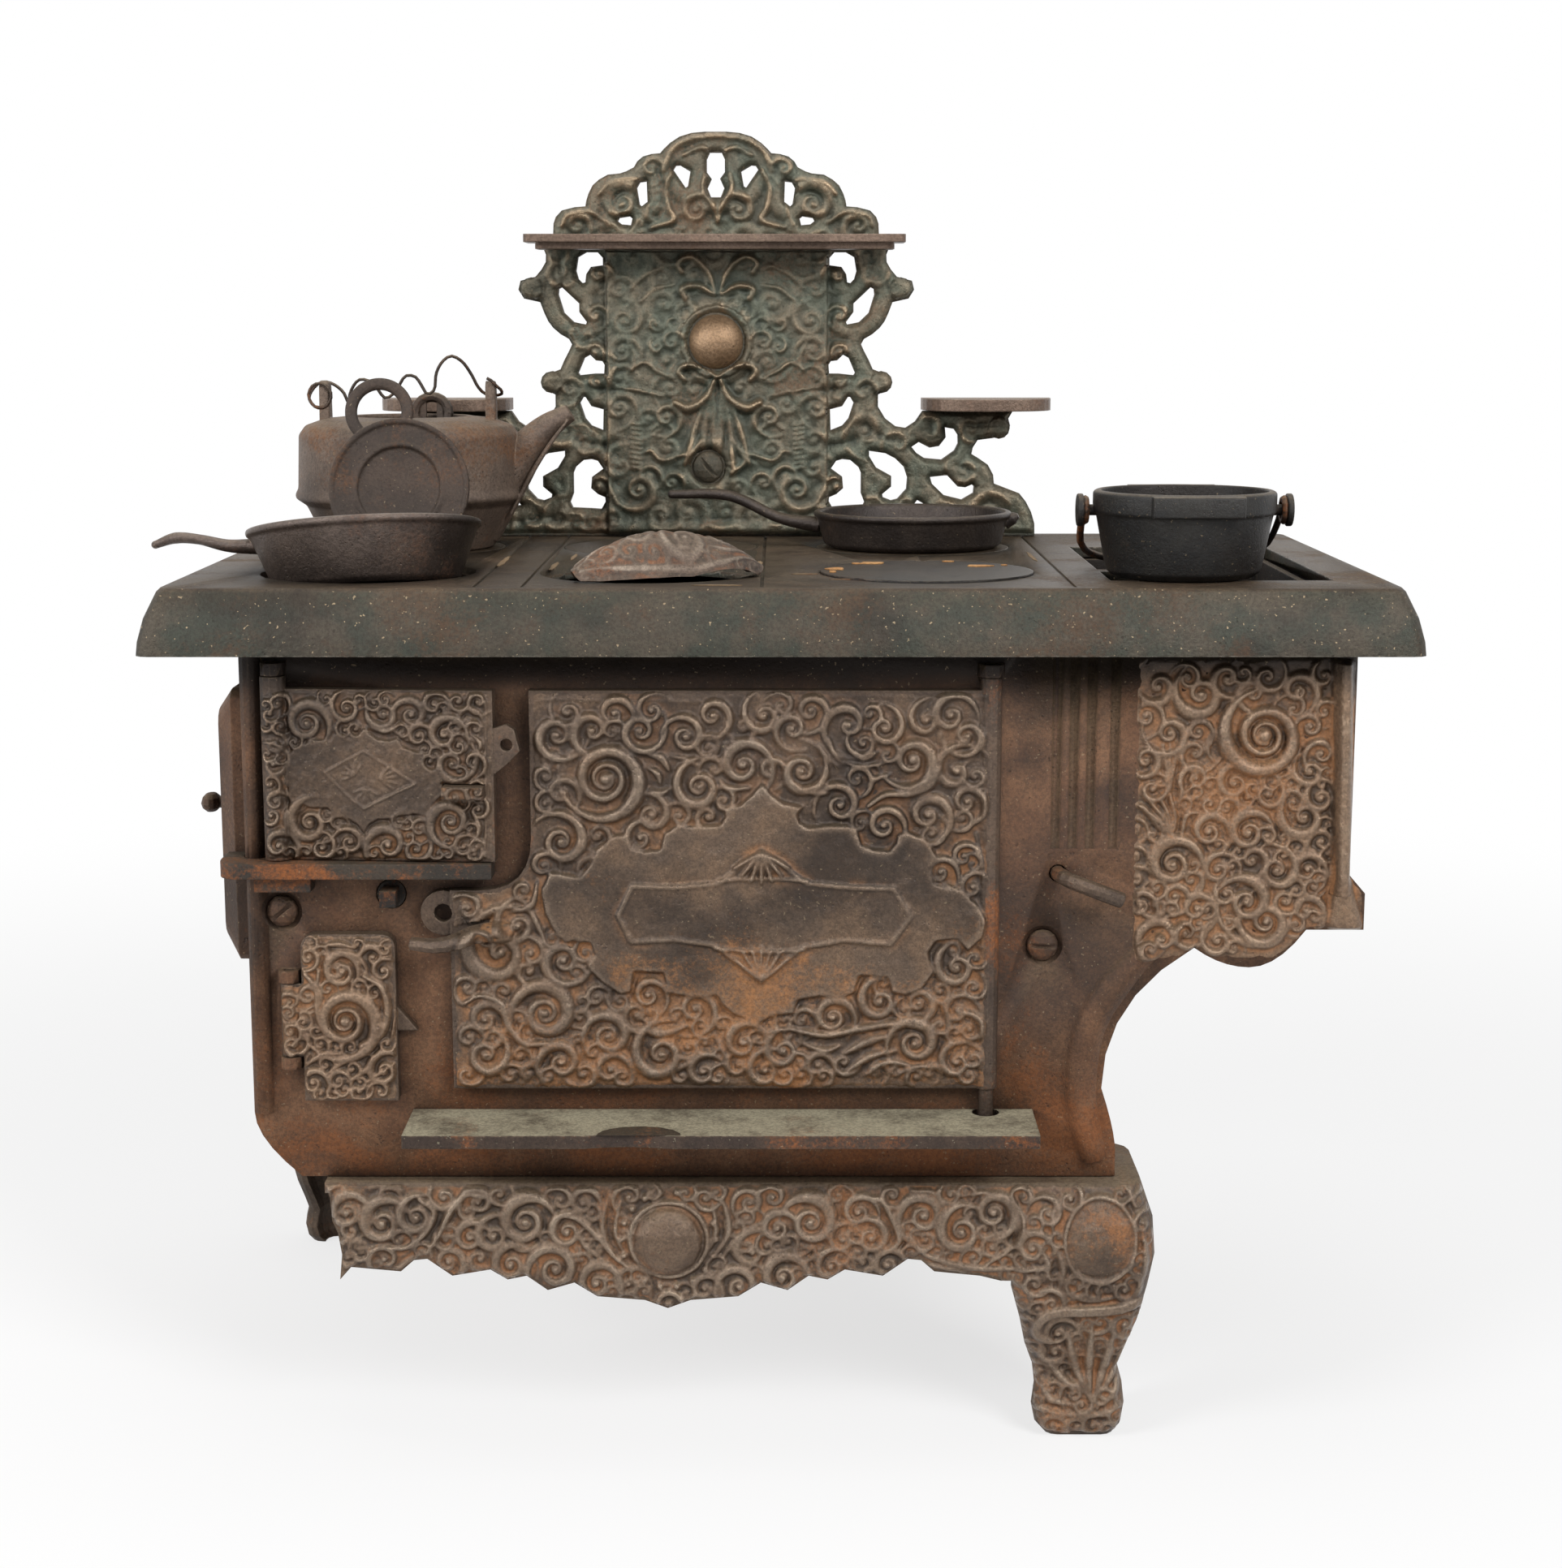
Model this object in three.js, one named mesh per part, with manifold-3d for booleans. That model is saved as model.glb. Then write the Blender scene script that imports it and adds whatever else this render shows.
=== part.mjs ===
import * as THREE from 'three';
import { mergeVertices } from 'three/addons/utils/BufferGeometryUtils.js';
import Module from 'manifold-3d';

// A cast iron toy cooking range with its loose pots and pans.
// Millimetres. +X is to the right of someone facing the stove, +Y goes towards its back and +Z is up.
// Places are measured from the middle of the hob's front edge and from the ground.

const wasm = await Module();
wasm.setup();

// Fits and fineness
const gap = 0.3;
const overrun = 2;
const bite = 1;
const largeSides = 24;
const smallSides = 12;
const wireSides = 6;

// Heights of the stove
const legHeight = 90.3;
const bodyHeight = 190.7;

const hob = { width: 390, depth: 210, plate: 4, drop: 20.5, flare: 5.8, wall: 4, corner: 5, edge: 1.2 };
const hobUnder = legHeight + bodyHeight;
const hobTop = hobUnder + hob.plate;

const eye = { radius: 35.5, ledge: 2, lip: 2.5, firstX: -136, pitchX: 92, firstY: 53, pitchY: 97 };
const eyeX = [0, 1, 2].map((column) => eye.firstX + column * eye.pitchX);
const eyeY = [0, 1].map((row) => eye.firstY + row * eye.pitchY);
const seam = { width: 1.2, depth: 0.8, margin: 6, places: [-96, -81, -6, 92] };
const well = { left: 105.5, width: 71.5, front: 27, depth: 122, restWidth: 44, restFront: 29, restDepth: 8 };

// Castings of the body
const body = { left: 172, right: 105, front: 14, depth: 186, wall: 4, face: 5, corner: 22, round: 12.7,
  tuck: 15 };
const bodyLeft = -body.left;
const bodyRight = body.right;
const bodyFront = body.front;
const bodyRear = body.front + body.depth;
const bodyTop = hobUnder - gap;
const bodyBottom = legHeight;
const insideFront = bodyFront + body.face + gap;
const insideRear = bodyRear - body.face - gap;

const oven = { left: -77, right: 75, floor: 118, top: 247, plate: 3 };
const column = { radius: 3.5, sink: 0.5 };
const flute = { radius: 1.8, bottom: 200, places: [88, 93.5, 99, 106.5] };
const bracket = { foot: 109.5, toe: 8, neck: 104.5, neckRise: 30, reach: 133.5, rise: 77, swell: 59.7,
  bead: 6, inset: 7 };
const pendant = { width: 36, drop: 6.5 };
const casing = { right: 182.8, bottom: 173.3, foot: 5.2, footHeight: 12, slope: 6, wall: 4 };
const tank = { clear: 0.6, wall: 2.5 };

// Doors, their hinges and what holds them
const plateDoor = { thick: 5, overlap: 6 };
const fireDoor = { left: -160.5, right: -90.5, bottom: 197.7, top: 252.6, barrel: 4.2, pin: 2, ajar: 4 };
const fireLatch = { reach: 4.2, halfHeight: 8.5, hole: 2, rise: 8.3, thick: 3.5 };
const fireTab = { width: 13, height: 4, proud: 6, inset: 2.5, rise: 21 };
const ashDoor = { left: -158.5, right: -124, bottom: 117.7, top: 173, barrel: 3, pin: 1.6, corner: 5 };
const ashLug = { radius: 3.6, height: 4, lower: 128.3, upper: 157 };
const ashCatch = { rise: 23, height: 9, reach: 6.5, thick: 3 };
const ovenDoor = { left: -79.7, right: 66.5, bottom: 121.8, top: 252, barrel: 3.5, pin: 2.4 };
const ovenStep = { left: -106, height: 65.7, scroll: 17 };
const ovenEar = { x: -108.3, z: 179.9, radius: 7.3, hole: 3, thick: 4 };
const ovenTongue = { z: 171.5, tip: -117.5, root: -88, proud: 9, thick: 2.8 };
const lug = { height: 4, wall: 1.9 };
const endDoor = { front: 24, rear: 104, bottom: 160, top: 250, thick: 5, crown: 5.5, bevel: 7, barrel: 3.3,
  pin: 1.8 };
const endKnob = { y: 64, z: 206, spindle: 2, reach: 10, grip: 3.4, bar: 12, rivet: 3.6, thick: 1.6 };

// Shelves and their seats
const fireShelf = { left: 179, right: -91.8, thick: 5, front: 2, wrap: 22, corner: 8 };
const fireShelfTop = fireDoor.bottom - gap;
const fireBlock = { left: -168, width: 18, height: 5, front: 6 };
const ovenShelf = { left: -120, right: 82, top: 113.3, thick: 4.3, front: -15, socket: 4.4, wearX: -49,
  wear: 45 };

// Fire grate, damper and bolts
const shaker = { x: -125.4, z: 185.2, journal: 4.6, square: 7.4, proud: 9, half: 31, plate: 4 };
const slot = { width: 6, pitch: 13, margin: 9 };
const damper = { x: 89, z: 192, spindle: 2.6, reach: 19.5, fall: 7, proud: 9, bladeHalf: 9, bladeDepth: 30 };
const bolt = { shank: 2.4, head: 5.2, dome: 2.6, slot: 1.3, recess: 6.6, sunk: 1.2, slotDepth: 1.4 };
const boltPlaces = { left: { x: -160.9, z: 179.4 }, right: { x: 84.5, z: 168.1 } };

// Base castings: aprons and cabriole legs
const base = {
  centre: -37.2, outer: 150.7, front: 12, rearOuter: 154, behind: 13, wall: 5.5, apron: 4.5, apronFront: 8,
    flange: 3.5,
};
const baseRear = bodyRear + base.behind;
const baseTop = legHeight - gap;
const leg = { knee: 9.4, rearKnee: 2.8, width: 48, rearDepth: 24, corner: 9 };
const apronReach = 125;
const apronDrop = 43;
const apronBoss = { radius: 11.9, proud: 5, z: 70.6 };
const medal = { halfWidth: 10.8, halfHeight: 11.8, proud: 2.2, inset: 12.1, z: 68.6 };
const sideApron = { drop: 22, wall: 4, inset: 5, leftX: -154, leftFront: 60 };

// Pierced back plate and its shelves
const back = { centre: -24.4, fromRear: 14, thick: 4.5, height: 150.6, half: 121.5, crestFrom: 111.6,
  bead: 1.8 };
const backFront = hob.depth - back.fromRear;
const backPanel = { half: 41.6, proud: 2.5, bottom: 1, top: 107 };
const backBoss = { radius: 10.2, z: 73.3, proud: 6.5, ring: 13.6, ringProud: 2 };
const crestShelf = { half: 70.2, depth: 24, thick: 2.9, step: 2.4, stepInset: 4, rise: 107.2 };
const sideShelf = { inner: 77.7, outer: 126.6, depth: 22, thick: 4.4, rise: 47.8 };
const backScrew = { x: -3.3, z: 26.3, head: 6, dome: 3, shank: 2.6 };

// Utensils
const lid = { clear: 0.4, notch: 4, notchDepth: 3, proud: 0.7 };
const frontPan = { rim: 38.5, base: 30.5, height: 21, wall: 2.4, tilt: 9.5, roll: 3.5, seat: 5,
  forward: 2.5 };
const frontHandle = { length: 31.5, thick: 2.1, wide: 5.6, dip: 8, from: 0.6 };
const rearPan = { rim: 36, base: 32.5, height: 13.2, wall: 2.2 };
const rearHandle = { length: 53, thick: 2, wide: 5.2, rise: 10, yaw: 8 };
const kettle = { base: 30, flange: 41.3, waist: 39.6, height: 47.3, mouth: 23.4, wall: 2.4, x: -135,
  flangeRise: 19 };
const spout = { tipReach: 58.6, tipRise: 48.4, tipRadius: 3.6, rootRadius: 14, bore: 2.2 };
const kettleEar = { rise: 54.2, over: 5.6, width: 6.6, thick: 2.2, reach: 30, hole: 1.2 };
const wire = 0.6;
const mouthRing = { radius: 6.1, wire: 1.9, right: 6.5, behind: 13.8, lean: 12 };
const griddle = { radius: 24.4, thick: 2.6, rim: 1.2, recess: 14.2, recessDepth: 0.9, x: -132.5, lean: 15,
  turn: 15 };
const griddleLoop = { radius: 9.8, wire: 2.5, out: 27.8 };
const pot = { x: 130.5, y: 40, rim: 29.5, base: 25, height: 27.8, wall: 2.6, lip: 14.5, lipHeight: 7,
  lipProud: 2.8 };
const trunnion = { radius: 1.8, reach: 34.8, head: 5.3, headThick: 2, drop: 6.5 };
const potWire = 1.2;
const ornament = { x: -36.5, y: 33, chord: 59, rise: 10.5, width: 23, thick: 5, yaw: 21 };

// Points of a path or a shape from pairs of sizes
const pairs = (list) => list.map(([across, up]) => new THREE.Vector2(across, up));
const degrees = (angle) => THREE.MathUtils.degToRad(angle);

// A closed solid from any closed geometry
function solid(geometry) {
  const bare = geometry.index ? geometry.toNonIndexed() : geometry.clone();
  bare.deleteAttribute('normal');
  bare.deleteAttribute('uv');
  const merged = mergeVertices(bare);
  const corners = merged.index.array;
  const kept = [];
  for (let i = 0; i < corners.length; i += 3) {
    const [a, b, c] = [corners[i], corners[i + 1], corners[i + 2]];
    if (a !== b && b !== c && c !== a) kept.push(a, b, c);
  }
  return new wasm.Manifold(new wasm.Mesh({
    numProp: 3,
    vertProperties: Float32Array.from(merged.attributes.position.array),
    triVerts: Uint32Array.from(kept),
  }));
}

function join(...solids) {
  return solids.reduce((whole, next) => whole.add(next));
}

function cut(whole, ...tools) {
  return tools.reduce((rest, tool) => rest.subtract(tool), whole);
}

function block(x0, x1, y0, y1, z0, z1) {
  const geometry = new THREE.BoxGeometry(x1 - x0, y1 - y0, z1 - z0);
  geometry.translate((x0 + x1) / 2, (y0 + y1) / 2, (z0 + z1) / 2);
  return solid(geometry);
}

// A cylinder along one axis, from one place on that axis to another
function drum(axis, radius, from, to, at, sides = largeSides) {
  const geometry = new THREE.CylinderGeometry(radius, radius, to - from, sides);
  if (axis === 'z') geometry.rotateX(Math.PI / 2);
  if (axis === 'x') geometry.rotateZ(Math.PI / 2);
  const centre = { ...at, [axis]: (from + to) / 2 };
  geometry.translate(centre.x ?? 0, centre.y ?? 0, centre.z ?? 0);
  return solid(geometry);
}

// An ellipsoid, for bosses and buttons
function boss(halfX, halfY, halfZ, at, sides = 14) {
  const geometry = new THREE.SphereGeometry(1, sides, sides / 2);
  geometry.rotateX(Math.PI / 2);
  geometry.scale(halfX, halfY, halfZ);
  geometry.translate(at.x, at.y, at.z);
  return solid(geometry);
}

// A shape drawn across X and Z, as thick as depth along Y
function frontPlate(shape, y, depth, curveSegments = 5) {
  const geometry = new THREE.ExtrudeGeometry(shape, { depth, bevelEnabled: false, curveSegments });
  geometry.rotateX(Math.PI / 2);
  geometry.translate(0, y + depth, 0);
  return solid(geometry);
}

// A shape drawn across Y and Z, as thick as depth along X
function sidePlate(shape, x, depth, curveSegments = 5) {
  const geometry = new THREE.ExtrudeGeometry(shape, { depth, bevelEnabled: false, curveSegments });
  geometry.applyMatrix4(new THREE.Matrix4().set(0, 0, 1, x, 1, 0, 0, 0, 0, 1, 0, 0, 0, 0, 0, 1));
  return solid(geometry);
}

function flatPlate(shape, z, depth, curveSegments = 5) {
  const geometry = new THREE.ExtrudeGeometry(shape, { depth, bevelEnabled: false, curveSegments });
  geometry.translate(0, 0, z);
  return solid(geometry);
}

// A profile of radius and height turned about Z
function turned(profile, sides = largeSides) {
  const geometry = new THREE.LatheGeometry(pairs(profile), sides);
  geometry.rotateX(Math.PI / 2);
  geometry.deleteAttribute('normal');
  geometry.deleteAttribute('uv');
  const size = signedVolume(geometry.toNonIndexed());
  return solid(size < 0 ? flipped(geometry) : geometry);
}

function signedVolume(geometry) {
  const place = geometry.attributes.position;
  const [a, b, c] = [new THREE.Vector3(), new THREE.Vector3(), new THREE.Vector3()];
  let sum = 0;
  for (let i = 0; i < place.count; i += 3) {
    a.fromBufferAttribute(place, i);
    b.fromBufferAttribute(place, i + 1);
    c.fromBufferAttribute(place, i + 2);
    sum += a.dot(b.cross(c));
  }
  return sum;
}

function flipped(geometry) {
  const turnedOver = geometry.clone();
  const order = Array.from(geometry.index.array);
  for (let i = 0; i < order.length; i += 3) [order[i], order[i + 1]] = [order[i + 1], order[i]];
  turnedOver.setIndex(order);
  return turnedOver;
}

// A skin over rings that all have the same number of points, closed by flat ends
function loft(rings) {
  const count = rings[0].length;
  const index = [];
  for (let ring = 0; ring < rings.length - 1; ring++) {
    for (let i = 0; i < count; i++) {
      const a = ring * count + i;
      const b = ring * count + (i + 1) % count;
      index.push(a, b, b + count, a, b + count, a + count);
    }
  }
  const last = (rings.length - 1) * count;
  for (let i = 1; i < count - 1; i++) {
    index.push(0, i + 1, i);
    index.push(last, last + i, last + i + 1);
  }
  const geometry = new THREE.BufferGeometry();
  geometry.setAttribute('position', new THREE.Float32BufferAttribute(rings.flat(2), 3));
  geometry.setIndex(index);
  return solid(signedVolume(geometry.toNonIndexed()) < 0 ? flipped(geometry) : geometry);
}

// A level ring with four round corners
function roundedRing(x, y, halfX, halfY, radius, z, steps = 3) {
  const ring = [];
  [[1, 1], [-1, 1], [-1, -1], [1, -1]].forEach(([sideX, sideY], corner) => {
    for (let i = 0; i <= steps; i++) {
      const angle = (corner + i / steps) * Math.PI / 2;
      const cornerX = x + sideX * (halfX - radius);
      const cornerY = y + sideY * (halfY - radius);
      ring.push([cornerX + radius * Math.cos(angle), cornerY + radius * Math.sin(angle), z]);
    }
  });
  return ring;
}

// A round or flattened rod along a smooth path, with its radius given at even steps
function rod(points, radii, { sides = wireSides, steps = 12, wide = 1, up = [0, 0, 1],
  closed = false } = {}) {
  const path = new THREE.CatmullRomCurve3(points.map((point) => new THREE.Vector3(...point)), closed);
  const upward = new THREE.Vector3(...up);
  const rings = [];
  for (let i = 0; i <= steps; i++) {
    const share = i / steps;
    const centre = path.getPointAt(share);
    const along = path.getTangentAt(share);
    const across = new THREE.Vector3().crossVectors(along, upward).normalize();
    const lift = new THREE.Vector3().crossVectors(across, along);
    const place = share * (radii.length - 1);
    const before = Math.min(Math.floor(place), radii.length - 1);
    const after = Math.min(before + 1, radii.length - 1);
    const radius = radii[before] + (radii[after] - radii[before]) * (place - before);
    const ring = [];
    for (let side = 0; side < sides; side++) {
      const angle = 2 * Math.PI * side / sides;
      const point = centre.clone()
        .addScaledVector(across, radius * wide * Math.cos(angle))
        .addScaledVector(lift, radius * Math.sin(angle));
      ring.push(point.toArray());
    }
    rings.push(ring);
  }
  return loft(rings);
}

function torus(radius, tube, around = 20, sides = 8) {
  return new THREE.TorusGeometry(radius, tube, sides, around);
}

const stove = new THREE.Group();

function iron(name, shape, colour, roughness = 0.75, metalness = 0.55) {
  const { vertProperties, triVerts } = shape.getMesh();
  const geometry = new THREE.BufferGeometry();
  geometry.setAttribute('position', new THREE.BufferAttribute(vertProperties, 3));
  geometry.setIndex(new THREE.BufferAttribute(triVerts, 1));
  geometry.computeVertexNormals();
  const mesh = new THREE.Mesh(geometry, new THREE.MeshStandardMaterial({ color: colour, roughness,
    metalness }));
  mesh.name = name;
  stove.add(mesh);
  return mesh;
}

const colour = {
  skirt: 0x464b44, rusty: 0x55402f, patina: 0x47503f, black: 0x2b2a28, pan: 0x2d2926,
  kettle: 0x554840, bare: 0x4a4039, pale: 0x6f6a58,
};

// Hob: a plate with a flared skirt, six eyes and the well over the water tank
function hobRing(spread, z) {
  const halfX = hob.width / 2 + spread;
  const halfY = hob.depth / 2 + spread;
  return roundedRing(0, hob.depth / 2, halfX, halfY, hob.corner, z);
}

function makeHob() {
  const skirtShares = [[0.45, 0.62], [0.8, 0.93], [1, 1]];
  const skirt = skirtShares.map(([down, out]) => [hobTop - hob.drop * down, hob.flare * out]).reverse();
  const outer = skirt.map(([z, spread]) => hobRing(spread, z));
  outer.push(hobRing(0, hobTop - hob.edge), hobRing(-hob.edge, hobTop));
  const inner = skirt.filter(([z]) => z < hobUnder).map(([z, spread]) => hobRing(spread - hob.wall, z));
  inner.unshift(hobRing(hob.flare - hob.wall, hobTop - hob.drop - overrun));
  inner.push(hobRing(-hob.wall, hobUnder));
  const seams = seam.places.map((x) => block(
    x - seam.width / 2, x + seam.width / 2, seam.margin, hob.depth - seam.margin, hobTop - seam.depth,
      hobTop + overrun));
  const eyes = eyeX.flatMap((x) => eyeY.map((y) => join(
    drum('z', eye.radius - eye.lip, hobUnder - overrun, hobTop - eye.ledge / 2, { x, y }),
    drum('z', eye.radius, hobTop - eye.ledge, hobTop + overrun, { x, y }))));
  const opening = block(
    well.left, well.left + well.width, well.front, well.front + well.depth, hobUnder - overrun,
      hobTop + overrun);
  const rest = block(
    well.left - bite, well.left + well.restWidth, well.front + well.restFront,
    well.front + well.restFront + well.restDepth, hobUnder, hobTop);
  return join(cut(loft(outer), loft(inner), opening, ...seams, ...eyes), rest);
}

// Front casting: wall of the body, fluting, curved bracket and reservoir front, all in one
function frontShape() {
  const shape = new THREE.Shape();
  shape.moveTo(bodyLeft, bodyTop);
  shape.lineTo(bodyLeft, bodyBottom + body.corner);
  shape.quadraticCurveTo(bodyLeft, bodyBottom + body.round, bodyLeft + body.tuck, bodyBottom);
  shape.lineTo(bracket.foot, bodyBottom);
  shape.lineTo(bracket.foot, bodyBottom + bracket.toe);
  shape.quadraticCurveTo(bracket.foot, bodyBottom + bracket.neckRise / 2, bracket.neck,
    bodyBottom + bracket.neckRise);
  shape.quadraticCurveTo(
    bracket.neck, bodyBottom + bracket.swell, bracket.reach, bodyBottom + bracket.rise);
  const tip = bracket.reach + pendant.width;
  const low = bodyBottom + bracket.rise - pendant.drop;
  shape.quadraticCurveTo((bracket.reach * 3 + tip) / 4, low, (bracket.reach + tip) / 2, low);
  shape.quadraticCurveTo((bracket.reach + tip * 3) / 4, low, tip, casing.bottom);
  shape.lineTo(casing.right + casing.foot, casing.bottom);
  shape.lineTo(casing.right + casing.foot, casing.bottom + casing.footHeight);
  shape.lineTo(casing.right, casing.bottom + casing.footHeight + casing.slope);
  shape.lineTo(casing.right, bodyTop);
  return shape;
}

function doorway(door) {
  const edge = plateDoor.overlap;
  return block(door.left + edge, door.right - edge, bodyFront - overrun, bodyFront + body.face + overrun,
    door.bottom + edge, door.top - edge);
}

// A round lug with a stem back to the wall, and the hole for a hinge pin
function hingeLug(x, y, z, height, radius, pin, toWall) {
  const nose = drum('z', radius, z, z + height, { x, y }, smallSides);
  const stem = block(x - radius, x + radius, y, toWall, z, z + height);
  return cut(join(nose, stem), drum('z', pin + gap, z - overrun, z + height + overrun, { x, y }, smallSides));
}

const fireHinge = { x: fireDoor.left, y: bodyFront - gap - fireDoor.barrel };
const ashHinge = { x: ashDoor.left, y: bodyFront - gap - ashDoor.barrel };
const ovenHinge = { x: ovenDoor.right, y: bodyFront - gap - ovenDoor.barrel };
const barrelTop = { fire: fireDoor.top + lug.height + gap, oven: ovenDoor.top + lug.height + gap };

function makeFront() {
  const deep = bodyFront + body.face;
  const openings = [fireDoor, ashDoor, { ...ovenDoor, left: oven.left,
    right: oven.right - body.wall }].map(doorway);
  const grooves = flute.places.map((x) => drum('z', flute.radius, flute.bottom, bodyTop + overrun,
    { x, y: bodyFront }, 8));
  const bolts = Object.values(boltPlaces).flatMap(({ x, z }) => [
    drum('y', bolt.shank + gap, bodyFront - overrun, deep + overrun, { x, z }, smallSides),
    drum('y', bolt.recess, bodyFront - column.radius - overrun, bodyFront + bolt.sunk, { x, z }, largeSides),
  ]);
  const through = [
    drum('y', shaker.journal + gap, bodyFront - overrun, deep + overrun, shaker, largeSides),
    drum('y', damper.spindle + gap, bodyFront - overrun, deep + overrun, damper, smallSides),
  ];
  const columns = [
    drum('z', column.radius, bodyBottom + body.corner, bodyTop,
      { x: bodyLeft + column.radius, y: bodyFront + column.sink }, smallSides),
    drum('z', column.radius, casing.bottom + casing.footHeight, bodyTop,
      { x: casing.right - column.radius, y: bodyFront + column.sink }, smallSides),
  ];
  const beadY = bodyFront + bite;
  const bead = rod([
    [bracket.foot - bracket.inset, beadY, bodyBottom + bracket.bead],
    [bracket.neck - bracket.inset, beadY, bodyBottom + bracket.neckRise],
    [bracket.neck - bracket.inset / 2, beadY, bodyBottom + (bracket.neckRise + bracket.rise) / 2],
    [(bracket.neck + bracket.reach) / 2 - bracket.inset / 2, beadY,
      bodyBottom + bracket.rise - bracket.inset / 2],
    [bracket.reach - bracket.inset / 2, beadY, bodyBottom + bracket.rise + bracket.inset],
  ], [bracket.bead * 0.8, bracket.bead, bracket.bead, bracket.bead / 2], { sides: 10, steps: 12, up: [0, 1,
    0] });
  const clearBehind = block(bodyLeft, casing.right, deep, deep + bracket.bead + overrun, bodyBottom, bodyTop);
  const wall = cut(frontPlate(frontShape(), bodyFront, body.face), ...openings, ...grooves, ...through);
  const faced = cut(join(wall, ...columns, cut(bead, clearBehind)), ...bolts);
  return join(faced,
    hingeLug(fireHinge.x, fireHinge.y, barrelTop.fire, lug.height, fireDoor.pin + lug.wall, fireDoor.pin,
      deep - bite),
    hingeLug(ovenHinge.x, ovenHinge.y, barrelTop.oven, lug.height, ovenDoor.pin + lug.wall, ovenDoor.pin,
      deep - bite),
    hingeLug(ashHinge.x, ashHinge.y, ashLug.lower, ashLug.height, ashLug.radius, ashDoor.pin,
      bodyFront + bite),
    hingeLug(ashHinge.x, ashHinge.y, ashLug.upper, ashLug.height, ashLug.radius, ashDoor.pin,
      bodyFront + bite));
}

// Left end casting, turned under at the bottom like the front
const endHinge = { x: bodyLeft - gap - endDoor.barrel, y: endDoor.rear + endDoor.barrel };

function makeLeftEnd() {
  const shape = new THREE.Shape();
  const seat = bodyLeft + body.tuck + body.wall;
  shape.moveTo(bodyLeft, bodyTop);
  shape.lineTo(bodyLeft, bodyBottom + body.corner);
  shape.quadraticCurveTo(bodyLeft, bodyBottom + body.round, bodyLeft + body.tuck, bodyBottom);
  shape.lineTo(seat, bodyBottom);
  shape.lineTo(seat, bodyBottom + body.wall);
  shape.quadraticCurveTo(bodyLeft + body.wall, bodyBottom + body.round, bodyLeft + body.wall,
    bodyBottom + body.corner);
  shape.lineTo(bodyLeft + body.wall, bodyTop);
  const edge = plateDoor.overlap;
  const opening = block(bodyLeft - overrun, bodyLeft + body.wall + overrun,
    endDoor.front + edge, endDoor.rear - edge, endDoor.bottom + edge, endDoor.top - edge);
  const lugs = [endDoor.bottom - lug.height - gap, endDoor.top + gap].map((z) => cut(
    join(
      drum('z', endDoor.barrel, z, z + lug.height, endHinge, smallSides),
      block(endHinge.x, bodyLeft + bite, endHinge.y - endDoor.barrel, endHinge.y + endDoor.barrel, z,
        z + lug.height)),
    drum('z', endDoor.pin + gap, z - overrun, z + lug.height + overrun, endHinge, smallSides)));
  return join(cut(frontPlate(shape, insideFront, insideRear - insideFront), opening), ...lugs);
}

function makeRear() {
  const wall = block(bodyLeft, bodyRight, bodyRear - body.face, bodyRear, bodyBottom, bodyTop);
  const frame = body.corner;
  const panel = block(bodyLeft + frame, bodyRight - frame, bodyRear - body.wall / 4, bodyRear + overrun,
    bodyBottom + frame, bodyTop - frame);
  const bearing = drum('y', shaker.journal + gap, bodyRear - body.face - overrun, bodyRear - body.face / 2,
    shaker);
  return cut(wall, panel, bearing);
}

const floorLeft = bodyLeft + body.tuck + body.wall + gap;
const floorRight = bodyRight - body.wall - gap;
const ovenPlateBottom = bodyBottom + body.wall + gap;
const casingFront = insideFront;
const casingRear = well.front + well.depth + body.wall + gap;

function makeCasing() {
  const left = bodyRight + gap;
  const outer = block(left, casing.right, casingFront, casingRear, casing.bottom, bodyTop);
  const inner = block(left - overrun, casing.right - casing.wall, casingFront - overrun,
    casingRear - casing.wall,
    casing.bottom + casing.wall, bodyTop + overrun);
  const foot = new THREE.Shape(pairs([
    [casing.right - bite, casing.bottom],
    [casing.right + casing.foot, casing.bottom],
    [casing.right + casing.foot, casing.bottom + casing.footHeight],
    [casing.right - bite, casing.bottom + casing.footHeight + casing.slope],
  ]));
  return join(cut(outer, inner), frontPlate(foot, casingFront, casingRear - casingFront));
}

function makeTank() {
  const [x0, x1] = [well.left + tank.clear, well.left + well.width - tank.clear];
  const [y0, y1] = [well.front + tank.clear, well.front + well.depth - tank.clear];
  const bottom = casing.bottom + casing.wall + gap;
  const inner = block(x0 + tank.wall, x1 - tank.wall, y0 + tank.wall, y1 - tank.wall, bottom + tank.wall,
    bodyTop + overrun);
  return cut(block(x0, x1, y0, y1, bottom, bodyTop), inner);
}

// Doors
function doorPlate(shape) {
  return frontPlate(shape, bodyFront - gap - plateDoor.thick, plateDoor.thick, 6);
}

// A hinge barrel with a pin standing out of each end
function barrel(hinge, radius, pin, bottom, top, reachDown, reachUp) {
  return join(
    drum('z', radius, bottom, top, hinge, smallSides),
    drum('z', pin, bottom - reachDown, top + reachUp, hinge, smallSides));
}

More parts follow.
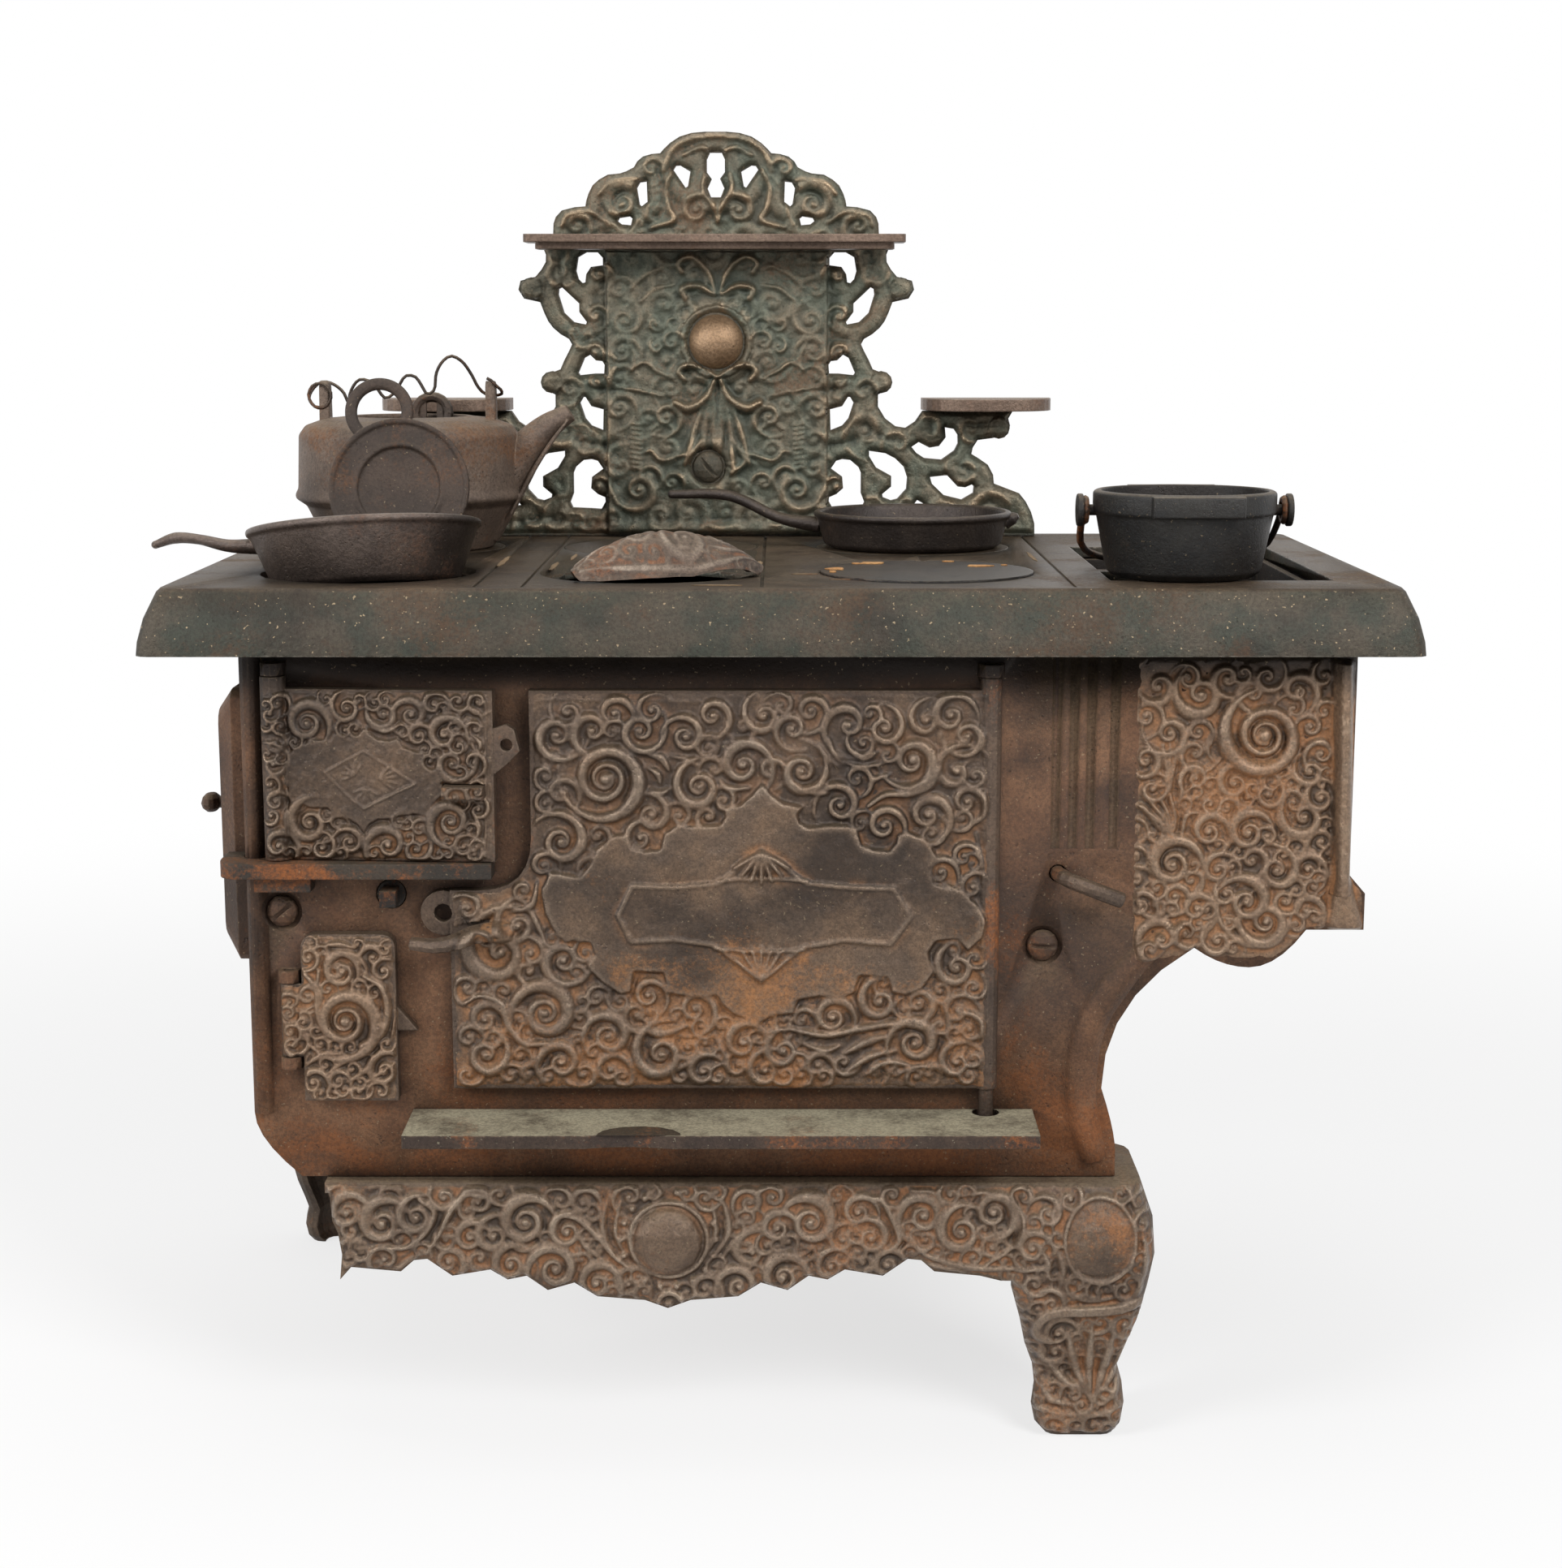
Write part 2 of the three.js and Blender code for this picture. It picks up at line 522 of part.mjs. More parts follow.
// The firebox door is made shut and stands a little ajar about its hinge
function makeFireDoor() {
  const shape = new THREE.Shape(pairs([
    [fireDoor.left, fireDoor.bottom], [fireDoor.right, fireDoor.bottom],
    [fireDoor.right, fireDoor.top], [fireDoor.left, fireDoor.top]]));
  const plate = doorPlate(shape);
  const faceY = bodyFront - gap - plateDoor.thick;
  const middle = (fireDoor.bottom + fireDoor.top) / 2 + fireLatch.rise;
  const ear = new THREE.Shape(pairs([
    [fireDoor.right - bite, middle - fireLatch.halfHeight],
    [fireDoor.right + fireLatch.reach, middle - fireLatch.halfHeight / 2],
    [fireDoor.right + fireLatch.reach * 2, middle],
    [fireDoor.right + fireLatch.reach * 1.6, middle + fireLatch.halfHeight * 0.8],
    [fireDoor.right + fireLatch.reach, middle + fireLatch.halfHeight],
    [fireDoor.right - bite, middle + fireLatch.halfHeight * 0.8]]));
  const earHole = drum('y', fireLatch.hole, faceY - overrun, bodyFront + overrun,
    { x: fireDoor.right + fireLatch.reach, z: middle + fireLatch.hole }, smallSides);
  const tab = block(fireDoor.right - fireTab.width - fireTab.inset, fireDoor.right - fireTab.inset,
    faceY - fireTab.proud, faceY + bite,
    fireDoor.bottom + fireTab.rise, fireDoor.bottom + fireTab.rise + fireTab.height);
  const hinge = barrel(fireHinge, fireDoor.barrel, fireDoor.pin, fireDoor.bottom, barrelTop.fire - gap,
    fireShelf.thick - gap, lug.height);
  const shut = join(plate, cut(frontPlate(ear, faceY + gap, fireLatch.thick), earHole), tab, hinge);
  const mesh = iron('firebox_door', shut, colour.rusty);
  mesh.geometry.translate(-fireHinge.x, -fireHinge.y, 0);
  mesh.position.set(fireHinge.x, fireHinge.y, 0);
  mesh.rotation.z = -degrees(fireDoor.ajar);
}

function makeAshDoor() {
  const edge = ashDoor.left + ashLug.radius + gap * 2;
  const shape = new THREE.Shape();
  shape.moveTo(edge, ashDoor.bottom);
  shape.lineTo(ashDoor.right, ashDoor.bottom);
  shape.lineTo(ashDoor.right, ashDoor.top - ashDoor.corner);
  shape.quadraticCurveTo(ashDoor.right, ashDoor.top, ashDoor.right - ashDoor.corner, ashDoor.top);
  shape.lineTo(edge + ashDoor.corner, ashDoor.top);
  shape.quadraticCurveTo(edge, ashDoor.top, edge, ashDoor.top - ashDoor.corner);
  const neckBottom = ashLug.lower + ashLug.height + gap;
  const neckTop = ashLug.upper - gap;
  const backY = bodyFront - gap;
  const neck = block(ashDoor.left, edge + bite, backY - ashDoor.barrel * 2 + bite, backY, neckBottom,
    neckTop);
  const catchZ = ashDoor.bottom + ashCatch.rise;
  const tooth = frontPlate(new THREE.Shape(pairs([
    [ashDoor.right - bite, catchZ], [ashDoor.right + ashCatch.reach, catchZ],
    [ashDoor.right - bite, catchZ + ashCatch.height]])), backY - ashCatch.thick, ashCatch.thick);
  return join(doorPlate(shape), neck, tooth,
    barrel(ashHinge, ashDoor.barrel, ashDoor.pin, neckBottom, neckTop, ashLug.height, ashLug.height));
}

function ovenDoorShape() {
  const shape = new THREE.Shape();
  const stepTop = ovenDoor.bottom + ovenStep.height;
  shape.moveTo(ovenDoor.right, ovenDoor.top);
  shape.lineTo(ovenDoor.left, ovenDoor.top);
  shape.lineTo(ovenDoor.left, stepTop + ovenStep.scroll);
  shape.quadraticCurveTo(ovenDoor.left, stepTop, ovenDoor.left - ovenStep.scroll, stepTop);
  shape.lineTo(ovenStep.left, stepTop);
  shape.lineTo(ovenStep.left, ovenDoor.bottom);
  shape.lineTo(ovenDoor.right, ovenDoor.bottom);
  return shape;
}

function makeOvenDoor() {
  const backY = bodyFront - gap;
  const faceY = backY - plateDoor.thick;
  const ear = cut(
    drum('y', ovenEar.radius, backY - ovenEar.thick, backY, ovenEar, largeSides),
    drum('y', ovenEar.hole, faceY - overrun, backY + overrun, ovenEar, smallSides));
  const tongue = rod([
    [ovenTongue.root, faceY + bite, ovenTongue.z + ovenTongue.thick],
    [(ovenTongue.root * 2 + ovenTongue.tip) / 3, faceY - ovenTongue.proud * 0.6,
      ovenTongue.z + ovenTongue.thick],
    [(ovenTongue.root + ovenTongue.tip * 2) / 3, faceY - ovenTongue.proud, ovenTongue.z],
    [ovenTongue.tip, faceY - ovenTongue.proud * 0.7, ovenTongue.z],
  ], [ovenTongue.thick * 1.3, ovenTongue.thick, ovenTongue.thick * 0.8], { sides: 8, steps: 8, wide: 1.3 });
  const eyelet = drum('y', ovenEar.hole, faceY - overrun, backY + overrun, ovenEar, smallSides);
  const reachDown = ovenDoor.bottom - ovenShelf.top + ovenShelf.thick - gap;
  const hinge = barrel(ovenHinge, ovenDoor.barrel, ovenDoor.pin, ovenDoor.bottom, barrelTop.oven - gap,
    reachDown, lug.height);
  return join(cut(doorPlate(ovenDoorShape()), eyelet), ear, tongue, hinge);
}

function makeEndDoor() {
  const middleY = (endDoor.front + endDoor.rear) / 2;
  const middleZ = (endDoor.bottom + endDoor.top) / 2;
  const halfY = (endDoor.rear - endDoor.front) / 2;
  const halfZ = (endDoor.top - endDoor.bottom) / 2;
  const inner = bodyLeft - gap;
  const steps = [[inner, 0], [inner - endDoor.thick, 0], [inner - endDoor.thick - endDoor.crown,
    endDoor.bevel]];
  const rings = steps.map(([x, inset]) => roundedRing(middleY, middleZ, halfY - inset, halfZ - inset,
    plateDoor.thick, 0)
    .map(([y, z]) => [x, y, z]));
  const spindle = drum('x', endKnob.spindle + gap, inner - endDoor.thick - endDoor.crown - overrun,
    inner + overrun,
    endKnob, smallSides);
  const leaf = block(endHinge.x, inner, endDoor.rear - bite, endHinge.y, endDoor.bottom, endDoor.top);
  return join(cut(loft(rings), spindle), leaf,
    barrel(endHinge, endDoor.barrel, endDoor.pin, endDoor.bottom, endDoor.top, lug.height, lug.height));
}

function makeEndKnob() {
  const face = bodyLeft - gap - endDoor.thick - endDoor.crown;
  const grip = face - gap;
  return join(
    drum('x', endKnob.spindle, grip - endKnob.reach, bodyLeft + gap, endKnob, smallSides),
    boss(endKnob.grip, endKnob.bar / 2, endKnob.grip, { x: grip - endKnob.reach, y: endKnob.y,
      z: endKnob.z }, 12),
    drum('x', endKnob.rivet, bodyLeft, bodyLeft + endKnob.thick, endKnob, smallSides));
}

// Shelves
function makeFireShelf() {
  const shape = new THREE.Shape();
  const left = -fireShelf.left;
  const wall = bodyFront - gap;
  shape.moveTo(fireShelf.right, wall);
  shape.lineTo(bodyLeft - gap, wall);
  shape.lineTo(bodyLeft - gap, fireShelf.wrap);
  shape.lineTo(left, fireShelf.wrap);
  shape.lineTo(left, fireShelf.front + fireShelf.corner);
  shape.quadraticCurveTo(left, fireShelf.front, left + fireShelf.corner, fireShelf.front);
  shape.lineTo(fireShelf.right, fireShelf.front);
  const under = fireShelfTop - fireShelf.thick;
  const socket = drum('z', fireDoor.pin + gap, under - overrun, fireShelfTop + overrun, fireHinge,
    smallSides);
  const plate = cut(flatPlate(shape, under, fireShelf.thick), socket);
  const columnSeat = drum('z', column.radius + gap, under - fireBlock.height - overrun,
    fireShelfTop + overrun,
    { x: bodyLeft + column.radius, y: bodyFront + column.sink }, smallSides);
  const foot = block(fireBlock.left, fireBlock.left + fireBlock.width, fireBlock.front, wall,
    under - fireBlock.height, under + bite);
  return cut(join(plate, cut(foot, socket)), columnSeat);
}

function makeOvenShelf() {
  const under = ovenShelf.top - ovenShelf.thick;
  const plate = block(ovenShelf.left, ovenShelf.right, ovenShelf.front, bodyFront - gap, under,
    ovenShelf.top);
  const worn = drum('z', ovenShelf.wear, under - overrun, ovenShelf.top + overrun,
    { x: ovenShelf.wearX, y: ovenShelf.front - ovenShelf.wear + overrun }, 48);
  return cut(plate, worn, drum('z', ovenShelf.socket, under - overrun, ovenShelf.top + overrun, ovenHinge));
}

// Grate: a slotted plate on a shaft whose square end takes the shaker
function makeGrate() {
  const plate = block(shaker.x - shaker.half, shaker.x + shaker.half, insideFront + slot.margin,
    insideRear - slot.margin,
    shaker.z - shaker.plate / 2, shaker.z + shaker.plate / 2);
  const slots = [];
  for (let y = insideFront + slot.margin + slot.pitch; y < insideRear - slot.margin - slot.pitch; y += slot.pitch) {
    for (const side of [-1, 1]) {
      const near = shaker.x + side * (shaker.journal + slot.width / 2);
      const far = shaker.x + side * (shaker.half - slot.width / 2);
      slots.push(block(Math.min(near, far), Math.max(near, far), y, y + slot.width,
        shaker.z - shaker.plate, shaker.z + shaker.plate));
    }
  }
  const pivot = drum('y', shaker.journal, insideFront + slot.margin, bodyRear - body.face / 2 - gap, shaker);
  return join(cut(plate, ...slots), pivot);
}

// Round journal in the front wall, with the square end that a key turns
function makeShakerShaft() {
  const shaft = drum('y', shaker.journal, bodyFront, insideFront + slot.margin - gap, shaker);
  const half = shaker.square / Math.SQRT2 / 2;
  const square = block(shaker.x - half, shaker.x + half, bodyFront - shaker.proud, bodyFront + bite,
    shaker.z - half, shaker.z + half);
  return join(shaft, square);
}

function makeDamperLever() {
  const { x, z } = damper;
  const outside = bodyFront - damper.proud;
  return rod([
    [x, insideFront + damper.bladeDepth / 4, z], [x, bodyFront, z], [x + damper.spindle, outside, z - gap],
    [x + damper.reach / 2, outside - damper.spindle, z - damper.fall * 0.4],
    [x + damper.reach, outside, z - damper.fall],
  ], [damper.spindle * 0.94, damper.spindle * 0.94, damper.spindle, damper.spindle],
  { sides: 10, steps: 16, up: [0, 0.2, 1] });
}

function makeDamperBlade() {
  const y = insideFront + damper.bladeDepth / 4 + gap;
  return block(damper.x - damper.bladeHalf, damper.x + damper.bladeHalf, y, y + damper.bladeDepth,
    damper.z - damper.spindle / 2, damper.z + damper.spindle / 2);
}

// A round-headed bolt let into the front wall, with its slot turned by an angle
function makeBolt(head, dome, shank, face, length, angle, { x, z }) {
  const button = cut(boss(head, dome, head, { x, y: face, z }), block(
    x - head - overrun, x + head + overrun, face, face + dome + overrun, z - head - overrun,
      z + head + overrun));
  const groove = new THREE.BoxGeometry(head * 3, bolt.slotDepth * 2, bolt.slot);
  groove.rotateY(degrees(angle));
  groove.translate(x, face - dome, z);
  return cut(join(button, drum('y', shank, face - dome / 4, face + length, { x, z }, smallSides)),
    solid(groove));
}

// Cabriole leg, as a shell with an outer face to the side and one to the front or back
const legShares = [
  [0, -0.25, 0.48], [0.045, 0.02, 0.6], [0.12, 0.12, 0.65], [0.2, 0.03, 0.61], [0.265, -0.14, 0.59],
  [0.355, 0.15, 0.71],
  [0.465, 0.52, 0.83], [0.6, 0.81, 0.96], [0.72, 1, 1], [0.86, 0.91, 0.98], [1, 0.46, 0.9],
];
const rearLegShares = [
  [0, -0.2, 0.5], [0.03, 0.02, 0.6], [0.075, 0.1, 0.65], [0.12, 0.04, 0.62], [0.155, -0.04, 0.6],
  [0.21, 0.12, 0.66],
  [0.29, 0.4, 0.74], [0.42, 0.7, 0.84], [0.58, 0.9, 0.96], [0.72, 1, 1], [0.86, 0.91, 0.98], [1, 0.46, 0.9],
];

// Where a leg's outer corner stands, how far its knee swells each way and how deep it is from front to back
const legPlaces = {
  front: { x: base.outer, y: base.front, out: -1, knee: leg.knee, depth: leg.width, shares: legShares },
  rear: { x: base.rearOuter, y: baseRear, out: 1, knee: leg.rearKnee, depth: leg.rearDepth,
    shares: rearLegShares },
};

function legRing(side, place, [up, out, wide], shift) {
  const halfX = leg.width * wide / 2;
  const halfY = place.depth * wide / 2;
  const x = base.centre + side * (place.x + leg.knee * out - halfX - shift);
  const y = place.y + place.out * (place.knee * out - halfY - shift);
  return roundedRing(x, y, halfX, halfY, Math.min(leg.corner * wide, halfY * 0.8), baseTop * up);
}

function legLoft(side, place, shift, stretch) {
  const rings = place.shares.map((row) => legRing(side, place, row, shift));
  if (!stretch) return loft(rings);
  const [foot, top] = [rings[0], rings[rings.length - 1]];
  return loft([
    foot.map(([x, y, z]) => [x, y, z - stretch]), ...rings, top.map(([x, y, z]) => [x, y, z + stretch])]);
}

function makeLeg(side, place) {
  const shell = cut(legLoft(side, place, 0, 0), legLoft(side, place, base.wall, overrun));
  const topRing = legRing(side, place, place.shares[place.shares.length - 1], 0);
  const capBottom = baseTop - base.flange;
  const cap = loft([topRing.map(([x, y]) => [x, y, capBottom]), topRing]);
  if (place.out > 0) return join(shell, cap);
  const button = boss(medal.halfWidth, medal.proud * 2, medal.halfHeight, {
    x: base.centre + side * (place.x - medal.inset), y: place.y - place.knee + medal.proud * 1.6,
      z: medal.z });
  return join(shell, cap, button);
}

// Lower edge of an apron from its middle to a leg, as shares of its half length and its drop
const scallopShares = [
  [0.06, 0.935], [0.185, 0.905], [0.245, 0.795], [0.315, 0.855], [0.37, 0.74], [0.42, 0.77], [0.465, 0.69],
  [0.565, 0.74], [0.63, 0.605], [0.665, 0.615], [0.7, 0.705], [0.82, 0.74], [0.875, 0.78], [1, 0.78],
];
const breakShares = [[0.83, 0.67], [0.86, 0.77], [0.853, 0.57], [0.862, 0.4], [0.876, 0.3], [0.88, 0.12],
  [0.893, 0]];

function apronShape(leftBroken) {
  const edge = (side, list) => list.map(
    ([along, down]) => [base.centre + side * apronReach * along, baseTop - apronDrop * down]);
  const right = edge(1, scallopShares);
  const whole = edge(-1, scallopShares).reverse();
  const kept = scallopShares.filter(([along]) => along < 0.8);
  const left = leftBroken ? [...edge(-1, breakShares).reverse(), ...edge(-1, kept).reverse()] : whole;
  const start = leftBroken ? [] : [[base.centre - apronReach, baseTop]];
  return new THREE.Shape(pairs([
    ...start, ...left, [base.centre, baseTop - apronDrop], ...right, [base.centre + apronReach, baseTop]]));
}

function makeFrontBase() {
  const leftEnd = base.centre - apronReach * breakShares[breakShares.length - 1][0];
  const flange = block(leftEnd, base.centre + apronReach, base.apronFront, insideFront + base.flange,
    baseTop - base.flange, baseTop);
  return join(frontPlate(apronShape(true), base.apronFront, base.apron), flange, makeLeg(1, legPlaces.front),
    boss(apronBoss.radius, apronBoss.proud, apronBoss.radius, { x: base.centre, y: base.apronFront,
      z: apronBoss.z }));
}

function makeRearBase() {
  const faceY = baseRear + base.front - base.apronFront;
  const flange = block(base.centre - apronReach, base.centre + apronReach, insideRear - base.flange, faceY,
    baseTop - base.flange, baseTop);
  return join(frontPlate(apronShape(false), faceY - base.apron, base.apron), flange,
    makeLeg(1, legPlaces.rear), makeLeg(-1, legPlaces.rear));
}

const topOut = legShares[legShares.length - 1][1];
const topWide = legShares[legShares.length - 1][2];
const kneeFront = base.front - leg.knee * topOut + leg.width * topWide + gap;
const apronEnd = insideRear - base.flange - gap;

function makeSideApron(x, front) {
  const scallops = [[0, 0.75], [0.12, 1], [0.25, 0.7], [0.5, 0.85], [0.75, 0.7], [0.88, 1], [1, 0.75]];
  const shape = new THREE.Shape(pairs([
    [front, baseTop],
    ...scallops.map(([along, down]) => [front + (apronEnd - front) * along, baseTop - sideApron.drop * down]),
    [apronEnd, baseTop]]));
  return sidePlate(shape, x, sideApron.wall);
}

// Back plate outline on the right of its middle, upwards, as shares of its half width and height
const plateShares = [
  [0.999, 0.031], [0.988, 0.06], [0.971, 0.086], [0.951, 0.106], [0.905, 0.12], [0.87, 0.131],
  [0.867, 0.154], [0.85, 0.179], [0.823, 0.194], [0.798, 0.206], [0.802, 0.222], [0.817, 0.241],
  [0.864, 0.246], [0.904, 0.254], [0.918, 0.277], [0.912, 0.295], [0.926, 0.314],
];
const upperShares = [
  [0.644, 0.314], [0.621, 0.287], [0.591, 0.271], [0.56, 0.275], [0.527, 0.295], [0.504, 0.325],
  [0.504, 0.355], [0.535, 0.367], [0.54, 0.389], [0.523, 0.407], [0.487, 0.418], [0.475, 0.44],
  [0.459, 0.464], [0.45, 0.48], [0.459, 0.493], [0.485, 0.505], [0.508, 0.521], [0.523, 0.537],
  [0.535, 0.558], [0.547, 0.584], [0.597, 0.593], [0.614, 0.615], [0.607, 0.637], [0.56, 0.647],
  [0.541, 0.665], [0.528, 0.683], [0.527, 0.701], [0.535, 0.717],
];
const crestShares = [
  [0.504, 0.747], [0.502, 0.777], [0.495, 0.793], [0.476, 0.809], [0.436, 0.817], [0.403, 0.819],
  [0.4, 0.833], [0.393, 0.85], [0.38, 0.87], [0.36, 0.884], [0.333, 0.896], [0.296, 0.899],
  [0.276, 0.904], [0.252, 0.914], [0.242, 0.928], [0.224, 0.94], [0.198, 0.946], [0.171, 0.948],
  [0.16, 0.958], [0.14, 0.973], [0.111, 0.988], [0.074, 0.997], [0.033, 1],
];

// Openings right of the middle, from the crest down, and the keyhole's right half
const keyholeShares = [
  [0.018, 0.95], [0.028, 0.933], [0.028, 0.902], [0.013, 0.886], [0.026, 0.863], [0.015, 0.841],
];
const piercingShares = [
  [
    [0.11, 0.919], [0.123, 0.918], [0.131, 0.908], [0.093, 0.864], [0.086, 0.868], [0.078, 0.904],
  ],
  [
    [0.213, 0.88], [0.234, 0.878], [0.244, 0.864], [0.236, 0.824], [0.229, 0.819], [0.211, 0.83],
  ],
  [
    [0.267, 0.795], [0.299, 0.791], [0.304, 0.783], [0.291, 0.775], [0.263, 0.773], [0.258, 0.789],
  ],
  [
    [0.367, 0.707], [0.402, 0.707], [0.428, 0.695], [0.435, 0.661], [0.428, 0.641], [0.416, 0.631],
    [0.406, 0.633], [0.403, 0.653], [0.388, 0.671], [0.351, 0.675], [0.351, 0.693],
  ],
  [
    [0.479, 0.621], [0.489, 0.617], [0.491, 0.603], [0.474, 0.558], [0.444, 0.535], [0.421, 0.531],
    [0.406, 0.529], [0.403, 0.535], [0.426, 0.56], [0.426, 0.581],
  ],
  [
    [0.394, 0.454], [0.412, 0.446], [0.432, 0.409], [0.427, 0.403], [0.381, 0.407], [0.351, 0.407],
    [0.349, 0.429], [0.356, 0.438], [0.376, 0.44],
  ],
  [
    [0.41, 0.349], [0.417, 0.349], [0.428, 0.334], [0.412, 0.295], [0.393, 0.277], [0.356, 0.265],
    [0.354, 0.318], [0.392, 0.326],
  ],
  [
    [0.393, 0.193], [0.418, 0.191], [0.444, 0.173], [0.452, 0.158], [0.452, 0.107], [0.463, 0.084],
    [0.455, 0.07], [0.398, 0.068], [0.365, 0.066], [0.351, 0.086], [0.352, 0.097], [0.375, 0.105],
    [0.396, 0.12], [0.393, 0.148], [0.357, 0.169], [0.374, 0.189],
  ],
  [
    [0.477, 0.214], [0.528, 0.208], [0.559, 0.195], [0.587, 0.173], [0.598, 0.146], [0.595, 0.117],
    [0.567, 0.092], [0.547, 0.088], [0.521, 0.096], [0.519, 0.105], [0.547, 0.124], [0.547, 0.15],
    [0.5, 0.171], [0.477, 0.201],
  ],
  [
    [0.714, 0.273], [0.742, 0.269], [0.755, 0.254], [0.756, 0.232], [0.745, 0.214], [0.705, 0.191],
    [0.651, 0.195], [0.626, 0.208], [0.61, 0.224], [0.632, 0.236], [0.666, 0.222], [0.696, 0.226],
    [0.717, 0.248],
  ],
  [
    [0.713, 0.152], [0.723, 0.152], [0.756, 0.124], [0.78, 0.122], [0.8, 0.129], [0.808, 0.124],
    [0.806, 0.107], [0.77, 0.09], [0.714, 0.101], [0.675, 0.131], [0.669, 0.148],
  ],
  [
    [0.629, 0.09], [0.655, 0.078], [0.642, 0.074], [0.616, 0.076],
  ],
];
const knobShares = [[0.572, 0.618], [0.514, 0.386], [0.882, 0.272]];

function backPoint(side, [across, up]) {
  return new THREE.Vector2(back.centre + side * back.half * across, hobTop + gap + back.height * up);
}

function backShape() {
  const run = (side, list) => list.map((pair) => backPoint(side, pair));
  const right = [backPoint(1, [1, 0]), ...run(1, plateShares), ...run(1, upperShares),
    ...run(1, crestShares)];
  const left = [backPoint(-1, [1, 0]), ...run(-1, plateShares), ...run(-1, upperShares),
    ...run(-1, crestShares)];
  return new THREE.Shape([...right, backPoint(1, [0, 1]), ...left.reverse()]);
}

function keyhole() {
  const right = keyholeShares.map((pair) => backPoint(1, pair));
  const left = keyholeShares.map((pair) => backPoint(-1, pair)).reverse();
  return new THREE.Shape([...right, ...left]);
}

function makeBackPlate() {
  const front = backFront;
  const rear = backFront + back.thick;
  const shape = backShape();
  const holes = [1, -1].flatMap((side) => piercingShares.map(
    (list) => new THREE.Shape(list.map((pair) => backPoint(side, pair)))));
  const tools = [keyhole(), ...holes].map((hole) => frontPlate(hole, front - overrun,
    back.thick + overrun * 2));
  const knobs = [1, -1].flatMap((side) => knobShares.map((pair) => {
    const { x, y: z } = backPoint(side, pair);
    return drum('y', back.half * 0.034, front - back.bead, rear, { x, z }, smallSides);
  }));
  const bottom = hobTop + gap;
  const panel = block(back.centre - backPanel.half, back.centre + backPanel.half, front - backPanel.proud,
    front + bite,
    bottom + backPanel.bottom, bottom + backPanel.top);
  const ring = drum('y', backBoss.ring, front - backPanel.proud - backBoss.ringProud, front,
    { x: back.centre, z: bottom + backBoss.z });
  const button = boss(backBoss.radius, backBoss.proud + backPanel.proud, backBoss.radius,
    { x: back.centre, y: front - backBoss.ringProud, z: bottom + backBoss.z });
  const screwHole = drum('y', backScrew.shank + gap, front - backPanel.proud - overrun, rear + overrun,
    { x: back.centre + backScrew.x, z: bottom + backScrew.z }, smallSides);
  const behind = block(back.centre - back.half, back.centre + back.half, rear, rear + back.height / 2,
    bottom, bottom + back.height);
  const pierced = cut(frontPlate(shape, front, back.thick), ...tools);
  return cut(join(pierced, ...knobs, panel, ring, button), screwHole, behind);
}

// The crest shelf is a two-step moulding in front of the plate
function makeCrestShelf() {
  const rear = backFront - backPanel.proud - gap;
  const bottom = hobTop + gap + crestShelf.rise;
  const lower = roundedRing(back.centre, rear - crestShelf.depth / 2 + crestShelf.stepInset / 2,
    crestShelf.half - crestShelf.stepInset, (crestShelf.depth - crestShelf.stepInset) / 2, crestShelf.step,
      bottom);
  const upper = roundedRing(back.centre, rear - crestShelf.depth / 2, crestShelf.half, crestShelf.depth / 2,
    crestShelf.step, bottom + crestShelf.step);
  const raise = (ring, height) => ring.map(([x, y, z]) => [x, y, z + height]);
  return join(loft([lower, raise(lower, crestShelf.step + gap)]),
    loft([upper, raise(upper, crestShelf.thick)]));
}

// A half-round shelf on the top of a scroll bracket
function makeSideShelf(side) {
  const middle = back.centre + side * (sideShelf.inner + sideShelf.outer) / 2;
  const half = (sideShelf.outer - sideShelf.inner) / 2;
  const rear = backFront + back.thick;
  const shape = new THREE.Shape();
  shape.moveTo(middle + half, rear);
  shape.lineTo(middle - half, rear);
  shape.lineTo(middle - half, backFront);
  shape.quadraticCurveTo(middle - half, backFront - sideShelf.depth, middle, backFront - sideShelf.depth);
  shape.quadraticCurveTo(middle + half, backFront - sideShelf.depth, middle + half, backFront);
  return flatPlate(shape, hobTop + gap + sideShelf.rise, sideShelf.thick, 8);
}

// Utensils. A thin wall turned from an outer profile and the same profile drawn in by the wall
function makeLid(x, y, proud) {
  const radius = eye.radius - lid.clear;
  const bottom = hobTop - eye.ledge + gap;
  const notch = block(x - lid.notch / 2, x + lid.notch / 2, y + radius - lid.notchDepth, y + radius + overrun,
    bottom + (eye.ledge - gap) / 2, hobTop + proud + overrun);
  return cut(drum('z', radius, bottom, hobTop + proud, { x, y }, 40), notch);
}

function panBowl(pan) {
  const t = pan.wall;
  return turned([
    [0, 0], [pan.base - t, 0], [pan.base, t * 0.7], [pan.rim - t * 0.6, pan.height - t * 1.3],
    [pan.rim, pan.height - t * 0.9], [pan.rim, pan.height - t * 0.2], [pan.rim - t * 0.7, pan.height],
    [pan.rim - t * 1.3, pan.height - t * 0.3], [pan.base - t * 0.7, t * 1.6], [pan.base - t * 2, t], [0, t],
  ], largeSides);
}

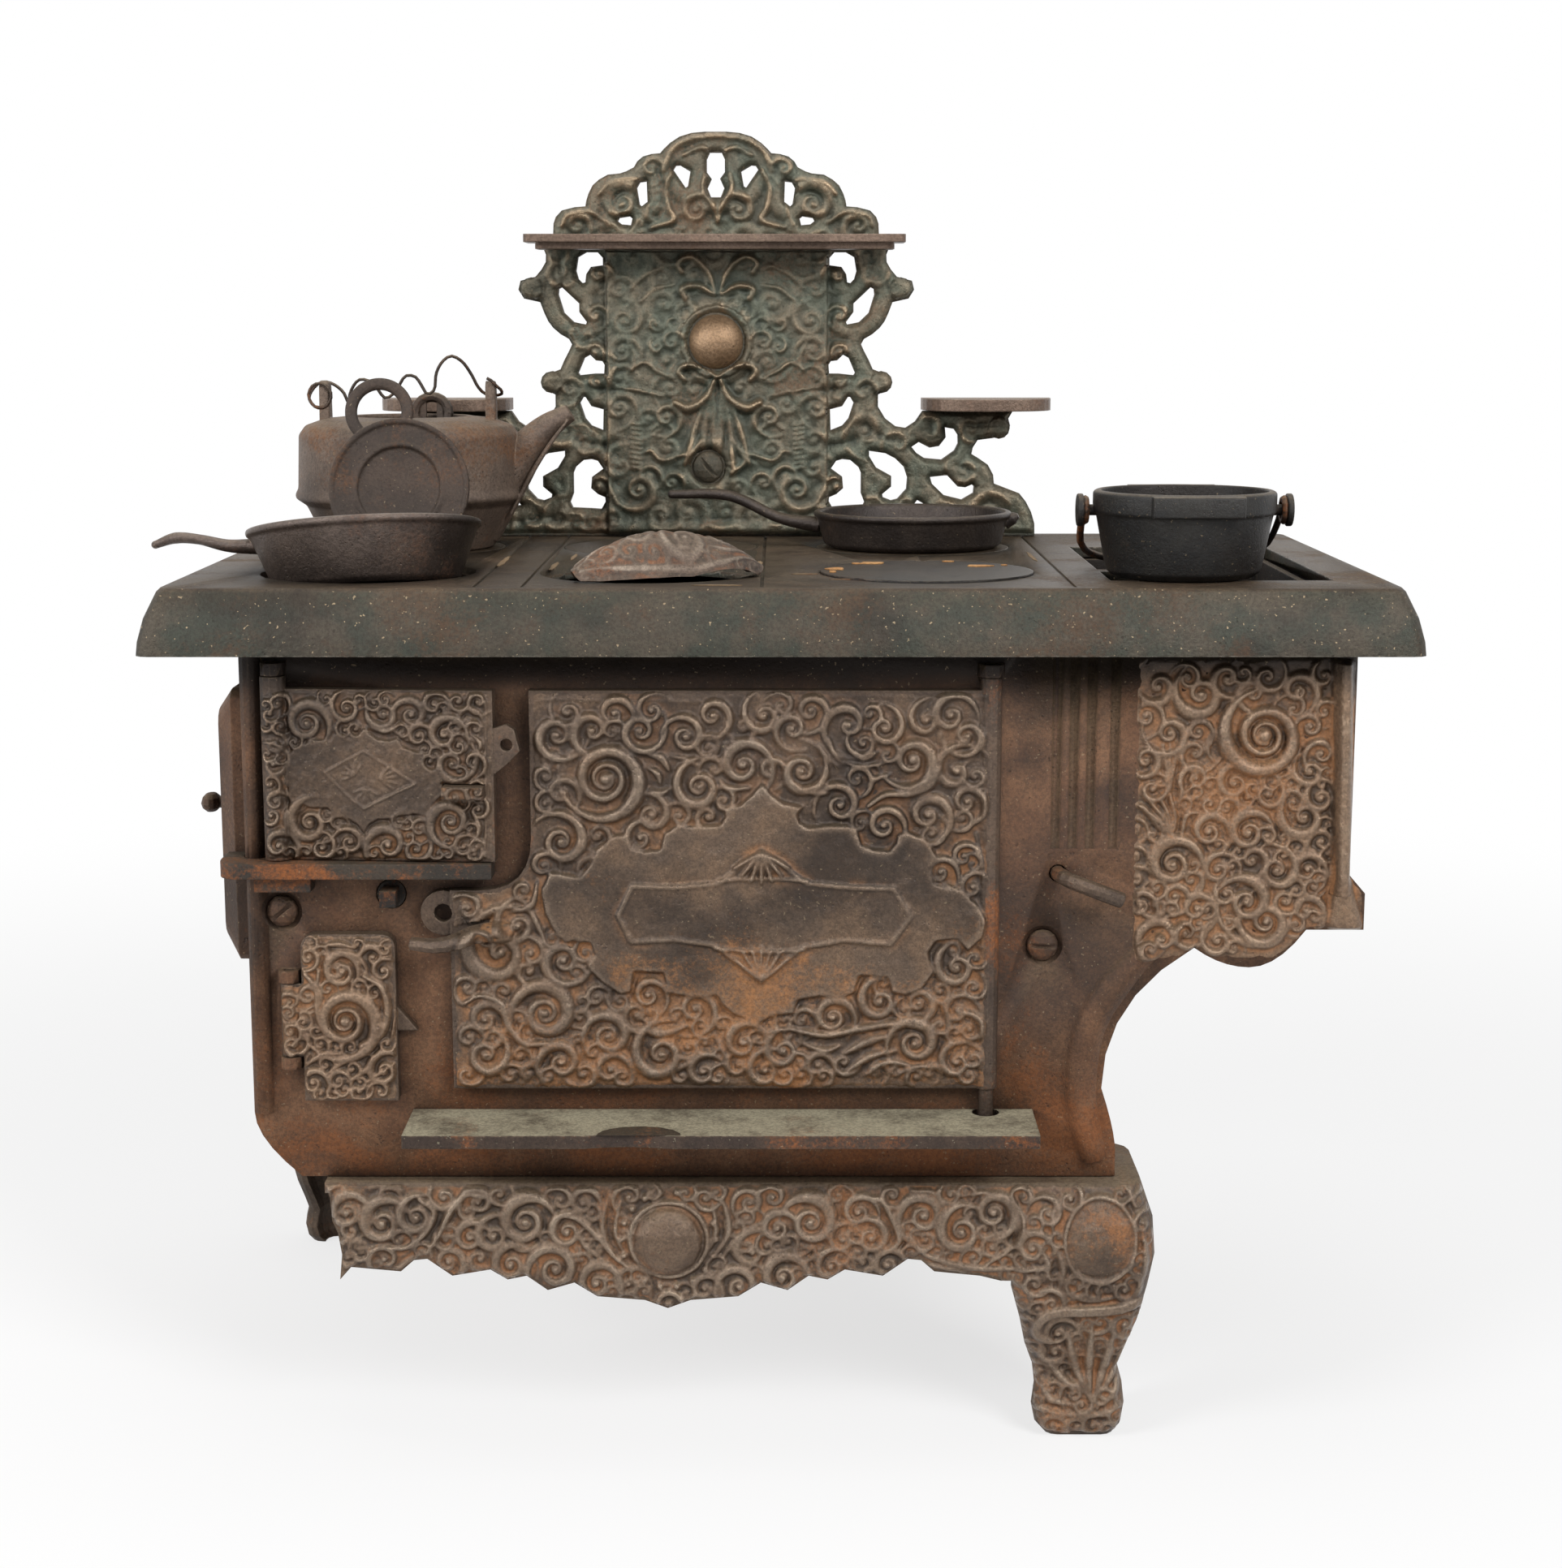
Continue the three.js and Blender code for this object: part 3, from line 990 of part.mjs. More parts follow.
function makeFrontPan() {
  const { rim, height } = frontPan;
  const high = height - frontHandle.from;
  const handle = rod([
    [-rim + frontPan.wall * 1.6, 0, high - frontHandle.dip * 0.55], [-rim - frontHandle.length * 0.2, 0,
      high - frontHandle.dip * 0.45],
    [-rim - frontHandle.length * 0.5, 0, high - frontHandle.dip * 0.12],
    [-rim - frontHandle.length * 0.75, 0, high],
    [-rim - frontHandle.length, 0, high - frontHandle.dip * 0.25],
  ], [frontHandle.thick * 1.3, frontHandle.thick, frontHandle.thick * 0.8, frontHandle.thick * 0.9,
    frontHandle.thick * 0.6],
  { sides: 10, steps: 10, wide: frontHandle.wide / frontHandle.thick / 2 });
  const mesh = iron('front_pan', join(panBowl(frontPan), handle), colour.pan, 0.55);
  mesh.position.set(eyeX[0], eyeY[0] - frontPan.forward, hobTop - frontPan.seat);
  mesh.rotation.set(-degrees(frontPan.tilt), -degrees(frontPan.roll), 0);
}

function makeRearPan() {
  const { rim, height } = rearPan;
  const handle = rod([
    [-rim + bite * 2, 0, height * 0.55], [-rim - rearHandle.length * 0.25, 0, height * 0.75],
    [-rim - rearHandle.length * 0.6, 0, height + rearHandle.rise * 0.45],
    [-rim - rearHandle.length, 0, height * 0.8 + rearHandle.rise * 0.75],
  ], [rearHandle.thick * 1.5, rearHandle.thick, rearHandle.thick, rearHandle.thick * 0.8],
  { sides: 10, steps: 10, wide: rearHandle.wide / rearHandle.thick / 2 });
  const lip = boss(rearPan.wall * 1.6, rearPan.wall * 1.8, rearPan.wall * 0.6,
    { x: rim, y: 0, z: height - rearPan.wall }, 12);
  const mesh = iron('rear_pan', join(panBowl(rearPan), handle, lip), colour.pan, 0.55);
  mesh.position.set(eyeX[2], eyeY[1], hobTop + gap);
  mesh.rotation.z = degrees(-rearHandle.yaw);
}

const kettleAt = { x: kettle.x, y: eyeY[1], z: hobTop + gap };

function kettleProfile() {
  const { base: foot, flange, waist, height, mouth, wall: t, flangeRise } = kettle;
  return [
    [0, 0], [foot, 0], [flange - t * 1.6, flangeRise - t * 1.5], [flange, flangeRise - t * 0.4],
    [flange, flangeRise + t * 0.3],
    [waist + t * 0.3, flangeRise + t], [waist, height * 0.86], [waist - t, height * 0.93],
    [mouth + t * 3, height - t * 0.4],
    [mouth, height - t * 0.1], [mouth - t * 0.3, height], [mouth - t, height], [mouth - t, height - t],
    [waist - t * 2.4, height * 0.86], [waist - t * 1.3, flangeRise + t * 1.5], [foot - t, t * 1.1], [0, t],
  ];
}

// Middle line of the spout and its radius, as shares of the tip's place and of the root's radius
const spoutShares = [[0.38, 0.19, 1], [0.58, 0.5, 0.75], [0.72, 0.72, 0.57], [0.855, 0.89, 0.41]];

function makeKettle() {
  const { tipReach, tipRise, tipRadius, rootRadius } = spout;
  const line = spoutShares.map(([along, up]) => [tipReach * along, 0, tipRise * up]);
  const pipe = rod([...line, [tipReach, 0, tipRise]], [...spoutShares.map((row) => rootRadius * row[2]),
    tipRadius],
    { sides: 14, steps: 9, up: [0, 1, 0] });
  const bore = rod([[tipReach - tipRadius * 4, 0, tipRise - tipRadius * 3],
    [tipReach + tipRadius, 0, tipRise + tipRadius]],
    [spout.bore, spout.bore], { sides: 10, steps: 1, up: [0, 1, 0] });
  const hollow = turned([
    [0, kettle.wall], [kettle.base - kettle.wall, kettle.wall * 1.1],
    [kettle.waist - kettle.wall * 1.3, kettle.flangeRise + kettle.wall * 1.5],
    [kettle.waist - kettle.wall * 2.4, kettle.height * 0.86], [0, kettle.height * 0.86]], largeSides);
  const below = block(-kettle.flange, tipReach * 2, -kettle.flange, kettle.flange, -rootRadius * 2, 0);
  const ears = [-1, 1].map((side) => {
    const x = side * kettleEar.reach;
    const shape = new THREE.Shape(pairs([
      [x - kettleEar.width / 2, kettle.height * 0.9], [x + kettleEar.width / 2, kettle.height * 0.9],
      [x + kettleEar.width * 0.3, kettleEar.rise + kettleEar.over * 0.7],
      [x, kettleEar.rise + kettleEar.over],
      [x - kettleEar.width * 0.3, kettleEar.rise + kettleEar.over * 0.7]]));
    return cut(frontPlate(shape, -kettleEar.thick / 2, kettleEar.thick),
      drum('y', kettleEar.hole, -kettleEar.thick, kettleEar.thick, { x, z: kettleEar.rise }, smallSides));
  });
  const vessel = join(turned(kettleProfile(), largeSides), cut(pipe, hollow, below, bore), ...ears);
  const mesh = iron('kettle', vessel, colour.kettle, 0.85, 0.4);
  mesh.position.set(kettleAt.x, kettleAt.y, kettleAt.z);
}

// The kettle's thin wire, coiled round the left ear, bent into waves and hooked over the right ear.
// Places are shares of the ears' reach from the middle: right, back and up.
const bailShares = [
  [-1, -0.13, -0.12], [-1.11, -0.13, -0.117], [-1.19, -0.1, 0.01], [-1.12, -0.12, 0.14], [-1, -0.12, 0.147],
  [-0.91, -0.13, 0.03], [-0.97, -0.13, -0.107], [-1.08, -0.12, -0.133], [-1.2, 0, -0.03],
  [-1.17, 0.107, 0.083],
  [-1.07, 0.157, 0.167], [-0.953, 0.153, 0.153], [-0.8, 0.08, 0.05], [-0.733, 0.05, -0.077],
  [-0.707, 0.05, 0.05],
  [-0.593, 0.03, 0.197], [-0.433, 0, 0.163], [-0.277, 0, -0.02], [-0.163, 0.02, 0.05], [-0.03, 0.03, 0.243],
  [0.083, 0.03, 0.233], [0.153, 0.02, 0.14], [0.23, 0, 0.027], [0.31, 0, 0.073], [0.343, 0, 0.277],
  [0.423, 0, 0.417],
  [0.523, 0.03, 0.48], [0.647, 0.05, 0.417], [0.76, 0.08, 0.253], [0.827, 0.1, 0.117], [0.9, 0.11, 0.037],
  [1, 0.117, 0.007], [1.12, 0.05, 0.027], [1.12, -0.05, 0.083], [1.07, -0.097, 0.133], [1.01, -0.107, 0.197],
  [0.963, -0.1, 0.22],
];
const kettleBailAt = { x: kettleAt.x, y: kettleAt.y, z: kettleAt.z + kettleEar.rise };

function makeKettleBail() {
  const points = bailShares.map((row) => row.map((share) => share * kettleEar.reach));
  const mesh = iron('kettle_bail', rod(points, [wire, wire], { sides: 5, steps: 92, up: [0.1, 1, 0.1] }),
    colour.black);
  mesh.position.set(kettleBailAt.x, kettleBailAt.y, kettleBailAt.z);
}

function makeMouthRing() {
  const geometry = torus(mouthRing.radius, mouthRing.wire);
  geometry.rotateX(Math.PI / 2);
  const prongs = [-1, 1].map((side) => block(
    side * mouthRing.radius / 2 - mouthRing.wire * 0.6, side * mouthRing.radius / 2 + mouthRing.wire * 0.6,
    -mouthRing.wire / 2, mouthRing.wire / 2, -mouthRing.radius * 1.3, mouthRing.radius * 0.9));
  const mesh = iron('kettle_ring', join(solid(geometry), ...prongs), colour.black, 0.6);
  mesh.position.set(kettleAt.x + mouthRing.right, kettleAt.y + mouthRing.behind,
    kettleAt.z + kettle.height + gap);
  mesh.rotation.x = -degrees(mouthRing.lean);
}

// Round griddle with a loop, stood on its edge against the kettle
function makeGriddle() {
  const { radius, thick, rim, recess, recessDepth } = griddle;
  const disc = turned([
    [0, 0], [radius, 0], [radius, thick + rim], [radius - rim, thick + rim], [radius - rim * 2, thick],
    [recess + recessDepth, thick], [recess, thick - recessDepth], [0, thick - recessDepth]], largeSides);
  const loop = torus(griddleLoop.radius, griddleLoop.wire);
  loop.scale(1, 1, 0.6);
  loop.translate(0, griddleLoop.out, thick / 2);
  const trim = drum('z', radius - rim, -griddleLoop.wire * 2, griddleLoop.wire * 3, { x: 0, y: 0 });
  const mesh = iron('griddle', join(disc, cut(solid(loop), trim)), colour.kettle, 0.85, 0.4);
  const frame = new THREE.Group();
  const back0 = kettleAt.y - kettle.waist - gap;
  const lean = degrees(griddle.lean);
  const high = radius * Math.cos(lean) + thick * Math.sin(lean) + gap;
  const contact = kettle.height * 0.86;
  frame.position.set(griddle.x, back0 - (contact - high) * Math.tan(lean), hobTop + high);
  frame.rotation.x = Math.PI / 2 - lean;
  mesh.rotation.z = degrees(griddle.turn);
  frame.add(mesh);
  stove.add(frame);
}

function makePot() {
  const { rim, base: foot, height, wall: t } = pot;
  const bowl = turned([
    [0, 0], [foot - t, 0], [foot, t * 0.8], [rim - t * 0.4, height - t * 3], [rim, height - t * 2.6],
    [rim, height - t * 0.3],
    [rim - t * 0.4, height], [rim - t, height], [rim - t * 1.2, height - t * 3], [foot - t, t * 1.4],
    [0, t]], largeSides);
  const lips = [-1, 1].map((side) => {
    const shape = new THREE.Shape(pairs([
      [-pot.lip, side * (rim - t * 1.5)], [pot.lip, side * (rim - t * 1.5)],
      [pot.lip * 0.8, side * (rim + pot.lipProud)], [-pot.lip * 0.8, side * (rim + pot.lipProud)]]));
    return flatPlate(shape, height - pot.lipHeight, pot.lipHeight - gap);
  });
  const inside = turned([
    [0, t], [foot - t, t * 1.4], [rim - t * 1.2, height - t * 3], [rim - t, height + overrun],
    [0, height + overrun]], largeSides);
  const z = height - trunnion.drop;
  const pins = drum('x', trunnion.radius, -trunnion.reach, trunnion.reach, { y: 0, z }, smallSides);
  const heads = [-1, 1].map((side) => drum('x', trunnion.head,
    Math.min(side * trunnion.reach, side * (trunnion.reach + trunnion.headThick)),
    Math.max(side * trunnion.reach, side * (trunnion.reach + trunnion.headThick)), { y: 0, z }, largeSides));
  const mesh = iron('pot', cut(join(bowl, ...lips, pins, ...heads), inside), colour.black, 0.6, 0.5);
  mesh.position.set(pot.x, pot.y, hobTop + gap);
}

// The pot's handle: an eye round each trunnion and a wire that lies behind the pot
function makePotBail() {
  const eyeRadius = trunnion.radius + potWire + gap * 2;
  const x = (pot.rim + trunnion.reach) / 2;
  const eyes = [-1, 1].map((side) => {
    const geometry = torus(eyeRadius, potWire, 12, 6);
    geometry.rotateY(Math.PI / 2);
    geometry.translate(side * x, 0, 0);
    return solid(geometry);
  });
  const fall = pot.height - trunnion.drop - potWire * 2;
  const behind = pot.rim + pot.lipProud + potWire * 3;
  const arc = rod([
    [-x, eyeRadius, 0], [-x, eyeRadius * 3, -fall * 0.3], [-x * 0.93, pot.rim * 0.8, -fall * 0.75],
    [-x * 0.6, behind, -fall], [0, behind + potWire, -fall], [x * 0.6, behind, -fall],
    [x * 0.93, pot.rim * 0.8, -fall * 0.75], [x, eyeRadius * 3, -fall * 0.3], [x, eyeRadius, 0],
  ], [potWire, potWire], { sides: wireSides, steps: 24, up: [0, 0.5, 1] });
  const mesh = iron('pot_bail', join(...eyes, arc), colour.bare);
  mesh.position.set(pot.x, pot.y, hobTop + gap + pot.height - trunnion.drop);
}

// Broken scroll ornament, an arched leaf lying on the hob
function makeOrnament() {
  const half = ornament.chord / 2;
  const radius = (half * half + ornament.rise * ornament.rise) / (2 * ornament.rise);
  const sweep = Math.asin(half / radius);
  const steps = 10;
  const widthShares = [0.45, 0.7, 0.9, 1, 1, 0.95, 1, 1, 0.9, 0.7, 0.5];
  const rings = widthShares.map((share, i) => {
    const angle = -sweep + 2 * sweep * i / steps;
    const wide = ornament.width * share / 2;
    const corners = [[-1, 0], [-0.5, 0], [0.5, 0], [1, 0], [0.7, 0.8], [0, 1], [-0.7, 0.8]];
    return corners.map(([across, out]) => {
      const reach = radius + out * ornament.thick;
      return [reach * Math.sin(angle), across * wide, reach * Math.cos(angle) - radius * Math.cos(sweep)];
    });
  });
  const mesh = iron('ornament', loft(rings), colour.rusty);
  mesh.position.set(ornament.x, ornament.y, hobTop + gap);
  mesh.rotation.z = degrees(ornament.yaw);
}

iron('hob_plate', makeHob(), colour.skirt, 0.6);
iron('front_panel', makeFront(), colour.rusty);
iron('left_end', makeLeftEnd(), colour.rusty);
iron('right_end', block(bodyRight - body.wall, bodyRight, insideFront, insideRear, bodyBottom, bodyTop),
  colour.rusty);
iron('rear_panel', makeRear(), colour.rusty);
iron('bottom_plate', block(floorLeft, floorRight, insideFront, insideRear, bodyBottom,
  bodyBottom + body.wall), colour.rusty);
iron('oven_left_plate', block(oven.left - oven.plate, oven.left, insideFront, insideRear, ovenPlateBottom,
  bodyTop), colour.bare);
iron('oven_right_plate', block(oven.right, oven.right + oven.plate, insideFront, insideRear,
  ovenPlateBottom, bodyTop), colour.bare);
iron('oven_floor', block(oven.left + gap, oven.right - gap, insideFront, insideRear,
  oven.floor - oven.plate, oven.floor), colour.bare);
iron('oven_top', block(oven.left + gap, oven.right - gap, insideFront, insideRear, oven.top,
  oven.top + oven.plate), colour.bare);
iron('reservoir_casing', makeCasing(), colour.rusty);
iron('reservoir_tank', makeTank(), colour.bare);
iron('firebox_shelf', makeFireShelf(), colour.rusty);
iron('oven_shelf', makeOvenShelf(), colour.pale, 0.85);
iron('front_base', makeFrontBase(), colour.rusty);
iron('rear_base', makeRearBase(), colour.rusty);
iron('left_side_apron', makeSideApron(sideApron.leftX, sideApron.leftFront), colour.rusty);
iron('right_side_apron', makeSideApron(bodyRight - sideApron.inset, kneeFront), colour.rusty);
iron('back_plate', makeBackPlate(), colour.patina, 0.65);
iron('crest_shelf', makeCrestShelf(), colour.patina, 0.65);
iron('left_bracket_shelf', makeSideShelf(-1), colour.patina, 0.65);
iron('right_bracket_shelf', makeSideShelf(1), colour.patina, 0.65);
iron('back_screw', makeBolt(backScrew.head, backScrew.dome, backScrew.shank,
  backFront - backPanel.proud - gap,
  back.thick + backPanel.proud, 50, { x: back.centre + backScrew.x, z: hobTop + gap + backScrew.z }), colour.bare);
iron('left_bolt', makeBolt(bolt.head, bolt.dome, bolt.shank, bodyFront + bolt.sunk - gap, body.face, -40,
  boltPlaces.left), colour.bare);
iron('right_bolt', makeBolt(bolt.head, bolt.dome, bolt.shank, bodyFront + bolt.sunk - gap, body.face, 4,
  boltPlaces.right), colour.bare);
iron('lid_rear_left', makeLid(eyeX[0], eyeY[1], 0), colour.black);
iron('lid_rear_middle', makeLid(eyeX[1], eyeY[1], 0), colour.black);
iron('lid_rear_right', makeLid(eyeX[2], eyeY[1], 0), colour.black);
iron('eye_lid', makeLid(eyeX[2], eyeY[0], lid.proud), colour.black);
makeFireDoor();
iron('ash_door', makeAshDoor(), colour.rusty);
iron('oven_door', makeOvenDoor(), colour.rusty);
iron('end_door', makeEndDoor(), colour.rusty);
iron('end_door_knob', makeEndKnob(), colour.bare);
iron('fire_grate', makeGrate(), colour.bare);
iron('shaker_shaft', makeShakerShaft(), colour.bare);
iron('damper_lever', makeDamperLever(), colour.bare);
iron('damper_blade', makeDamperBlade(), colour.bare);
makeFrontPan();
makeRearPan();
makeKettle();
makeKettleBail();
makeMouthRing();
makeGriddle();
makePot();
makePotBail();
makeOrnament();

// The stove stands on the ground with its origin under the middle of everything it holds
stove.updateMatrixWorld(true);
const reach = new THREE.Box3().setFromObject(stove, true);
stove.position.set(-(reach.min.x + reach.max.x) / 2, -(reach.min.y + reach.max.y) / 2, -reach.min.z);

export default stove;
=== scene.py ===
"""Cast iron toy stove: cast ornament, turned utensils and iron finishes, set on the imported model."""
import logging
import math
from dataclasses import dataclass, field, replace
from enum import Enum

import bmesh
import bpy
import numpy as np
from mathutils import Matrix, Vector
from mathutils.bvhtree import BVHTree


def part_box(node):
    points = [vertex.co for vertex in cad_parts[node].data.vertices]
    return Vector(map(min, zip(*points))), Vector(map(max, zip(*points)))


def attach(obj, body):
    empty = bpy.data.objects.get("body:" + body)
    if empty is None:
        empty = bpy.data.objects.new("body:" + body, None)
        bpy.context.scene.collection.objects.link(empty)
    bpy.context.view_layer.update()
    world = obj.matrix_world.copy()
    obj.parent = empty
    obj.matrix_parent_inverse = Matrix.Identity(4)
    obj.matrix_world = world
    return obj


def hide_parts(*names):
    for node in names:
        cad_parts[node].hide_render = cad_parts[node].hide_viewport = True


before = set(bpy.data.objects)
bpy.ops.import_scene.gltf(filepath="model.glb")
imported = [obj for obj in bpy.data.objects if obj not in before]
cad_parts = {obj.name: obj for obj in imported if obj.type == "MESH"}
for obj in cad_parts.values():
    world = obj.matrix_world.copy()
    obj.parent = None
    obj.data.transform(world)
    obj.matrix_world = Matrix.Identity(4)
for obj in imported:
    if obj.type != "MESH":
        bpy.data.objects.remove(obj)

LOG = logging.getLogger("stove")
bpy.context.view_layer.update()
MM = 0.001
HOB_FLARE = 5.8
HOB_LOW, HOB_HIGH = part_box("hob_plate")
ORIGIN = Vector(((HOB_LOW[0] + HOB_HIGH[0]) / 2, HOB_LOW[1] + HOB_FLARE * MM, 0.0))
HOB_TOP = 285.0
TINY = 1e-9

Pair = tuple[float, float]
Triple = tuple[float, float, float]
Colour = tuple[float, float, float]


def at(x: float, y: float, z: float) -> Vector:
    """Turn millimetres from the hob's front edge into the model's metres.

    Args:
        x: Distance to the right of the hob's middle.
        y: Distance behind the hob's front edge.
        z: Height above the ground.

    Returns:
        The place in the model's frame.
    """
    return ORIGIN + Vector((x, y, z)) * MM


def srgb(red: int, green: int, blue: int) -> Colour:
    """Turn screen values from 0 to 255 into a linear colour.

    Args:
        red: Red, 0 to 255.
        green: Green, 0 to 255.
        blue: Blue, 0 to 255.

    Returns:
        The linear colour.
    """
    values = [channel / 255 for channel in (red, green, blue)]
    return tuple(c / 12.92 if c <= 0.04045 else ((c + 0.055) / 1.055) ** 2.4 for c in values)


@dataclass(frozen=True)
class Lens:
    """The camera: its place from the hob's front edge, its aim and its focal length in picture pixels."""

    y: float = -815.95
    z: float = 369.6
    pitch: float = 10.144
    focal: float = 3250.0
    middle: Pair = (962.0, 966.0)
    picture_height: float = 1932.0

    def seen(self, u: float, v: float, depth: float) -> Pair:
        """Find what an upright plane shows at a place in the picture.

        Args:
            u: Picture pixels from the left.
            v: Picture pixels from the top.
            depth: The plane's distance behind the hob's front edge.

        Returns:
            The point's x and z in millimetres.
        """
        tilt = math.radians(self.pitch)
        side = (u - self.middle[0]) / self.focal
        rise = (self.middle[1] - v) / self.focal
        ahead = math.cos(tilt) + rise * math.sin(tilt)
        reach = (depth - self.y) / ahead
        return side * reach, self.z + (rise * math.cos(tilt) - math.sin(tilt)) * reach

    def place(self) -> None:
        """Make the scene's camera."""
        data = bpy.data.cameras.new("camera")
        data.sensor_width = 36.0
        data.lens = self.focal / self.picture_height * data.sensor_width
        data.clip_start = 0.05
        camera = bpy.data.objects.new("camera", data)
        camera.location = at(0, self.y, self.z)
        camera.rotation_euler = (math.radians(90 - self.pitch), 0, 0)
        bpy.context.scene.collection.objects.link(camera)
        bpy.context.scene.camera = camera


LENS = Lens()


# Materials


class Socket(Enum):
    """Kinds of socket on a shader group."""

    VALUE = "NodeSocketFloat"
    VECTOR = "NodeSocketVector"


class Tree:
    """A shader tree with short ways to add and link its nodes."""

    @classmethod
    def fresh(cls, owner: bpy.types.Material | bpy.types.World) -> "Tree":
        """Empty the shader tree of a material or a world.

        Args:
            owner: The material or world.

        Returns:
            Its empty tree.
        """
        owner.use_nodes = True
        owner.node_tree.nodes.clear()
        return cls(owner.node_tree)

    def __init__(self, tree: bpy.types.NodeTree) -> None:
        """Keep the tree."""
        self.tree = tree

    def add(self, kind: str, **values: object) -> bpy.types.Node:
        """Add a node and set its own values.

        Args:
            kind: The node's class name without ShaderNode.
            **values: Attributes to set on the node.

        Returns:
            The node.
        """
        node = self.tree.nodes.new(f"ShaderNode{kind}")
        for name, value in values.items():
            setattr(node, name, value)
        return node

    def feed(self, node: bpy.types.Node, **inputs: object) -> bpy.types.Node:
        """Link sockets or set values on a node's inputs, named with _ for a space.

        Args:
            node: The node to feed.
            **inputs: Sockets, numbers or colours, each by its input's name or by i and a number.

        Returns:
            The same node.
        """
        for name, value in inputs.items():
            key = int(name[1:]) if name[0] == "i" and name[1:].isdigit() else name.replace("_", " ")
            socket = node.inputs[key]
            if isinstance(value, bpy.types.NodeSocket):
                self.tree.links.new(value, socket)
            else:
                wide = hasattr(socket.default_value, "__len__") and len(socket.default_value) == 4
                socket.default_value = (*value, 1.0) if wide and len(value) == 3 else value
        return node

    def noise(self, coords: object, scale: float, detail: float = 4.0, rough: float = 0.6,
              twist: float = 0.0) -> bpy.types.NodeSocket:
        """Add a noise pattern.

        Args:
            coords: The socket with the coordinates.
            scale: Repeats in a metre.
            detail: Octaves.
            rough: Weight of the finer octaves.
            twist: Distortion.

        Returns:
            The pattern's value socket.
        """
        node = self.add("TexNoise")
        self.feed(node, Vector=coords, Scale=scale, Detail=detail, Roughness=rough, Distortion=twist)
        return node.outputs["Fac"]

    def axis(self, vector: object, name: str = "Z") -> bpy.types.NodeSocket:
        """Take one part of a vector."""
        node = self.feed(self.add("SeparateXYZ"), Vector=vector)
        return node.outputs[name]

    def product(self, first: object, second: object, clamp: bool = False) -> bpy.types.NodeSocket:
        """Multiply two values."""
        return self.math("MULTIPLY", first, second, clamp)

    def rest(self, value: object) -> bpy.types.NodeSocket:
        """Find what a share leaves of the whole."""
        return self.math("SUBTRACT", 1.0, value)

    def ramp(self, value: object, low: float, high: float, to_low: float = 0.0,
             to_high: float = 1.0) -> bpy.types.NodeSocket:
        """Stretch part of a value's range smoothly.

        Args:
            value: The socket to stretch.
            low: What becomes to_low.
            high: What becomes to_high.
            to_low: The low result.
            to_high: The high result.

        Returns:
            The stretched value.
        """
        node = self.add("MapRange", interpolation_type="SMOOTHSTEP")
        self.feed(node, Value=value, From_Min=low, From_Max=high, To_Min=to_low, To_Max=to_high)
        return node.outputs["Result"]

    def math(self, operation: str, first: object, second: object = 0.5,
             clamp: bool = False) -> bpy.types.NodeSocket:
        """Add a sum, product or other operation.

        Args:
            operation: The Math node's operation.
            first: The first operand.
            second: The second operand.
            clamp: Keep the result from 0 to 1.

        Returns:
            The result.
        """
        node = self.add("Math", operation=operation, use_clamp=clamp)
        self.feed(node, i0=first, i1=second)
        return node.outputs[0]

    def mix(self, share: object, first: object, second: object) -> bpy.types.NodeSocket:
        """Mix two colours.

        Args:
            share: How much of the second shows.
            first: The first colour.
            second: The second colour.

        Returns:
            The mixed colour.
        """
        node = self.add("Mix", data_type="RGBA", clamp_factor=True)
        self.feed(node, i0=share, i6=first, i7=second)
        return node.outputs[2]


def group(name: str, inputs: dict[str, Socket], outputs: dict[str, Socket]) -> tuple[Tree, object, object]:
    """Start a shader group.

    Args:
        name: The group's name.
        inputs: Its inputs and their kinds.
        outputs: Its outputs and their kinds.

    Returns:
        The tree, the sockets that come in and the node that takes the results.
    """
    tree = bpy.data.node_groups.new(name, "ShaderNodeTree")
    for title, kind in inputs.items():
        tree.interface.new_socket(title, in_out="INPUT", socket_type=kind.value)
    for title, kind in outputs.items():
        tree.interface.new_socket(title, in_out="OUTPUT", socket_type=kind.value)
    come_in = tree.nodes.new("NodeGroupInput").outputs
    return Tree(tree), come_in, tree.nodes.new("NodeGroupOutput")


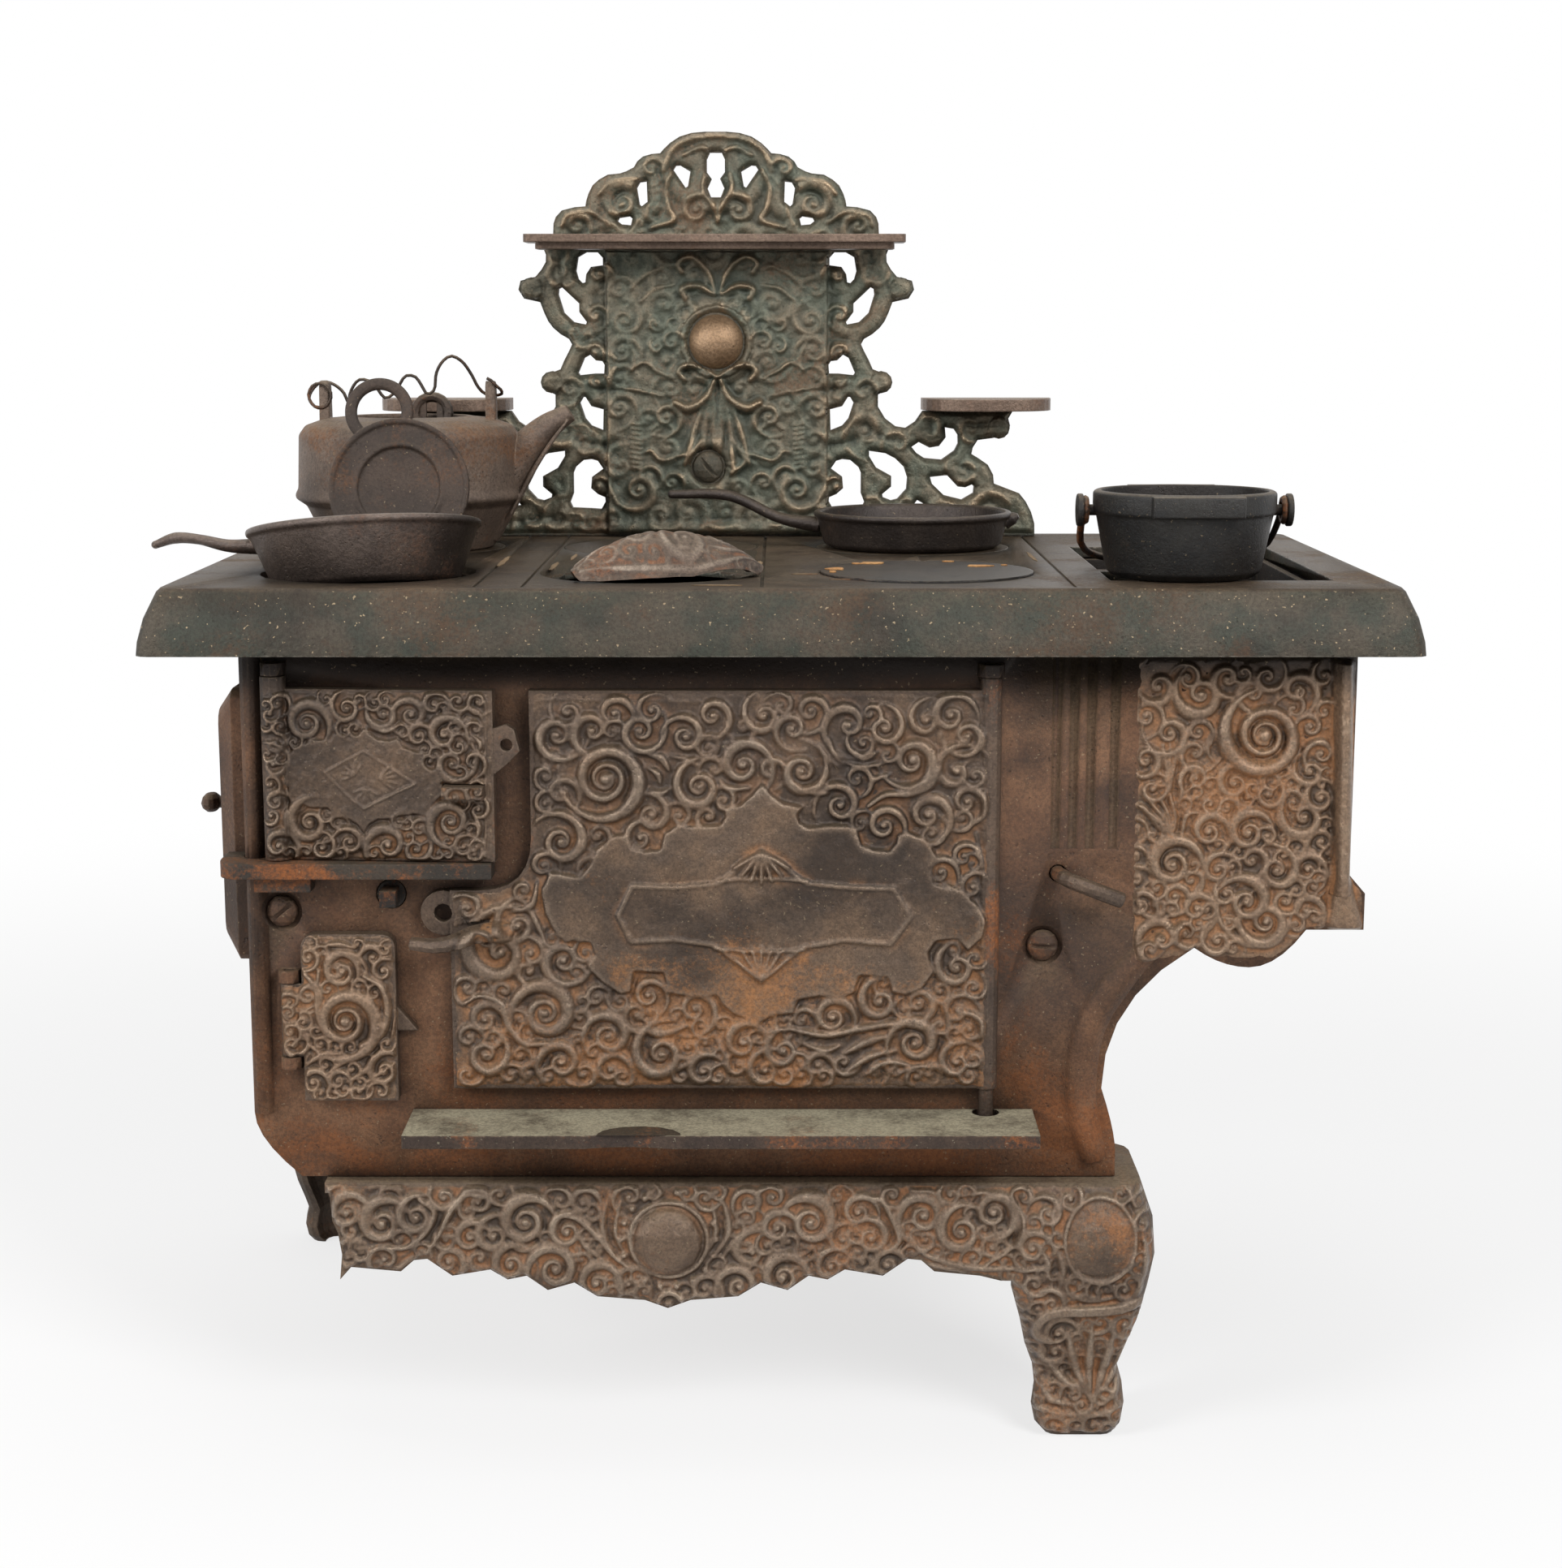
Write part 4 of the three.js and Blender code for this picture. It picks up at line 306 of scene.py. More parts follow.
class Effects:
    """Shader groups that the finishes share."""

    def __init__(self) -> None:
        """Build each group once."""
        self.grain = self.make_grain()
        self.stains = self.make_stains()
        self.dust = self.make_dust()
        self.wear = self.make_wear()

    def make_grain(self) -> bpy.types.NodeTree:
        """Build the sandy skin of a casting.

        Returns:
            The group, with a height and a mask of tiny pits.
        """
        tree, come_in, out = group(
            "casting_grain", {"Vector": Socket.VECTOR, "Pits": Socket.VALUE},
            {"Height": Socket.VALUE, "Pit": Socket.VALUE, "Speck": Socket.VALUE, "Sand": Socket.VALUE})
        vector = come_in["Vector"]
        sand = tree.noise(vector, 950, 5, 0.72)
        swell = tree.noise(vector, 240, 3, 0.55)
        pits = tree.add("TexVoronoi", feature="F1")
        tree.feed(pits, Vector=vector, Scale=620.0, Randomness=1.0)
        pit = tree.ramp(pits.outputs["Distance"], 0.12, 0.3, 1.0, 0.0)
        sparse = tree.ramp(tree.noise(vector, 150, 2), 0.5, 0.66)
        pit = tree.product(tree.product(pit, sparse), come_in["Pits"])
        height = tree.math("ADD", tree.product(sand, 0.9), tree.product(swell, 0.7))
        height = tree.math("SUBTRACT", height, tree.product(pit, 0.7))
        specks = tree.noise(vector, 900, 1, 0.5)
        tree.feed(out, Height=height, Pit=pit, Speck=tree.ramp(specks, 0.71, 0.76),
                  Sand=tree.ramp(sand, 0.42, 0.56, 1.0, 0.0))
        return tree.tree

    def make_stains(self) -> bpy.types.NodeTree:
        """Build broad stains of rust and soot with a powdery edge.

        Returns:
            The group, with a mask for each.
        """
        tree, come_in, out = group(
            "iron_stains",
            {"Vector": Socket.VECTOR, "Rust": Socket.VALUE, "Soot": Socket.VALUE, "Level": Socket.VALUE},
            {"Rust": Socket.VALUE, "Soot": Socket.VALUE})
        vector = come_in["Vector"]
        powder = tree.math("SUBTRACT", tree.noise(vector, 700, 4, 0.75), 0.5)
        below = tree.math("SUBTRACT", come_in["Level"], tree.axis(vector))
        lean = tree.product(tree.ramp(below, -0.05, 0.05, -0.12, 0.12), tree.math("SIGN", come_in["Level"]))
        wide = tree.math("ADD", tree.noise(vector, 26, 5, 0.6, 0.6), lean)
        amount = tree.product(tree.math("SUBTRACT", come_in["Rust"], 0.5), 0.4)
        rust = tree.math("ADD", tree.math("ADD", wide, tree.product(powder, 0.5)), amount)
        other = tree.add("VectorMath", operation="ADD")
        tree.feed(other, i0=vector, i1=(0.37, 0.11, 0.73))
        dark = tree.math("SUBTRACT", tree.noise(other.outputs[0], 17, 4, 0.55, 0.4), lean)
        amount = tree.product(tree.math("SUBTRACT", come_in["Soot"], 0.5), 0.4)
        soot = tree.math("ADD", tree.math("ADD", dark, tree.product(powder, 0.2)), amount)
        tree.feed(out, Rust=tree.ramp(rust, 0.5, 0.74), Soot=tree.ramp(soot, 0.44, 0.7))
        return tree.tree

    def make_dust(self) -> bpy.types.NodeTree:
        """Build the dust that lies on level faces.

        Returns:
            The group, with one mask.
        """
        tree, come_in, out = group(
            "settled_dust", {"Vector": Socket.VECTOR, "Amount": Socket.VALUE}, {"Mask": Socket.VALUE})
        level = tree.ramp(tree.axis(tree.add("NewGeometry").outputs["Normal"]), 0.35, 0.95)
        drift = tree.ramp(tree.noise(come_in["Vector"], 60, 8, 0.8), 0.3, 0.6, 0.25, 1.0)
        mask = tree.product(tree.product(level, drift), come_in["Amount"], True)
        tree.feed(out, Mask=mask)
        return tree.tree

    def make_wear(self) -> bpy.types.NodeTree:
        """Build the rubbed corners of a casting, found where a rounded normal leaves the true one.

        Returns:
            The group, with the rounded normal and the mask of its corners.
        """
        tree, come_in, out = group(
            "rubbed_corners", {"Vector": Socket.VECTOR, "Amount": Socket.VALUE},
            {"Mask": Socket.VALUE, "Normal": Socket.VECTOR})
        bevel = tree.add("Bevel", samples=4)
        tree.feed(bevel, Radius=0.9 * MM)
        dot = tree.add("VectorMath", operation="DOT_PRODUCT")
        tree.feed(dot, i0=bevel.outputs["Normal"], i1=tree.add("NewGeometry").outputs["Normal"])
        corner = tree.ramp(dot.outputs["Value"], 0.86, 0.99, 1.0, 0.0)
        broken = tree.ramp(tree.noise(come_in["Vector"], 320, 4, 0.7), 0.36, 0.62)
        mask = tree.product(tree.product(corner, broken), come_in["Amount"], True)
        tree.feed(out, Mask=mask, Normal=bevel.outputs["Normal"])
        return tree.tree


@dataclass(frozen=True)
class Iron:
    """One finish of aged cast iron.

    The plain and second colours cloud into each other. Rust lies in patches and hollows, dust on
    level faces, and the rubbed colour shows on corners and on the crests of cast ornament. The soot
    colour paints soot stains and also painted shade in crevices, in the hollows of cast ornament and
    under the hob, where the shadow colour deepens that painted shade.
    """

    name: str
    plain: Colour
    second: Colour
    rust: Colour = srgb(150, 88, 44)
    dust: Colour = srgb(150, 132, 106)
    rubbed: Colour = srgb(150, 128, 106)
    # Soot colour; it also paints the shade in crevices, in hollows of cast ornament and under the hob.
    soot: Colour = srgb(34, 28, 25)
    shadow: Colour = srgb(14, 10, 8)
    rusting: float = 0.5
    sooty: float = 0.4
    dusty: float = 0.5
    wearing: float = 0.5
    specks: float = 0.35
    pits: float = 0.6
    grain: float = 0.5
    bump_depth: float = 0.6 * MM
    roughness: float = 0.55
    metallic: float = 0.35
    shine: float = 0.3
    cover: float = 0.8
    relief: bool = False
    level: Colour | None = None
    rust_below: float = 0.0
    # Strength and reach of the painted shade in crevices, found by ambient occlusion.
    crevice_shade: float = 0.0
    crevice_reach: float = 16 * MM
    # Painted shade under the hob's overhang: the height where it starts, and how far it takes to grow full.
    shade_above: float = 0.0
    shade_ramp: float = 14 * MM
    hollow_rust: float = 0.8

    def carve(self, tree: Tree, vector: object, rust: object, soot: object) -> tuple[object, object, object]:
        """Lay rust, soot and painted shade in the hollows of cast ornament, and rub its crests.

        Args:
            tree: The material's tree.
            vector: The coordinates.
            rust: The rust's mask.
            soot: The soot's mask.

        Returns:
            The masks of the rust, the soot with the painted shade of the hollows, and what is rubbed.
        """
        crest = tree.add("Attribute", attribute_name="crest").outputs["Fac"]
        low = tree.ramp(crest, 0.28, 0.5, 1.0, 0.0)
        high = tree.ramp(crest, 0.52, 0.8)
        powdery = tree.ramp(tree.noise(vector, 42, 5, 0.65), 0.46, 0.6, 0.0, self.hollow_rust)
        if self.rust_below:
            start, end = self.rust_below + 0.02, self.rust_below + 0.07
            powdery = tree.product(powdery, tree.ramp(tree.axis(vector), start, end, 1.0, 0.35))
        rust = tree.math("MAXIMUM", rust, tree.product(low, powdery))
        # Soot and painted shade in the hollows of the ornament, where the rust leaves room.
        hollow_soot_and_shade = tree.product(low, tree.math("SUBTRACT", 0.8, rust), True)
        soot = tree.product(tree.math("MAXIMUM", soot, hollow_soot_and_shade), tree.rest(high))
        rust = tree.product(rust, tree.rest(tree.product(high, 0.55)))
        uneven = tree.ramp(tree.noise(vector, 120, 4, 0.6), 0.35, 0.65, 0.35, 1.0)
        return rust, soot, tree.product(tree.product(high, uneven), self.wearing, True)

    def build(self, effects: Effects) -> bpy.types.Material:
        """Make the material.

        Args:
            effects: The shared shader groups.

        Returns:
            The material.
        """
        material = bpy.data.materials.new(self.name)
        tree = Tree.fresh(material)
        vector = tree.add("TexCoord").outputs["Object"]

        def effect(source: bpy.types.NodeTree, **values: object) -> bpy.types.Node:
            """Add a shared group and feed it the coordinates and some values."""
            return tree.feed(tree.add("Group", node_tree=source), Vector=vector, **values)

        grain = effect(effects.grain, Pits=self.pits)
        cloud = tree.ramp(tree.noise(vector, 65, 4, 0.6), 0.38, 0.62)
        colour = tree.mix(cloud, self.plain, self.second)
        if self.level:
            upward = tree.axis(tree.add("NewGeometry").outputs["Normal"])
            colour = tree.mix(tree.ramp(upward, 0.6, 0.9), colour, self.level)
        stains = effect(effects.stains, Rust=self.rusting, Soot=self.sooty, Level=self.rust_below)
        rust, soot = stains.outputs["Rust"], stains.outputs["Soot"]
        wear = effect(effects.wear, Amount=self.wearing)
        rubbed = wear.outputs["Mask"]
        if self.relief:
            rust, soot, rubbed = self.carve(tree, vector, rust, soot)
        # Painted shade in crevices, from ambient occlusion, laid into the soot mask.
        if self.crevice_shade:
            near = tree.feed(tree.add("AmbientOcclusion", samples=4), Distance=self.crevice_reach)
            crevice_shade_mask = tree.ramp(near.outputs["AO"], 0.25, 0.8, self.crevice_shade, 0.0)
            soot, rust = tree.math("MAXIMUM", soot, crevice_shade_mask), tree.product(rust, tree.rest(crevice_shade_mask))
        # Painted shade in a band under the hob's overhang, laid into the soot mask and then darkened with the
        # shadow colour.
        shade = None
        if self.shade_above:
            shade = tree.ramp(tree.axis(vector), self.shade_above, self.shade_above + self.shade_ramp)
            soot, rust = tree.math("MAXIMUM", soot, shade), tree.product(rust, tree.rest(shade))
        # The soot colour paints the soot stains together with the painted shade.
        colour = tree.mix(tree.product(soot, self.cover), colour, self.soot)
        colour = tree.mix(tree.product(rust, self.cover), colour, self.rust)
        if shade is not None:
            colour = tree.mix(tree.product(shade, self.cover), colour, self.shadow)
        colour = tree.mix(tree.product(rubbed, 0.6), colour, self.rubbed)
        dust = effect(effects.dust, Amount=self.dusty).outputs["Mask"]
        colour = tree.mix(dust, colour, self.dust)
        colour = tree.mix(tree.product(grain.outputs["Sand"], 0.32), colour, self.soot)
        colour = tree.mix(tree.product(grain.outputs["Pit"], 0.6), colour, self.soot)
        colour = tree.mix(tree.product(grain.outputs["Speck"], self.specks), colour, self.dust)
        rough = tree.math("ADD", tree.product(rust, 0.25), self.roughness)
        rough = tree.math("ADD", rough, tree.product(dust, 0.3))
        rough = tree.math("SUBTRACT", rough, tree.product(rubbed, 0.2), True)
        metal = tree.math("SUBTRACT", self.metallic, tree.product(rust, self.metallic * 0.8))
        metal = tree.math("SUBTRACT", metal, tree.product(dust, self.metallic * 0.9))
        metal = tree.math("ADD", metal, tree.product(rubbed, 0.3), True)
        bump = tree.add("Bump")
        tree.feed(bump, Strength=self.grain, Distance=self.bump_depth, Height=grain.outputs["Height"])
        if not self.relief:
            tree.feed(bump, Normal=wear.outputs["Normal"])
        shader = tree.add("BsdfPrincipled")
        tree.feed(shader, Base_Color=colour, Roughness=rough, Metallic=metal, Normal=bump.outputs["Normal"],
                  Specular_IOR_Level=self.shine)
        tree.feed(tree.add("OutputMaterial"), Surface=shader.outputs[0])
        return material


class Finish(Enum):
    """The finishes of the stove and its utensils."""

    # Some finishes paint shade in crevices and in a band under the hob.
    BODY = Iron("rusty_body", srgb(100, 70, 50), srgb(116, 84, 61), rust=srgb(126, 76, 42), rusting=0.5,
                sooty=0.44, dusty=0.35, pits=0.8, roughness=0.55, metallic=0.3, rust_below=0.14, crevice_shade=1.0,
                shade_above=0.246)
    HOB = Iron("hob_top", srgb(56, 58, 51), srgb(72, 66, 57), rust=srgb(80, 60, 45),
               rubbed=srgb(190, 182, 168), rusting=0.52, sooty=0.42, dusty=0.2, wearing=0.85, specks=0.8,
               roughness=0.4, metallic=0.42, level=srgb(47, 37, 30), shine=0.2)
    LID = Iron("black_lid", srgb(34, 34, 34), srgb(44, 42, 40), rust=srgb(84, 58, 40),
               rubbed=srgb(150, 138, 124), rusting=0.34, sooty=0.5, dusty=0.12, wearing=0.9, specks=0.3,
               roughness=0.4, metallic=0.4)
    FLAKE = Iron("pale_flakes", srgb(196, 142, 88), srgb(210, 160, 104), rust=srgb(150, 96, 54),
                 rubbed=srgb(220, 180, 130), rusting=0.3, sooty=0.1, dusty=0.0, wearing=0.4, metallic=0.0)
    DUST = Iron("seam_dust", srgb(128, 104, 78), srgb(150, 124, 92), rusting=0.4, sooty=0.4, dusty=0.4,
                wearing=0.2, metallic=0.0, roughness=0.8)
    WORN = Iron("worn_ledge", srgb(52, 47, 42), srgb(66, 58, 50), rusting=0.4, sooty=0.3, dusty=0.15,
                wearing=0.2)
    DOOR = Iron("cast_door", srgb(98, 81, 67), srgb(114, 92, 73), rust=srgb(154, 104, 60),
                rubbed=srgb(160, 144, 127), rusting=0.44, sooty=0.5, dusty=0.2, wearing=0.6, roughness=0.34,
                metallic=0.45, relief=True, rust_below=0.16, shine=0.4, shade_above=0.25)
    PANEL = Iron("rusty_panel", srgb(114, 91, 72), srgb(128, 103, 81), rust=srgb(156, 105, 62),
                 rubbed=srgb(168, 148, 128), rusting=0.48, sooty=0.4, dusty=0.2, wearing=0.6, roughness=0.36,
                 metallic=0.42, relief=True, shine=0.4, shade_above=0.25)
    BARE = Iron("door_edge", srgb(84, 70, 60), srgb(96, 79, 66), rubbed=srgb(158, 140, 120), rusting=0.38,
                dusty=0.2, wearing=0.7, roughness=0.45, metallic=0.4, crevice_shade=0.7, shade_above=0.248)
    LEAF = Iron("fallen_leaf", srgb(88, 74, 64), srgb(102, 86, 74), rust=srgb(142, 84, 46),
                rubbed=srgb(178, 164, 148), rusting=0.5, sooty=0.4, dusty=0.2, wearing=0.85, roughness=0.42,
                metallic=0.4, relief=True)
    PLATE = Iron("green_back_plate", srgb(93, 96, 83), srgb(109, 101, 85), rust=srgb(116, 88, 66),
                 rubbed=srgb(166, 140, 112), soot=srgb(38, 44, 38), rusting=0.42, sooty=0.42, dusty=0.2,
                 wearing=0.95, roughness=0.4, metallic=0.42, relief=True, hollow_rust=0.0)
    PATINA = Iron("green_patina", srgb(76, 76, 67), srgb(90, 82, 69), rust=srgb(106, 82, 62),
                  rubbed=srgb(136, 116, 92), soot=srgb(34, 38, 33), rusting=0.4, dusty=0.4, wearing=0.6)
    BOSS = Iron("rubbed_boss", srgb(172, 142, 112), srgb(150, 122, 94), rust=srgb(112, 82, 58),
                rubbed=srgb(220, 194, 162), rusting=0.36, sooty=0.2, dusty=0.1, wearing=0.4, roughness=0.36,
                metallic=0.5)
    BASE = Iron("leg_iron", srgb(103, 84, 68), srgb(118, 98, 80), rust=srgb(154, 102, 60),
                rubbed=srgb(178, 162, 144), rusting=0.5, sooty=0.42, dusty=0.35, wearing=0.65, roughness=0.36,
                metallic=0.4, relief=True, shine=0.4)
    BASE_BARE = Iron("leg_plain", srgb(98, 82, 68), srgb(112, 95, 79), rust=srgb(136, 90, 56),
                     rubbed=srgb(158, 140, 120), rusting=0.42, dusty=0.5, wearing=0.6, crevice_shade=0.8)
    BRACKET = Iron("shelf_bracket", srgb(112, 93, 80), srgb(126, 106, 92), rust=srgb(120, 82, 58),
                   rubbed=srgb(170, 150, 130), rusting=0.36, sooty=0.3, dusty=0.3, wearing=0.8, roughness=0.4)
    LEDGE = Iron("dusty_ledge", srgb(60, 49, 43), srgb(74, 60, 51), dust=srgb(164, 156, 132), rusting=0.4,
                 sooty=0.3, dusty=1.0, wearing=0.8, rubbed=srgb(150, 132, 110), level=srgb(84, 72, 60))
    PAN = Iron("brown_pan", srgb(86, 75, 69), srgb(102, 89, 81), rust=srgb(100, 70, 52),
               rubbed=srgb(136, 122, 110), rusting=0.38, sooty=0.38, dusty=0.2, wearing=0.6, roughness=0.34,
               metallic=0.5, shine=0.45)
    DARK_PAN = Iron("dark_pan", srgb(58, 52, 49), srgb(70, 62, 57), rust=srgb(92, 66, 50),
                    rubbed=srgb(128, 114, 102), rusting=0.34, sooty=0.45, dusty=0.2, wearing=0.6,
                    roughness=0.34, metallic=0.5)
    POT = Iron("black_pot", srgb(38, 38, 38), srgb(47, 46, 44), rust=srgb(74, 56, 42),
               rubbed=srgb(110, 102, 94), rusting=0.3, sooty=0.45, dusty=0.3, wearing=0.6, roughness=0.42,
               metallic=0.4)
    KETTLE = Iron("rusty_kettle", srgb(98, 84, 74), srgb(112, 96, 84), rust=srgb(122, 84, 56),
                  rubbed=srgb(160, 142, 122), rusting=0.42, sooty=0.46, dusty=0.3, wearing=0.5, pits=1.0,
                  roughness=0.52, metallic=0.3)
    GRIDDLE = Iron("brown_griddle", srgb(58, 49, 43), srgb(72, 60, 52), rust=srgb(112, 76, 50),
                   rubbed=srgb(158, 140, 122), rusting=0.42, sooty=0.46, dusty=0.1, wearing=0.8, roughness=0.5,
                   crevice_shade=0.9)
    WIRE = Iron("wire", srgb(62, 54, 48), srgb(78, 64, 54), rusting=0.5, wearing=0.2, roughness=0.45,
                metallic=0.5)
    TIN = Iron("black_inside", srgb(32, 29, 26), srgb(40, 35, 31), rusting=0.4, dusty=0.3, wearing=0.3,
               roughness=0.7, metallic=0.2)


class Dresser:
    """Keeps one material for each finish and puts it on objects."""

    def __init__(self) -> None:
        """Build the shared effects."""
        self.effects = Effects()
        self.made: dict[Finish, bpy.types.Material] = {}

    def dress(self, piece: bpy.types.Object, finish: Finish) -> bpy.types.Object:
        """Give an object a finish.

        Args:
            piece: The object.
            finish: The finish.

        Returns:
            The same object.
        """
        if finish not in self.made:
            self.made[finish] = finish.value.build(self.effects)
        piece.data.materials.clear()
        piece.data.materials.append(self.made[finish])
        return piece

    def dress_nodes(self, table: dict[Finish, tuple[str, ...]]) -> None:
        """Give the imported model's own nodes their finishes.

        Args:
            table: The nodes of each finish.
        """
        for finish, names in table.items():
            for name in names:
                self.dress(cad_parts[name], finish)


# Making and placing meshes


def finished(name: str, mesh_data: bmesh.types.BMesh, smooth: bool = True) -> bpy.types.Object:
    """Turn a bmesh into an object at the origin.

    Args:
        name: The object's name.
        mesh_data: The bmesh, which is freed.
        smooth: Shade its faces smooth.

    Returns:
        The object.
    """
    mesh = bpy.data.meshes.new(name)
    for face in mesh_data.faces:
        face.smooth = smooth
    mesh_data.to_mesh(mesh)
    mesh_data.free()
    piece = bpy.data.objects.new(name, mesh)
    bpy.context.scene.collection.objects.link(piece)
    return piece


def keep_creases(piece: bpy.types.Object, angle: float = 40.0) -> None:
    """Keep edges sharper than an angle crisp.

    Args:
        piece: The object.
        angle: The angle in degrees.
    """
    piece.data.set_sharp_from_angle(angle=math.radians(angle))


def spun(mesh_data: bmesh.types.BMesh, profile: list[Pair], steps: int = 96) -> None:
    """Turn a profile about Z.

    Args:
        mesh_data: The bmesh to add to.
        profile: Radius and height pairs in millimetres.
        steps: Sides of a full turn.
    """
    corners = [mesh_data.verts.new((radius * MM, 0, height * MM)) for radius, height in profile]
    edges = [mesh_data.edges.new(pair) for pair in zip(corners, corners[1:])]
    bmesh.ops.spin(mesh_data, geom=corners + edges, axis=(0, 0, 1), cent=(0, 0, 0),
                   angle=math.tau, steps=steps, use_merge=True)
    bmesh.ops.remove_doubles(mesh_data, verts=mesh_data.verts, dist=1e-6)
    bmesh.ops.recalc_face_normals(mesh_data, faces=mesh_data.faces)


def smoothed(points: list[tuple], steps: int) -> np.ndarray:
    """Run a smooth curve through points.

    Args:
        points: The points, in two or three dimensions.
        steps: Number of points wanted.

    Returns:
        The points of the curve.
    """
    rows = np.array(points, float)
    if len(rows) < 3:
        share = np.linspace(0, 1, steps)[:, None]
        return rows[0] * (1 - share) + rows[-1] * share
    rows = np.vstack([2 * rows[0] - rows[1], rows, 2 * rows[-1] - rows[-2]])
    place = np.linspace(0, len(rows) - 3 - TINY, steps)
    index = place.astype(int)
    t = (place - index)[:, None]
    a, b, c, d = (rows[index + k] for k in range(4))
    square, cube = 2 * a - 5 * b + 4 * c - d, 3 * b - a - 3 * c + d
    return 0.5 * (2 * b + (c - a) * t + square * t ** 2 + cube * t ** 3)


def swept(mesh_data: bmesh.types.BMesh, points: list[Triple], radii: list[float], wide: float = 1.0,
          sides: int = 20, steps: int = 40, up: Triple = (0, 0, 1)) -> None:
    """Run a round or flattened bar along a smooth path.

    Args:
        mesh_data: The bmesh to add to.
        points: The path in millimetres.
        radii: The bar's half height at even steps.
        wide: How much wider than high it is.
        sides: Sides of its section.
        steps: Sections along it.
        up: The direction of its height.
    """
    path = smoothed(points, steps)
    rings = []
    for index in range(steps):
        along = Vector(path[min(index + 1, steps - 1)] - path[max(index - 1, 0)]).normalized()
        across = along.cross(Vector(up)).normalized()
        lift = across.cross(along)
        radius = float(np.interp(index / (steps - 1), np.linspace(0, 1, len(radii)), radii)) * MM
        turn = Matrix((across * radius * wide, lift * radius, along)).transposed().to_4x4()
        turn.translation = Vector(path[index]) * MM
        ring = bmesh.ops.create_circle(mesh_data, segments=sides, radius=1.0, matrix=turn, cap_ends=False)
        rings.append({edge for vert in ring["verts"] for edge in vert.link_edges})
    for first, second in zip(rings, rings[1:]):
        bmesh.ops.bridge_loops(mesh_data, edges=list(first | second))
    for ring in (rings[0], rings[-1]):
        bmesh.ops.contextual_create(mesh_data, geom=list(ring))
    bmesh.ops.recalc_face_normals(mesh_data, faces=mesh_data.faces)


def bevelled(mesh_data: bmesh.types.BMesh, edges: set[bmesh.types.BMEdge], width: float) -> None:
    """Round edges.

    Args:
        mesh_data: The bmesh.
        edges: The edges.
        width: How far from each edge the rounding starts, in millimetres.
    """
    bmesh.ops.bevel(mesh_data, geom=list(edges), offset=width * MM, segments=3, profile=0.5, material=-1,
                    affect="EDGES")


def inner_edges(verts: list[bmesh.types.BMVert]) -> set[bmesh.types.BMEdge]:
    """Find the edges that join some corners with each other.

    Args:
        verts: The corners.

    Returns:
        The edges.
    """
    return {edge for vert in verts for edge in vert.link_edges if edge.other_vert(vert) in verts}


def pulled(mesh_data: bmesh.types.BMesh, face: bmesh.types.BMFace, way: Vector) -> list[bmesh.types.BMVert]:
    """Pull a face out into a block.

    Args:
        mesh_data: The bmesh.
        face: The face, which stays where it is.
        way: How far its copy goes.

    Returns:
        The copy's corners.
    """
    made = bmesh.ops.extrude_face_region(mesh_data, geom=[face])["geom"]
    moved = [item for item in made if isinstance(item, bmesh.types.BMVert)]
    bmesh.ops.translate(mesh_data, vec=way, verts=moved)
    return moved


def placed(mesh_data: bmesh.types.BMesh, place: Vector, turn: Matrix | None = None) -> None:
    """Put a bmesh that was made about its own origin in its place.

    Args:
        mesh_data: The bmesh.
        place: Where its origin goes.
        turn: How it is turned there.
    """
    matrix = Matrix.Translation(place) @ (turn or Matrix.Identity(4))
    bmesh.ops.transform(mesh_data, matrix=matrix, verts=mesh_data.verts)


# Cast ornament


class Form(Enum):
    """Sections of a raised band: x is 0 at its middle and 1 at its edge."""

    ROUND = "round"
    FLAT = "flat"

    def rise(self, x: np.ndarray) -> np.ndarray:
        """Give the band's height over its width.

        Args:
            x: Distances from its middle, as shares of its half width.

        Returns:
            Heights from 0 to 1.
        """
        if self is Form.FLAT:
            return np.clip((1 - x) * 3, 0, 1) ** 0.7
        return np.clip(1 - x * x, 0, 1) ** 0.6


@dataclass(frozen=True)
class Band:
    """A raised band along a path: places in sketch units, half widths and heights in millimetres."""

    path: tuple[Pair, ...]
    wide: tuple[float, ...] = (0.5, 1.6, 0.4)
    high: tuple[float, ...] = (1.4,)
    form: Form = Form.ROUND
    curved: bool = True

    def bands(self) -> list["Band"]:
        """Give the bands that this ornament is made of."""
        return [self]


TURN_STEPS = 26
EYE_SHARE = 0.2


@dataclass(frozen=True)
class Volute:
    """A spiral scroll round an eye, in sketch units.

    It starts at an angle, counted from the right and up, and curls turns times towards its eye,
    to the left when turns is more than 0.
    """

    u: float
    v: float
    radius: float
    start: float
    turns: float
    high: float = 1.7
    tail: float = 0.42
    fat: float = 0.38

    def bands(self) -> list[Band]:
        """Give the bands that this ornament is made of.

        Returns:
            The scroll and its eye.
        """
        hand = 1 if self.turns > 0 else -1
        turns = abs(self.turns)
        steps = int(TURN_STEPS * (turns + self.tail)) + 4
        share = np.linspace(-self.tail, turns, steps)
        shrink = math.log(1 / EYE_SHARE) / turns
        radius = self.radius * np.exp(-shrink * share)
        angle = math.radians(self.start) + hand * math.tau * share
        path = tuple((float(self.u + r * math.cos(a)), float(self.v - r * math.sin(a)))
                     for r, a in zip(radius, angle))
        taper = np.clip((share + self.tail) / (self.tail + 0.12), 0.12, 1)
        wide = tuple(-float(w) for w in radius * self.fat * taper)
        lower = (0.62 + 0.38 * radius / radius.max()) * np.clip(taper + 0.35, 0, 1)
        high = tuple(float(h) for h in self.high * lower)
        eye = Band(((self.u, self.v), (self.u + 0.01, self.v)), (-self.radius * EYE_SHARE,),
                   (self.high * 0.95,), curved=False)
        return [Band(path, wide, high, curved=False), eye]


